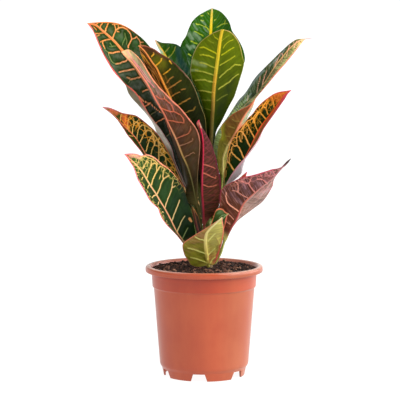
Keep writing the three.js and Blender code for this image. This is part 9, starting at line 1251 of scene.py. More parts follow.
def new_object(name, verts_mm, faces, mats=(), smooth=True):
    me = bpy.data.meshes.new(name)
    me.from_pydata((np.asarray(verts_mm, float) * MM).tolist(), [], faces if isinstance(faces, list) else faces.tolist())
    me.validate()
    me.update()
    ob = bpy.data.objects.new(name, me)
    bpy.context.scene.collection.objects.link(ob)
    for m in mats:
        me.materials.append(m)
    if smooth:
        me.shade_smooth()
    return ob


# ---------------------------------------------------------------- node helpers
class Graph:
    def __init__(self, name):
        self.mat = bpy.data.materials.new(name)
        self.mat.use_nodes = True
        self.t = self.mat.node_tree
        self.t.nodes.clear()
        self.out = self.t.nodes.new("ShaderNodeOutputMaterial")
        self.bsdf = self.t.nodes.new("ShaderNodeBsdfPrincipled")
        self.t.links.new(self.bsdf.outputs[0], self.out.inputs[0])

    def link(self, a, b):
        self.t.links.new(a, b)

    def _in(self, sock, v):
        if isinstance(v, bpy.types.NodeSocket):
            self.link(v, sock)
        elif v is not None:
            sock.default_value = v

    def attr(self, name):
        n = self.t.nodes.new("ShaderNodeAttribute")
        n.attribute_type = "GEOMETRY"
        n.attribute_name = name
        return n

    def xyz(self, vec):
        n = self.t.nodes.new("ShaderNodeSeparateXYZ")
        self.link(vec, n.inputs[0])
        return n.outputs[0], n.outputs[1], n.outputs[2]

    def combine(self, x, y, z):
        n = self.t.nodes.new("ShaderNodeCombineXYZ")
        for s, v in zip(n.inputs, (x, y, z)):
            self._in(s, v)
        return n.outputs[0]

    def math(self, op, a, b=None, c=None, clamp=False):
        n = self.t.nodes.new("ShaderNodeMath")
        n.operation = op
        n.use_clamp = clamp
        for s, v in zip(n.inputs, (a, b, c)):
            self._in(s, v)
        return n.outputs[0]

    def ramp(self, fac, stops, mode="EASE"):
        n = self.t.nodes.new("ShaderNodeValToRGB")
        n.color_ramp.interpolation = mode
        e = n.color_ramp.elements
        while len(e) > 1:
            e.remove(e[-1])
        for i, (p, c) in enumerate(stops):
            el = e[0] if i == 0 else e.new(p)
            el.position = p
            el.color = to_linear(c) if isinstance(c, str) else (c, c, c, 1)
        self._in(n.inputs[0], fac)
        return n.outputs[0]

    def step(self, x, a, b):
        n = self.t.nodes.new("ShaderNodeMapRange")
        n.interpolation_type = "SMOOTHSTEP"
        self._in(n.inputs[0], x)
        n.inputs[1].default_value = a
        n.inputs[2].default_value = b
        n.inputs[3].default_value = 0.0
        n.inputs[4].default_value = 1.0
        return n.outputs[0]

    def map(self, x, a, b, c, d):
        n = self.t.nodes.new("ShaderNodeMapRange")
        self._in(n.inputs[0], x)
        for k, v in zip((1, 2, 3, 4), (a, b, c, d)):
            n.inputs[k].default_value = v
        return n.outputs[0]

    def mix(self, fac, a, b, blend="MIX"):
        n = self.t.nodes.new("ShaderNodeMix")
        n.data_type = "RGBA"
        n.blend_type = blend
        self._in(n.inputs[0], fac)
        for s, v in ((n.inputs[6], a), (n.inputs[7], b)):
            if isinstance(v, str):
                v = to_linear(v)
            self._in(s, v)
        return n.outputs[2]

    def noise(self, vec, scale, detail=3.0, rough=0.55, colour=False):
        n = self.t.nodes.new("ShaderNodeTexNoise")
        self._in(n.inputs["Vector"], vec)
        n.inputs["Scale"].default_value = scale
        n.inputs["Detail"].default_value = detail
        n.inputs["Roughness"].default_value = rough
        return n.outputs["Color" if colour else "Fac"]

    def voronoi(self, vec, scale, feature="DISTANCE_TO_EDGE", rnd=1.0):
        n = self.t.nodes.new("ShaderNodeTexVoronoi")
        n.feature = feature
        self._in(n.inputs["Vector"], vec)
        n.inputs["Scale"].default_value = scale
        n.inputs["Randomness"].default_value = rnd
        return n.outputs["Distance"]

    def scale(self, vec, s):
        n = self.t.nodes.new("ShaderNodeVectorMath")
        n.operation = "MULTIPLY"
        self._in(n.inputs[0], vec)
        n.inputs[1].default_value = s
        return n.outputs[0]

    def add(self, a, b):
        n = self.t.nodes.new("ShaderNodeVectorMath")
        n.operation = "ADD"
        self._in(n.inputs[0], a)
        self._in(n.inputs[1], b)
        return n.outputs[0]

    def bump(self, height, distance, strength=1.0):
        n = self.t.nodes.new("ShaderNodeBump")
        n.inputs["Strength"].default_value = strength
        n.inputs["Distance"].default_value = distance
        self._in(n.inputs["Height"], height)
        return n.outputs[0]

    def set(self, **kw):
        for k, v in kw.items():
            self._in(self.bsdf.inputs[k.replace("_", " ")], v)


# ---------------------------------------------------------------- leaves
def build_leaf(name, spec):
    rows = np.array(NETS[name], float).reshape(-1, 5, 3)
    sb = spec["stalk"]                       # rows that are stalk
    # carry the stalk on into the stem
    z0 = rows[0, 2, 2]
    ax = np.array([np.interp(z0, [p[0] for p in STEM_AXIS], [p[1] for p in STEM_AXIS]), 0.0, z0 - 1.5])
    d = ax - rows[0, 2]
    d *= min(1.0, 3.4 / np.linalg.norm(d))
    rows = np.concatenate([[rows[0] + d], rows])
    k = len(rows)
    length = np.linalg.norm(np.diff(rows[:, 2], axis=0), axis=1).sum()
    width = max(np.linalg.norm(rows[:, 0] - rows[:, 2], axis=1).max(), np.linalg.norm(rows[:, 4] - rows[:, 2], axis=1).max())
    step = spec.get("step", 0.75)
    n = int(min(420, max(60, length / step)))
    h = int(min(60, max(12, width / step)))  # cells across each half
    if n * h * 8 > 190000:
        f = math.sqrt(190000 / (n * h * 8))
        n, h = int(n * f), int(h * f)
    x = np.linspace(0, k - 1, n)
    D = catmull(rows, x)                     # n x 5 x 3
    # cells a little finer near the midrib and the margin
    u = np.linspace(0, 1, h + 1)
    u = u + 0.06 * np.sin(2 * np.pi * u) * -1
    t = np.concatenate([-u[::-1], u[1:]])
    m = len(t)
    P = np.zeros((n, m, 3))
    for j, tt in enumerate(t):
        a = abs(tt)
        H, E = (D[:, 1], D[:, 0]) if tt < 0 else (D[:, 3], D[:, 4])
        P[:, j] = D[:, 2] * ((a - 0.5) * (a - 1) / 0.5) + H * (a * (a - 1) / -0.25) + E * (a * (a - 0.5) / 0.5)
    r = (x - 1) / (k - 2)                    # row position as the vein lines use it
    y = np.r_[0, np.cumsum(np.linalg.norm(np.diff(P[:, h], axis=0), axis=1))]
    seg = np.linalg.norm(np.diff(P, axis=1), axis=2)
    cum = np.concatenate([np.zeros((n, 1)), np.cumsum(seg, axis=1)], axis=1)
    X = cum - cum[:, h:h + 1]                # signed mm across from the midrib
    Y = np.repeat(y[:, None], m, 1)
    R = np.repeat(r[:, None], m, 1)
    T = np.repeat(t[None], n, 0)
    wl, wr = -X[:, 0], X[:, -1]
    base_r = (sb - 0.0) / (k - 2)
    yb = np.interp(base_r, r, y)
    stalk = 1 - ease(yb - 1.0, yb + 0.10 * (y[-1] - yb) + 3, Y)      # 1 on the stalk
    b = np.clip((Y - yb) / (y[-1] - yb), 0, 1)

    # ---- lines of veins
    def flat(pts):
        q = np.array(pts, float)
        yy = np.interp(q[:, 0], r, y)
        wl_, wr_ = np.interp(q[:, 0], r, wl), np.interp(q[:, 0], r, wr)
        # across position: interpolate the true mm at that t in the nearest row
        i = np.clip(np.searchsorted(r, q[:, 0]), 0, n - 1)
        xx = np.array([np.interp(q[a, 1], t, X[i[a]]) for a in range(len(q))])
        return np.stack([xx, yy], -1)

    lines = [(c, w, flat(p)) for c, w, p in VEINS.get(name, ())]
    # plain side veins where none are traced
    side_rng = np.random.default_rng(spec.get("seed", 1))
    for q in spec.get("auto", ()):
        y0 = yb + q["from"] * (y[-1] - yb)
        y1 = yb + q["to"] * (y[-1] - yb)
        for sgn in q.get("sides", (-1, 1)):
            yy = y0 + side_rng.random() * q["gap"] * 0.5
            while yy < y1:
                W = np.interp(yy, y, wr if sgn > 0 else wl)
                L = W * q.get("reach", 0.8)
                ang = math.radians(q["angle"] + side_rng.normal() * 4)
                pts = []
                for f in np.linspace(0, 1, 9):
                    bend = q.get("curl", 0.35) * f * f * L
                    pts.append((sgn * f * L, yy + f * L / math.tan(ang) + bend))
                if q.get("fork", 0) and side_rng.random() < q["fork"]:
                    a = np.array(pts[5])
                    lines.append((q.get("cls", 1), q["w"] * 0.8, np.array([a, a + [sgn * L * 0.22, -L * 0.05], a + [sgn * L * 0.36, L * 0.12]])))
                if side_rng.random() < q.get("keep", 1.0):
                    lines.append((q.get("cls", 1), q["w"] * (0.85 + 0.3 * side_rng.random()), np.array(pts)))
                yy += q["gap"] * (0.85 + 0.3 * side_rng.random())
    jig = Noise(spec.get("seed", 1) + 50)
    wob = (jig(X * 0.35 + 9, Y * 0.35) - 0.5) * 0.35
    wob2 = (jig(X * 0.35 + 31, Y * 0.35 + 17) - 0.5) * 0.35
    VX, VY = X + wob, Y + wob2
    veins = {c: np.zeros((n, m)) for c in (1, 2, 3, 4, 5)}
    vw = dict(spec.get("vw", {1: 0.85, 2: 0.9}))
    near = np.full((n, m), 99.0)
    for c, w, L in lines:
        lo, hi = L.min(0) - 7 - w, L.max(0) + 7 + w
        sel = (VX > lo[0]) & (VX < hi[0]) & (VY > lo[1]) & (VY < hi[1])
        if not sel.any():
            continue
        px, py = VX[sel], VY[sel]
        best = np.full(px.shape, 99.0)
        along = np.zeros(px.shape)
        seglen = np.r_[0, np.cumsum(np.linalg.norm(np.diff(L, axis=0), axis=1))]
        tot = max(seglen[-1], 1e-6)
        for s in range(len(L) - 1):
            a, e = L[s], L[s + 1]
            v = e - a
            vv = max(v @ v, 1e-9)
            f = np.clip(((px - a[0]) * v[0] + (py - a[1]) * v[1]) / vv, 0, 1)
            dd = np.hypot(px - a[0] - f * v[0], py - a[1] - f * v[1])
            better = dd < best
            best[better] = dd[better]
            along[better] = ((seglen[s] + f * math.sqrt(vv)) / tot)[better]
        soft = 0.24 if c <= 3 else max(0.8, 0.35 * w)
        half = w * vw.get(c, 1.0) * 0.5 * (1.0 - 0.25 * along) if c <= 3 else w * 0.5
        mask = 1 - ease(-soft, soft, best - half)
        veins[c][sel] = np.maximum(veins[c][sel], mask)
        if c <= 3:
            near[sel] = np.minimum(near[sel], best)
    half_w = np.where(T < 0, wl[:, None], wr[:, None])
    edge = np.maximum(half_w - np.abs(X), 0)                         # mm from the margin
    mw = np.interp(b[:, 0], [p[0] for p in spec["midw"]], [p[1] for p in spec["midw"]])[:, None]
    mid = 1 - ease(-0.35, 0.35, np.abs(X) - mw * 0.5)
    ew = np.where(T < 0, np.interp(R, *zip(*spec["edgeL"])), np.interp(R, *zip(*spec["edgeR"])))
    ewob = 1 + (jig(Y * 0.22 + 3, T * 0 + 5.5) - 0.5) * 0.9
    edgem = 1 - ease(-0.3, 0.35, edge - ew * ewob)
    edgem = np.where(ew < 0.05, 0, edgem) * (1 - stalk)
    near = np.minimum(near, np.abs(X) - mw * 0.5)
    near = np.minimum(near, edge * 1.2)
    near = np.maximum(near, 0)

    # ---- places where the blade reaches a little further out
    for t0, t1, r0, r1, move in spec.get("grow", ()):
        f = ease(r0 - 0.07, r0, R) * (1 - ease(r1, r1 + 0.07, R)) * ease(t0 - 0.35, t0, T) * (1 - ease(t1, t1 + 0.35, T))
        P = P + f[..., None] * np.array(move, float)

    # ---- relief and thickness
    dr, dt = np.gradient(P, axis=0), np.gradient(P, axis=1)
    N = np.cross(dr, dt)
    N /= np.maximum(np.linalg.norm(N, axis=2, keepdims=True), 1e-9)
    up = -1.0 if spec["seen"] == "top" else 1.0      # which way the paler underside lies along N: set below
    face = 1.0 if np.mean(N[n // 3:2 * n // 3, m // 4:3 * m // 4, 1]) < 0 else -1.0   # +1: N points to the front
    adax = face if spec["seen"] == "top" else -face  # +1: N is the upper (adaxial) side
    relief = spec.get("relief", 1.0)
    puff = 0.42 * relief * ease(0.2, 4.5, near) * (1 - stalk)        # cells swell on the upper side
    ridge = 0.30 * relief * np.maximum.reduce([veins[1], veins[2] * 0.7]) * (1 - stalk)
    und = jig.fractal(X * 0.06 + 3, Y * 0.05, 3) - 0.5
    off = (puff - ridge + und * spec.get("wave", 0.9) * (1 - stalk) * ease(0, 6, edge)) * adax
    w_half = 0.5 * (wl + wr)[:, None]
    tt = np.abs(T)
    sect_stalk = np.minimum(w_half, 2.1) * 0.95 * np.sqrt(np.maximum(1 - tt ** 2, 0))
    rib = mw * 0.55 * (1 - b * 0.5) * np.exp(-(X / np.maximum(mw * 0.55, 0.4)) ** 2)
    blade = 0.22 * ease(0, 1.2, edge) + 0.02
    th_up = stalk * sect_stalk + (1 - stalk) * (blade + rib * 0.15)
    th_dn = stalk * sect_stalk + (1 - stalk) * (blade + rib * 1.0 + 0.12 * veins[1] * ease(0, 1.5, edge))
    if spec.get("tail"):
        tail = ease(spec["tail"][0], spec["tail"][1], R) * np.minimum(w_half, spec["tail"][2]) * np.sqrt(np.maximum(1 - tt ** 2, 0))
        th_up, th_dn = np.maximum(th_up, tail), np.maximum(th_dn, tail)
    # rims meet
    for arr in (th_up, th_dn):
        arr[:, 0] = arr[:, -1] = 0
        arr[0] *= 1
    N = N * adax                                                    # N now points to the upper side
    C = P + N * (off * adax)[:, :, None]
    top = C + N * th_up[:, :, None]
    bot = C - N * th_dn[:, :, None]
    verts = [top.reshape(-1, 3)]
    idx_top = np.arange(n * m).reshape(n, m)
    inner = bot[:, 1:-1].reshape(-1, 3)
    verts.append(inner)
    idx_bot = np.full((n, m), -1)
    idx_bot[:, 1:-1] = n * m + np.arange(n * (m - 2)).reshape(n, m - 2)
    idx_bot[:, 0], idx_bot[:, -1] = idx_top[:, 0], idx_top[:, -1]
    V = np.concatenate(verts)
    a, b_, c_, d_ = idx_top[:-1, :-1], idx_top[1:, :-1], idx_top[1:, 1:], idx_top[:-1, 1:]
    Ft = np.stack([a, d_, c_, b_], -1).reshape(-1, 4)
    a, b_, c_, d_ = idx_bot[:-1, :-1], idx_bot[1:, :-1], idx_bot[1:, 1:], idx_bot[:-1, 1:]
    Fb = np.stack([a, b_, c_, d_], -1).reshape(-1, 4)
    caps = []
    for row, flip in ((0, False), (n - 1, True)):
        loop = list(idx_top[row]) + list(idx_bot[row, 1:-1][::-1])
        caps.append([int(v) for v in (loop if not flip else loop[::-1])])
    # outward winding
    e1, e2 = V[Ft[len(Ft) // 2, 1]] - V[Ft[len(Ft) // 2, 0]], V[Ft[len(Ft) // 2, 2]] - V[Ft[len(Ft) // 2, 0]]
    nn = np.cross(e1, e2)
    mid_row = (len(Ft) // 2) // (m - 1)
    mid_col = (len(Ft) // 2) % (m - 1)
    if nn @ N[mid_row, mid_col] < 0:
        Ft, Fb = Ft[:, ::-1], Fb[:, ::-1]
        caps = [c[::-1] for c in caps]
    faces = Ft.tolist() + Fb.tolist() + caps
    ob = new_object("shown_" + name, V, faces)
    me = ob.data
    if len(me.polygons) != len(faces):
        print("leaf", name, "lost faces", len(faces), len(me.polygons))

    def both(A):
        return np.concatenate([A.reshape(-1), A[:, 1:-1].reshape(-1)])

    seen_top = spec["seen"] == "top"
    hid = np.concatenate([np.full(n * m, 0.0 if seen_top else 1.0), np.full(n * (m - 2), 1.0 if seen_top else 0.0)])
    netm = np.zeros((n, m))
    for rr, tt0, ra, ta, amt in spec.get("net", ()):
        netm = np.maximum(netm, amt * np.exp(-(((R - rr) / ra) ** 2 + ((T - tt0) / ta) ** 2) ** 2))
    vectors(me, "leaf_st", both(R), both(T), both(edge))
    vectors(me, "leaf_veins", both(veins[1]), both(veins[2]), both(veins[3]))
    vectors(me, "leaf_tints_and_painted_light", both(veins[4]), both(veins[5]), both(netm))
    vectors(me, "leaf_flat", both(X), both(Y), both(near))
    vectors(me, "leaf_marks", both(mid), both(edgem), hid)
    floats(me, "leaf_stalk", both(stalk))
    # one unwrapping: the two faces of the leaf side by side
    uv = me.uv_layers.new(name="OFBake")
    li = np.zeros(len(me.loops), np.int64)
    me.loops.foreach_get("vertex_index", li)
    nt, nb = len(Ft) * 4, len(Fb) * 4
    gi = np.linspace(0, 1, n)
    gj = np.linspace(0, 1, m)
    GU, GV = np.repeat(gj[None], n, 0).reshape(-1), np.repeat(gi[:, None], m, 1).reshape(-1)
    full_of_bot = np.repeat(np.arange(n * m).reshape(n, m)[:, 1:-1].reshape(1, -1), 1, 0).reshape(-1)
    lut = np.concatenate([np.arange(n * m), full_of_bot])
    g = lut[li]
    U = np.where(np.arange(len(li)) < nt, 0.004 + GU[g] * 0.488, 0.508 + GU[g] * 0.488)
    W = 0.012 + GV[g] * 0.976
    capm = np.arange(len(li)) >= nt + nb
    U[capm] = 0.4995 + (GU[g[capm]] - 0.5) * 0.003
    W[capm] = np.where(GV[g[capm]] < 0.5, 0.004, 0.996) + (np.arange(capm.sum()) % 7 - 3) * 0.0002
    uv.data.foreach_set("uv", np.stack([U, W], -1).astype(np.float32).ravel())
    me.materials.append(leaf_material(name, spec))
    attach(ob, "root")
    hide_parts(name)
    return ob


def leaf_material(name, s):
    g = Graph("mat_" + name)
    r, t, edge = g.xyz(g.attr("leaf_st").outputs["Vector"])
    v1, v2, v3 = g.xyz(g.attr("leaf_veins").outputs["Vector"])
    t1, t2, netm = g.xyz(g.attr("leaf_tints_and_painted_light").outputs["Vector"])
    fv = g.attr("leaf_flat").outputs["Vector"]
    X, Y, near = g.xyz(fv)
    mid, edgem, hid = g.xyz(g.attr("leaf_marks").outputs["Vector"])
    stalk = g.attr("leaf_stalk").outputs["Fac"]
    flat = g.combine(X, Y, float(s.get("seed", 1)) * 3.7)
    right = g.step(t, -0.03, 0.03)
    cell = g.mix(right, g.ramp(r, s["cellL"]), g.ramp(r, s["cellR"]))
    # blotches and fine cross ribs
    blot = g.noise(g.scale(flat, (0.09, 0.07, 1)), 1.0, 4.0, 0.6)
    slant = g.combine(X, g.math("SUBTRACT", Y, g.math("MULTIPLY", g.math("ABSOLUTE", X), s.get("slant", 0.6))), float(s.get("seed", 1)) * 5.1)
    ribs = g.noise(g.scale(slant, (0.1, s.get("rib", 1.0), 1)), 1.0, 2.0, 0.5)
    grain = g.noise(flat, 1.6, 3.0, 0.6)
    val = g.math("ADD", g.map(blot, 0.3, 0.7, -s.get("blot", 0.16), s.get("blot", 0.16)), g.map(ribs, 0.3, 0.7, -s.get("ribc", 0.08), s.get("ribc", 0.08)))
    val = g.math("ADD", val, g.map(grain, 0.3, 0.7, -0.05, 0.05))
    val = g.math("ADD", val, 1.0)
    cell = g.mix(1.0, cell, g.combine(val, val, val), "MULTIPLY")
    # painted sheen: the hearts of the cells are greyer, glossy reflections on the swollen cells
    cell_sheen = g.step(near, s.get("cell_sheen0", 1.2), s.get("cell_sheen1", 5.5))
    cell_sheen = g.math("MULTIPLY", cell_sheen, g.map(g.noise(g.scale(flat, (0.16, 0.12, 1)), 1.0, 3.0), 0.35, 0.65, s.get("cell_sheen_min", 0.3), 1.0))
    cell_sheen = g.math("MULTIPLY", cell_sheen, s.get("cell_sheen", 0.0), clamp=True)
    cgl = s.get("cg", (1.0, 1.0, 1.0))
    cell = g.mix(1.0, cell, g.mix(right, g.combine(*cgl), g.combine(*s.get("cgR", cgl))), "MULTIPLY")
    cell = g.mix(cell_sheen, cell, g.ramp(r, s.get("cell_sheen_col", ((0, "#4a5a4a"),))))
    # streaks along the side veins
    if s.get("streak"):
        amt, lo, hi, fx, fy = s["streak"]
        sn = g.noise(g.scale(slant, (fx, fy, 1)), 1.0, 3.0, 0.6)
        sm = g.math("MULTIPLY", g.step(sn, lo, hi), amt)
        if s.get("streakr"):
            sm = g.math("MULTIPLY", sm, g.ramp(r, s["streakr"], "LINEAR"))
        cell = g.mix(sm, cell, g.ramp(r, s["streakc"]))
    # streak layers: most are the leaf's own marbling; the pale ones on leaf_small_back_left, leaf_right_long and
    # leaf_low_right_maroon are painted sheen and glints
    for amt, lo, hi, fx, fy, lean, where, colours in s.get("streaks_and_glints", ()):
        sx = g.combine(X, g.math("SUBTRACT", Y, g.math("MULTIPLY", g.math("ABSOLUTE", X), lean)), float(s.get("seed", 1)) * 7.3 + fx)
        sm = g.math("MULTIPLY", g.step(g.noise(g.scale(sx, (fx, fy, 1)), 1.0, 3.0, 0.6), lo, hi), amt)
        if where == "right":
            sm = g.math("MULTIPLY", sm, right)
        elif where == "left":
            sm = g.math("MULTIPLY", sm, g.math("SUBTRACT", 1.0, right))
        elif where == "net":
            sm = g.math("MULTIPLY", sm, netm, clamp=True)
        cell = g.mix(sm, cell, g.ramp(r, colours))
    # a brighter border along the veins
    halo = g.math("MULTIPLY", g.math("SUBTRACT", 1.0, g.step(near, 0.3, s.get("halow", 1.5))), s.get("halo", 0.0))
    if s.get("halo"):
        cell = g.mix(halo, cell, g.ramp(r, s["haloc"]))
    # broad tints; the first layer is the leaf's own colour patches on some leaves, painted sheen patches on others, and
    # painted shade along the right margin of leaf_low_left_green
    soft = g.map(g.noise(g.scale(flat, (0.22, 0.16, 1)), 1.0, 4.0, 0.6), 0.3, 0.7, 0.55, 1.15)
    if s.get("tint_and_painted_light1"):
        cell = g.mix(g.math("MULTIPLY", g.math("MULTIPLY", t1, soft), s.get("tint_and_painted_light1a", 0.8), clamp=True), cell, g.ramp(r, s["tint_and_painted_light1"]))
    if s.get("tint2"):
        cell = g.mix(g.math("MULTIPLY", g.math("MULTIPLY", t2, soft), s.get("tint2a", 0.8), clamp=True), cell, g.ramp(r, s["tint2"]))
    vein1 = g.mix(right, g.ramp(r, s["vein1"]), g.ramp(r, s.get("vein1R", s["vein1"])))
    vein1 = g.mix(1.0, vein1, g.combine(*s.get("vg", (1.0, 1.0, 1.0))), "MULTIPLY")
    # fine network
    warp = g.scale(g.noise(g.scale(flat, (0.3, 0.3, 1)), 1.0, 2.0, 0.5, colour=True), (2.0, 2.0, 0.0))
    nv = g.voronoi(g.scale(g.add(slant if s.get("slantnet") else flat, warp), (s.get("netx", 0.26), s.get("nety", 0.2), 1)), 1.0)
    line = g.math("SUBTRACT", 1.0, g.step(nv, s.get("netw", 0.05), s.get("netw", 0.05) + s.get("nets", 0.07)))
    small = g.math("MULTIPLY", line, g.map(g.noise(g.scale(flat, (0.12, 0.1, 1)), 1.0, 2.0), 0.38, 0.6, 0.0, s.get("faint", 0.0)))
    small = g.math("MAXIMUM", small, 0.0)
    cell = g.mix(g.math("MAXIMUM", g.math("MULTIPLY", line, g.math("MULTIPLY", netm, s.get("neta", 1.0)), clamp=True), small), cell, g.ramp(r, s["netc"]) if s.get("netc") else g.mix(0.1, vein1, cell))
    # veins
    brk = g.map(g.noise(g.scale(flat, (0.5, 0.5, 1)), 1.0, 3.0), 0.3, 0.6, s.get("brk", 0.75), 1.0)
    brk.node.clamp = True
    col = g.mix(g.math("MULTIPLY", v2, g.math("MULTIPLY", brk, s.get("v2a", 0.8)), clamp=True), cell, g.ramp(r, s.get("vein2", s["vein1"])))
    col = g.mix(g.math("MULTIPLY", v1, brk, clamp=True), col, vein1)
    if s.get("vein3"):
        col = g.mix(v3, col, g.ramp(r, s["vein3"]))
    shade = g.map(g.noise(g.scale(flat, (0.9, 0.12, 1)), 1.0, 2.0), 0.3, 0.7, 0.9, 1.08)
    midc = g.mix(1.0, g.ramp(r, s["mid"]), g.combine(shade, shade, shade), "MULTIPLY")
    edgec = g.mix(right, g.ramp(r, s["edgecL"]), g.ramp(r, s["edgecR"]))
    col = g.mix(g.math("MULTIPLY", edgem, s.get("edgea", 0.9), clamp=True), col, edgec)
    col = g.mix(g.math("MULTIPLY", mid, s.get("mida", 0.95), clamp=True), col, midc)
    col = g.mix(stalk, col, g.mix(1.0, g.ramp(r, s["stalkc"]), g.combine(shade, shade, shade), "MULTIPLY"))
    # the other face of the leaf
    oc = g.mix(s.get("othera", 0.55), col, g.mix(1.0, g.ramp(r, s["other"]), g.combine(val, val, val), "MULTIPLY"))
    if s.get("vein3other"):
        oc = g.mix(v3, oc, g.ramp(r, s["vein3other"]))
    if s.get("edgeo"):
        oc = g.mix(g.math("MULTIPLY", edgem, s["edgeo"], clamp=True), oc, g.ramp(r, s["edgeoc"]))
    oc = g.mix(stalk, oc, col)
    col = g.mix(hid, col, oc)
    h = g.math("ADD", g.math("MULTIPLY", ribs, 0.7), g.math("MULTIPLY", grain, 0.5))
    rough = g.map(blot, 0.3, 0.7, s.get("rough", 0.4) - 0.06, s.get("rough", 0.4) + 0.1)
    g.set(Base_Color=col, Roughness=rough, Specular_IOR_Level=s.get("spec", 0.07), Coat_Weight=0.0,
          Normal=g.bump(h, 0.00025, 0.5))
    return g.mat


SUNS = (
    ("key", (0.8, -0.5, 0.9), 45, 2.02),
    ("fill", (-0.5, -0.9, 0.8), 70, 0.84),
)


# ---------------------------------------------------------------- turned shapes
def rounded(points, steps=4):
    """Points (radius, height, rounding) as (radius, height), with the corners rounded off."""
    out = []
    for i, (r, z, q) in enumerate(points):
        if not q or i in (0, len(points) - 1):
            out.append((r, z))
            continue
        p, a, b = np.array((r, z)), np.array(points[i - 1][:2]), np.array(points[i + 1][:2])
        la, lb = np.linalg.norm(a - p), np.linalg.norm(b - p)
        s, e = p + (a - p) / la * min(q, 0.49 * la), p + (b - p) / lb * min(q, 0.49 * lb)
        for k in range(steps + 1):
            f = k / steps
            out.append(tuple((1 - f) ** 2 * s + 2 * f * (1 - f) * p + f * f * e))
    return out


def lathe(profile, seg):
    """A closed solid turned about Z. The profile starts and ends on the axis, lower end first, and runs outside first."""
    verts, rings = [], []
    ang = np.arange(seg) * 2 * np.pi / seg
    for r, z in profile:
        if r < 1e-6:
            rings.append([len(verts)])
            verts.append((0.0, 0.0, z))
        else:
            rings.append(list(range(len(verts), len(verts) + seg)))
            verts += [(r * math.cos(a), r * math.sin(a), z) for a in ang]
    faces = []
    for a, b in zip(rings[:-1], rings[1:]):
        for i in range(seg):
            j = (i + 1) % seg
            if len(a) == 1:
                faces.append([a[0], b[j], b[i]])
            elif len(b) == 1:
                faces.append([a[i], a[j], b[0]])
            else:
                faces.append([a[i], a[j], b[j], b[i]])
    return verts, faces


def cut(ob, cutters):
    for c in cutters:
        m = ob.modifiers.new("cut", "BOOLEAN")
        m.operation = "DIFFERENCE"
        m.solver = "EXACT"
        m.object = c
    dg = bpy.context.evaluated_depsgraph_get()
    me = bpy.data.meshes.new_from_object(ob.evaluated_get(dg))
    old = ob.data
    ob.modifiers.clear()
    ob.data = me
    bpy.data.meshes.remove(old)
    for c in cutters:
        d = c.data
        bpy.data.objects.remove(c)
        bpy.data.meshes.remove(d)


POT = [(0, 9.4, 0), (43.9, 9.4, 0.3), (43.3, 0.5, 0.4), (43.6, 0, 0.3), (44.9, 0, 0.3), (46.7, 8.5, 0.3), (47.2, 9.4, 0.3), (48.8, 12, 0.4), (49.3, 14, 0.6), (55.8, 97.5, 0.6),
       (56.4, 98.4, 0.4), (57.3, 99.2, 0.4), (58.2, 114, 0), (58.6, 119.4, 0.3), (59.5, 120.4, 0.3), (62.9, 120.3, 0.3), (63.5, 119.6, 0.3), (63.6, 115.7, 0.3), (64.1, 115.4, 0.3),
       (64.7, 115.7, 0.4), (65, 117.6, 0.8), (65, 119.6, 1.0), (64.5, 121.1, 0.8), (63.2, 121.8, 0.8), (61.6, 122, 0.8), (60.2, 121.8, 0.6), (59.4, 121.2, 0.5), (57.9, 119.2, 0.6),
       (56.9, 114, 0), (55.9, 99.8, 0.8), (54.2, 97.3, 0.8), (47.6, 14, 1.0), (46.4, 11.6, 0.8), (45.2, 11, 0.8), (0, 11, 0)]


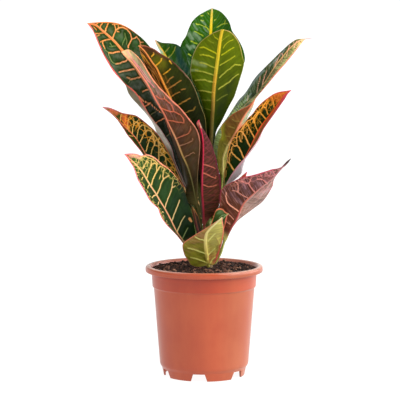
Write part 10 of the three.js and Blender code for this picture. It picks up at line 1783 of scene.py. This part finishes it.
def build_pot():
    v, f = lathe(rounded(POT), 240)
    ob = new_object("shown_pot", v, f)
    cutters = []
    for k in range(6):
        a = math.radians(-7.3 + 60 * k - 90)
        d, s = np.array([math.cos(a), math.sin(a)]), np.array([-math.sin(a), math.cos(a)])
        pts = []
        for rad in (38.0, 52.0):
            for w, z in ((-9.3, -1.0), (9.3, -1.0), (6.5, 8.2), (-6.5, 8.2)):
                p = d * rad + s * w
                pts.append((p[0], p[1], z))
        c = new_object("cut_notch_%d" % k, pts, [[3, 2, 1, 0], [4, 5, 6, 7], [0, 1, 5, 4], [1, 2, 6, 5], [2, 3, 7, 6], [3, 0, 4, 7]], smooth=False)
        cutters.append(c)
    for k in range(9):
        a = math.radians(22.5 + 45 * k)
        cx, cy, rad = (0.0, 0.0, 5.0) if k == 8 else (33 * math.cos(a), 33 * math.sin(a), 4.0)
        n = 40
        pts = [(cx + rad * math.cos(2 * math.pi * i / n), cy + rad * math.sin(2 * math.pi * i / n), z) for z in (7.0, 13.0) for i in range(n)]
        fs = [list(range(n))[::-1], list(range(n, 2 * n))] + [[i, (i + 1) % n, n + (i + 1) % n, n + i] for i in range(n)]
        cutters.append(new_object("cut_hole_%d" % k, pts, fs, smooth=False))
    cut(ob, cutters)
    me = ob.data
    me.shade_smooth()
    me.set_sharp_from_angle(angle=math.radians(32))
    g = Graph("mat_pot")
    tc = g.t.nodes.new("ShaderNodeTexCoord").outputs["Object"]
    broad = g.noise(tc, 26.0, 3.0, 0.5)
    fine = g.noise(tc, 900.0, 2.0, 0.5)
    swirl = g.noise(g.scale(tc, (90, 90, 22)), 1.0, 3.0, 0.6)
    col = g.ramp(g.math("ADD", g.math("MULTIPLY", broad, 0.6), g.math("MULTIPLY", swirl, 0.4)), ((0.3, POT_DARK), (0.7, POT_LIGHT)))
    ox, oy, oz = g.xyz(tc)
    rad = g.math("SQRT", g.math("ADD", g.math("MULTIPLY", ox, ox), g.math("MULTIPLY", oy, oy)))
    # painted shade: a dark band in the corner under the lip, where the lip's shadow falls
    lip_shade = g.math("MULTIPLY", g.step(oz, 0.1095, 0.1145), g.math("SUBTRACT", 1.0, g.step(rad, 0.0590, 0.0615)))
    lip_shade = g.math("MULTIPLY", lip_shade, g.step(rad, 0.0574, 0.0579))
    col = g.mix(g.math("MULTIPLY", lip_shade, 0.4), col, "#5a2412")
    # the collar band is a deeper red
    collar = g.math("MULTIPLY", g.step(oz, 0.0985, 0.1), g.math("SUBTRACT", 1.0, g.step(oz, 0.1145, 0.1155)))
    col = g.mix(collar, col, g.mix(1.0, col, (0.93, 0.65, 0.5, 1), "MULTIPLY"))
    # painted light: the band just below the lip is lightened, lifting the shadow the lip casts there
    under = g.math("MULTIPLY", g.math("MULTIPLY", g.step(oz, 0.1085, 0.1135), g.math("SUBTRACT", 1.0, g.step(oz, 0.1148, 0.1158))), g.math("SUBTRACT", 1.0, g.step(rad, 0.0605, 0.0615)))
    col = g.mix(under, col, g.mix(1.0, col, (1.35, 1.2, 1.05, 1), "MULTIPLY"))
    # painted sheen: the right side of the body and of the collar is paler and greyer, a broad glossy reflection of the
    # light on the right
    right_side_sheen = g.math("MULTIPLY", g.step(ox, 0.006, 0.038), g.math("SUBTRACT", 1.0, collar))
    col = g.mix(right_side_sheen, col, g.mix(1.0, col, (0.81, 1.06, 1.1, 1), "MULTIPLY"))
    right_side_sheen = g.math("MULTIPLY", g.step(ox, 0.012, 0.032), collar)
    col = g.mix(right_side_sheen, col, g.mix(1.0, col, (0.96, 1.24, 1.26, 1), "MULTIPLY"))
    # painted highlight: the top of the rim is pale, more so at the sides, a glossy reflection along the rim
    sides = g.map(g.math("ABSOLUTE", ox), 0.012, 0.045, 0.12, 0.55)
    sides.node.clamp = True
    rim_highlight = g.math("MULTIPLY", g.step(oz, 0.1206, 0.1218), sides)
    col = g.mix(rim_highlight, col, "#e0b8a4")
    # painted light: the inside of the wall near the top is lightened towards pink, lifting the shade there
    inner = g.math("MULTIPLY", g.math("SUBTRACT", 1.0, g.step(rad, 0.0592, 0.0602)), g.step(oz, 0.1165, 0.119))
    col = g.mix(g.math("MULTIPLY", inner, 0.55), col, "#d88c7c")
    lip = g.step(oz, 0.1175, 0.1205)
    rough = g.math("SUBTRACT", g.map(broad, 0.3, 0.7, 0.3, 0.4), g.math("MULTIPLY", lip, 0.1))
    g.set(Base_Color=col, Roughness=rough, Specular_IOR_Level=0.5, Coat_Weight=0.0,
          Sheen_Weight=0.18, Sheen_Roughness=0.3, Subsurface_Weight=0.0, Normal=g.bump(fine, 0.00006, 0.5))
    me.materials.clear()
    me.materials.append(g.mat)
    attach(ob, "root")
    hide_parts("pot")
    return ob


POT_DARK, POT_LIGHT = "#a64222", "#b04e2a"


# ---------------------------------------------------------------- potting mix
STALK_FEET = [(4.5, 0.0, 6.6), (4.5, -7.6, 3.4)]   # x, y, radius kept clear


def soil_height(x, y, nz):
    r = np.hypot(x, y)
    z = 119.9 - 1.0 * (r / 56.4) ** 2
    lump = (nz.fractal(x * 0.12 + 20, y * 0.12 + 20, 5) - 0.5) * 2.6 + (nz(x * 0.75 + 5, y * 0.75) - 0.5) * 0.9 + (nz(x * 1.6, y * 1.6 + 9) - 0.5) * 0.45
    keep = 1 - ease(52.5, 57.0, r) * 0.7
    for cx, cy, q in STALK_FEET:
        keep = keep * (0.15 + 0.85 * ease(q - 1.5, q + 4, np.hypot(x - cx, y - cy)))
    return z + (lump - 0.35) * keep


def build_soil():
    nz = Noise(77)
    rng = np.random.default_rng(21)
    rr = np.linspace(0, 57.3, 84)[1:]
    seg = 380
    ang = np.arange(seg) * 2 * np.pi / seg
    verts = [(0.0, 0.0, float(soil_height(np.array(0.0), np.array(0.0), nz)))]
    R, A = np.meshgrid(rr, ang, indexing="ij")
    X, Y = R * np.cos(A), R * np.sin(A)
    Z = soil_height(X, Y, nz)
    verts += np.stack([X, Y, Z], -1).reshape(-1, 3).tolist()
    n = len(rr)
    faces = [[0, 1 + i, 1 + (i + 1) % seg] for i in range(seg)]
    for k in range(n - 1):
        a, b = 1 + k * seg, 1 + (k + 1) * seg
        faces += [[a + i, b + i, b + (i + 1) % seg, a + (i + 1) % seg] for i in range(seg)]
    # down the wall and across the bottom
    for r, z in ((56.3, 113.0), (55.4, 99.6), (53.7, 97.0), (47.1, 14.2), (45.9, 12.1), (44.9, 11.4)):
        a, b = len(verts) - seg, len(verts)
        verts += [(r * math.cos(t), r * math.sin(t), z) for t in ang]
        faces += [[a + i, b + i, b + (i + 1) % seg, a + (i + 1) % seg] for i in range(seg)]
    a = len(verts) - seg
    verts.append((0.0, 0.0, 11.4))
    faces += [[a + i, len(verts) - 1, a + (i + 1) % seg] for i in range(seg)]
    ob = new_object("shown_soil", verts, faces)
    floats(ob.data, "bit_tone", np.full(len(verts), 0.0))
    # crumbs and chips of bark and peat
    ico_v, ico_f = icosphere()
    V, F, T = [], [], []
    count = 0
    while count < 1500:
        rad, th = 56.0 * math.sqrt(rng.random()), rng.random() * 2 * math.pi
        x, y = rad * math.cos(th), rad * math.sin(th)
        a = float(np.clip(rng.lognormal(0.1, 0.5), 0.55, 3.4))
        b, c = a * rng.uniform(0.35, 0.75), a * rng.uniform(0.25, 0.5)
        if rad + a > 56.9 or any(math.hypot(x - cx, y - cy) < q + a for cx, cy, q in STALK_FEET):
            continue
        p = ico_v * (1 + (rng.random((len(ico_v), 1)) - 0.5) * 0.5)
        p = np.sign(p) * np.abs(p) ** 0.8 * np.array([a, b, c])
        yaw, tilt, roll = rng.random() * 2 * math.pi, rng.normal() * 0.35, rng.normal() * 0.5
        cy_, sy = math.cos(yaw), math.sin(yaw)
        ct, st = math.cos(tilt), math.sin(tilt)
        cr, sr = math.cos(roll), math.sin(roll)
        Rm = np.array([[cy_, -sy, 0], [sy, cy_, 0], [0, 0, 1]]) @ np.array([[ct, 0, st], [0, 1, 0], [-st, 0, ct]]) @ np.array([[1, 0, 0], [0, cr, -sr], [0, sr, cr]])
        z = float(soil_height(np.array(x), np.array(y), nz)) + c * rng.uniform(0.1, 0.7)
        q = p @ Rm.T + np.array([x, y, z])
        if np.hypot(q[:, 0], q[:, 1]).max() > 57.2:
            continue
        F.append(ico_f + len(ico_v) * count)
        V.append(q)
        T.append(np.full(len(ico_v), rng.random()))
        count += 1
    bits = new_object("soil_chips", np.concatenate(V), np.concatenate(F), smooth=False)
    floats(bits.data, "bit_tone", np.concatenate(T))
    g = Graph("mat_soil")
    tc = g.t.nodes.new("ShaderNodeTexCoord").outputs["Object"]
    a, b = g.noise(tc, 260.0, 4.0, 0.65), g.noise(tc, 1100.0, 2.0, 0.6)
    base = g.ramp(g.math("ADD", g.math("MULTIPLY", a, 0.75), g.math("MULTIPLY", b, 0.25)), ((0.3, "#0f0705"), (0.45, "#1e110b"), (0.56, "#341e13"), (0.66, "#4e3022"), (0.8, "#6c4736")))
    g.set(Base_Color=base, Roughness=0.85, Specular_IOR_Level=0.25, Normal=g.bump(g.math("ADD", a, g.math("MULTIPLY", b, 0.5)), 0.0006, 0.7))
    ob.data.materials.append(g.mat)
    g = Graph("mat_chips")
    tc = g.t.nodes.new("ShaderNodeTexCoord").outputs["Object"]
    tone = g.attr("bit_tone").outputs["Fac"]
    b = g.noise(tc, 700.0, 3.0, 0.6)
    colour = g.ramp(g.math("ADD", tone, g.map(b, 0.3, 0.7, -0.14, 0.14)), ((0.0, "#100704"), (0.3, "#24120b"), (0.55, "#3e2419"), (0.75, "#5e392a"), (0.9, "#785040"), (1.0, "#8e664f")))
    g.set(Base_Color=colour, Roughness=0.8, Specular_IOR_Level=0.3, Normal=g.bump(b, 0.0004, 0.6))
    bits.data.materials.append(g.mat)
    for o in (ob, bits):
        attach(o, "root")
    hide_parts("soil")


def icosphere():
    """A ball of 42 points and 80 triangles."""
    f = (1 + 5 ** 0.5) / 2
    v = [(-1, f, 0), (1, f, 0), (-1, -f, 0), (1, -f, 0), (0, -1, f), (0, 1, f), (0, -1, -f), (0, 1, -f), (f, 0, -1), (f, 0, 1), (-f, 0, -1), (-f, 0, 1)]
    t = [(0, 11, 5), (0, 5, 1), (0, 1, 7), (0, 7, 10), (0, 10, 11), (1, 5, 9), (5, 11, 4), (11, 10, 2), (10, 7, 6), (7, 1, 8),
         (3, 9, 4), (3, 4, 2), (3, 2, 6), (3, 6, 8), (3, 8, 9), (4, 9, 5), (2, 4, 11), (6, 2, 10), (8, 6, 7), (9, 8, 1)]
    v = [np.array(p, float) / np.linalg.norm(p) for p in v]
    seen, out = {}, []

    def half(a, b):
        k = (min(a, b), max(a, b))
        if k not in seen:
            m = v[a] + v[b]
            v.append(m / np.linalg.norm(m))
            seen[k] = len(v) - 1
        return seen[k]

    for a, b, c in t:
        ab, bc, ca = half(a, b), half(b, c), half(c, a)
        out += [(a, ab, ca), (b, bc, ab), (c, ca, bc), (ab, bc, ca)]
    return np.array(v), np.array(out)


# ---------------------------------------------------------------- stem
def build_stem():
    P = np.array([(4.6, 0, 107.9, 5.1), (4.6, 0, 114.4, 5.1), (4.3, 0, 131.8, 4.9), (3.85, 0, 148.0, 4.7), (3.4, 0, 164.0, 4.5), (3.15, 0, 180.0, 4.2), (3.0, 0, 191.5, 3.4), (2.95, 0, 199.0, 2.4), (2.9, 0, 203.2, 1.5)])
    n, seg = 240, 56
    z = np.linspace(P[0, 2], P[-1, 2], n)
    cx = np.interp(z, P[:, 2], P[:, 0])
    rad = np.interp(z, P[:, 2], P[:, 3])
    nz = Noise(9)
    ang = np.arange(seg) * 2 * np.pi / seg
    Z, A = np.meshgrid(z, ang, indexing="ij")
    r = rad[:, None] * (1 + 0 * A)
    k = 0
    for zz in np.arange(122.0, 196.0, 7.4):              # scars where older leaves grew
        a0 = 2.4 * k
        d = np.angle(np.exp(1j * (A - a0)))
        r = r + 0.55 * np.exp(-((Z - zz) / 0.9) ** 2) * (0.35 + 0.65 * np.exp(-(d / 0.9) ** 2)) - 0.25 * np.exp(-((Z - zz - 1.6) / 0.8) ** 2)
        k += 1
    r = r + (nz.fractal(A * 3.2, Z * 0.28, 4) - 0.5) * 0.45 * ease(0, 6, 203 - Z)
    r = np.minimum(r, rad[:, None] + 0.45)
    X, Y = cx[:, None] + r * np.cos(A), r * np.sin(A)
    V = np.stack([X, Y, Z], -1).reshape(-1, 3).tolist()
    F = [[i * seg + j, i * seg + (j + 1) % seg, (i + 1) * seg + (j + 1) % seg, (i + 1) * seg + j] for i in range(n - 1) for j in range(seg)]
    V += [(float(cx[0]), 0.0, float(z[0])), (float(cx[-1]), 0.0, float(z[-1]) + 0.6)]
    F += [[(j + 1) % seg, j, len(V) - 2] for j in range(seg)] + [[(n - 1) * seg + j, (n - 1) * seg + (j + 1) % seg, len(V) - 1] for j in range(seg)]
    ob = new_object("shown_stem", V, F)
    g = Graph("mat_stem")
    tc = g.t.nodes.new("ShaderNodeTexCoord").outputs["Object"]
    h = g.xyz(tc)[2]
    a = g.noise(g.scale(tc, (420, 420, 110)), 1.0, 4.0, 0.6)
    low = g.ramp(a, ((0.3, "#4a3a2a"), (0.5, "#6f5a3c"), (0.7, "#8f7a58")))
    high = g.ramp(a, ((0.3, "#4a5626"), (0.5, "#66702f"), (0.7, "#868a48")))
    g.set(Base_Color=g.mix(g.step(h, 0.128, 0.165), low, high), Roughness=0.7, Specular_IOR_Level=0.3, Normal=g.bump(a, 0.0005, 0.6))
    ob.data.materials.append(g.mat)
    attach(ob, "root")
    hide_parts("stem")


# ---------------------------------------------------------------- everything in place
for name, spec in SPECS.items():
    build_leaf(name, spec)
build_pot()
build_soil()
build_stem()

# floor: a white sheet lit from above and a little from below
ring = [(110000.0 * math.cos(2 * math.pi * i / 64), 110000.0 * math.sin(2 * math.pi * i / 64), -0.4) for i in range(64)]
floor = new_object("floor", ring, [list(range(64))], smooth=False)
g = Graph("mat_floor")
g.set(Base_Color=(0.14, 0.14, 0.14, 1), Roughness=0.9, Specular_IOR_Level=0.1, Emission_Color=(1, 1, 1, 1), Emission_Strength=0.94)
floor.data.materials.append(g.mat)

# a soft white room: bright low down behind, a soft box on the right, a weaker one on the left
world = bpy.data.worlds.new("studio")
bpy.context.scene.world = world
world.use_nodes = True
wt = world.node_tree
bg = wt.nodes["Background"]
bg.inputs[0].default_value = (1.0, 1.0, 1.0, 1)
w = Graph.__new__(Graph)
w.t = wt
wd = wt.nodes.new("ShaderNodeTexCoord").outputs["Generated"]
wx, wy, wz = w.xyz(wd)


def glow(direction, inner, outer, strength):
    n = wt.nodes.new("ShaderNodeVectorMath")
    n.operation = "DOT_PRODUCT"
    w.link(wd, n.inputs[0])
    n.inputs[1].default_value = Vector(direction).normalized()
    return w.math("MULTIPLY", w.step(n.outputs["Value"], outer, inner), strength)


back_band = w.math("MULTIPLY", w.math("MULTIPLY", w.math("SUBTRACT", 1.0, w.step(wz, 0.03, 0.40)), w.step(wy, -0.25, 0.4)), 0.75)
total = w.math("ADD", w.math("ADD", back_band, 0.30), w.math("ADD", glow((0.97, 0.0, 0.15), 0.94, 0.60, 4.6), glow((-0.9, -0.3, 0.3), 0.96, 0.85, 0.5)))
w.link(total, bg.inputs[1])


def sun(name, direction, angle, strength, colour=(1, 1, 1)):
    d = bpy.data.lights.new(name, "SUN")
    d.angle, d.energy, d.color = math.radians(angle), strength, colour
    o = bpy.data.objects.new(name, d)
    bpy.context.scene.collection.objects.link(o)
    o.rotation_euler = (-Vector(direction)).to_track_quat("-Z", "Y").to_euler()
    return o


for args in SUNS:
    sun(*args)

cam = bpy.data.objects.new("camera", bpy.data.cameras.new("camera"))
bpy.context.scene.collection.objects.link(cam)
cam.location = (-0.00458, -2.0, 0.4094)
cam.rotation_euler = (math.pi / 2 - 0.107, 0, 0)
cam.data.sensor_width = 36.0
cam.data.lens = 36.0 * 1823.3 / 400.0
cam.data.clip_start, cam.data.clip_end = 0.05, 500.0
bpy.context.scene.camera = cam

bpy.context.scene.view_settings.view_transform = "Standard"
bpy.context.scene.view_settings.look = "None"

bpy.context.view_layer.update()
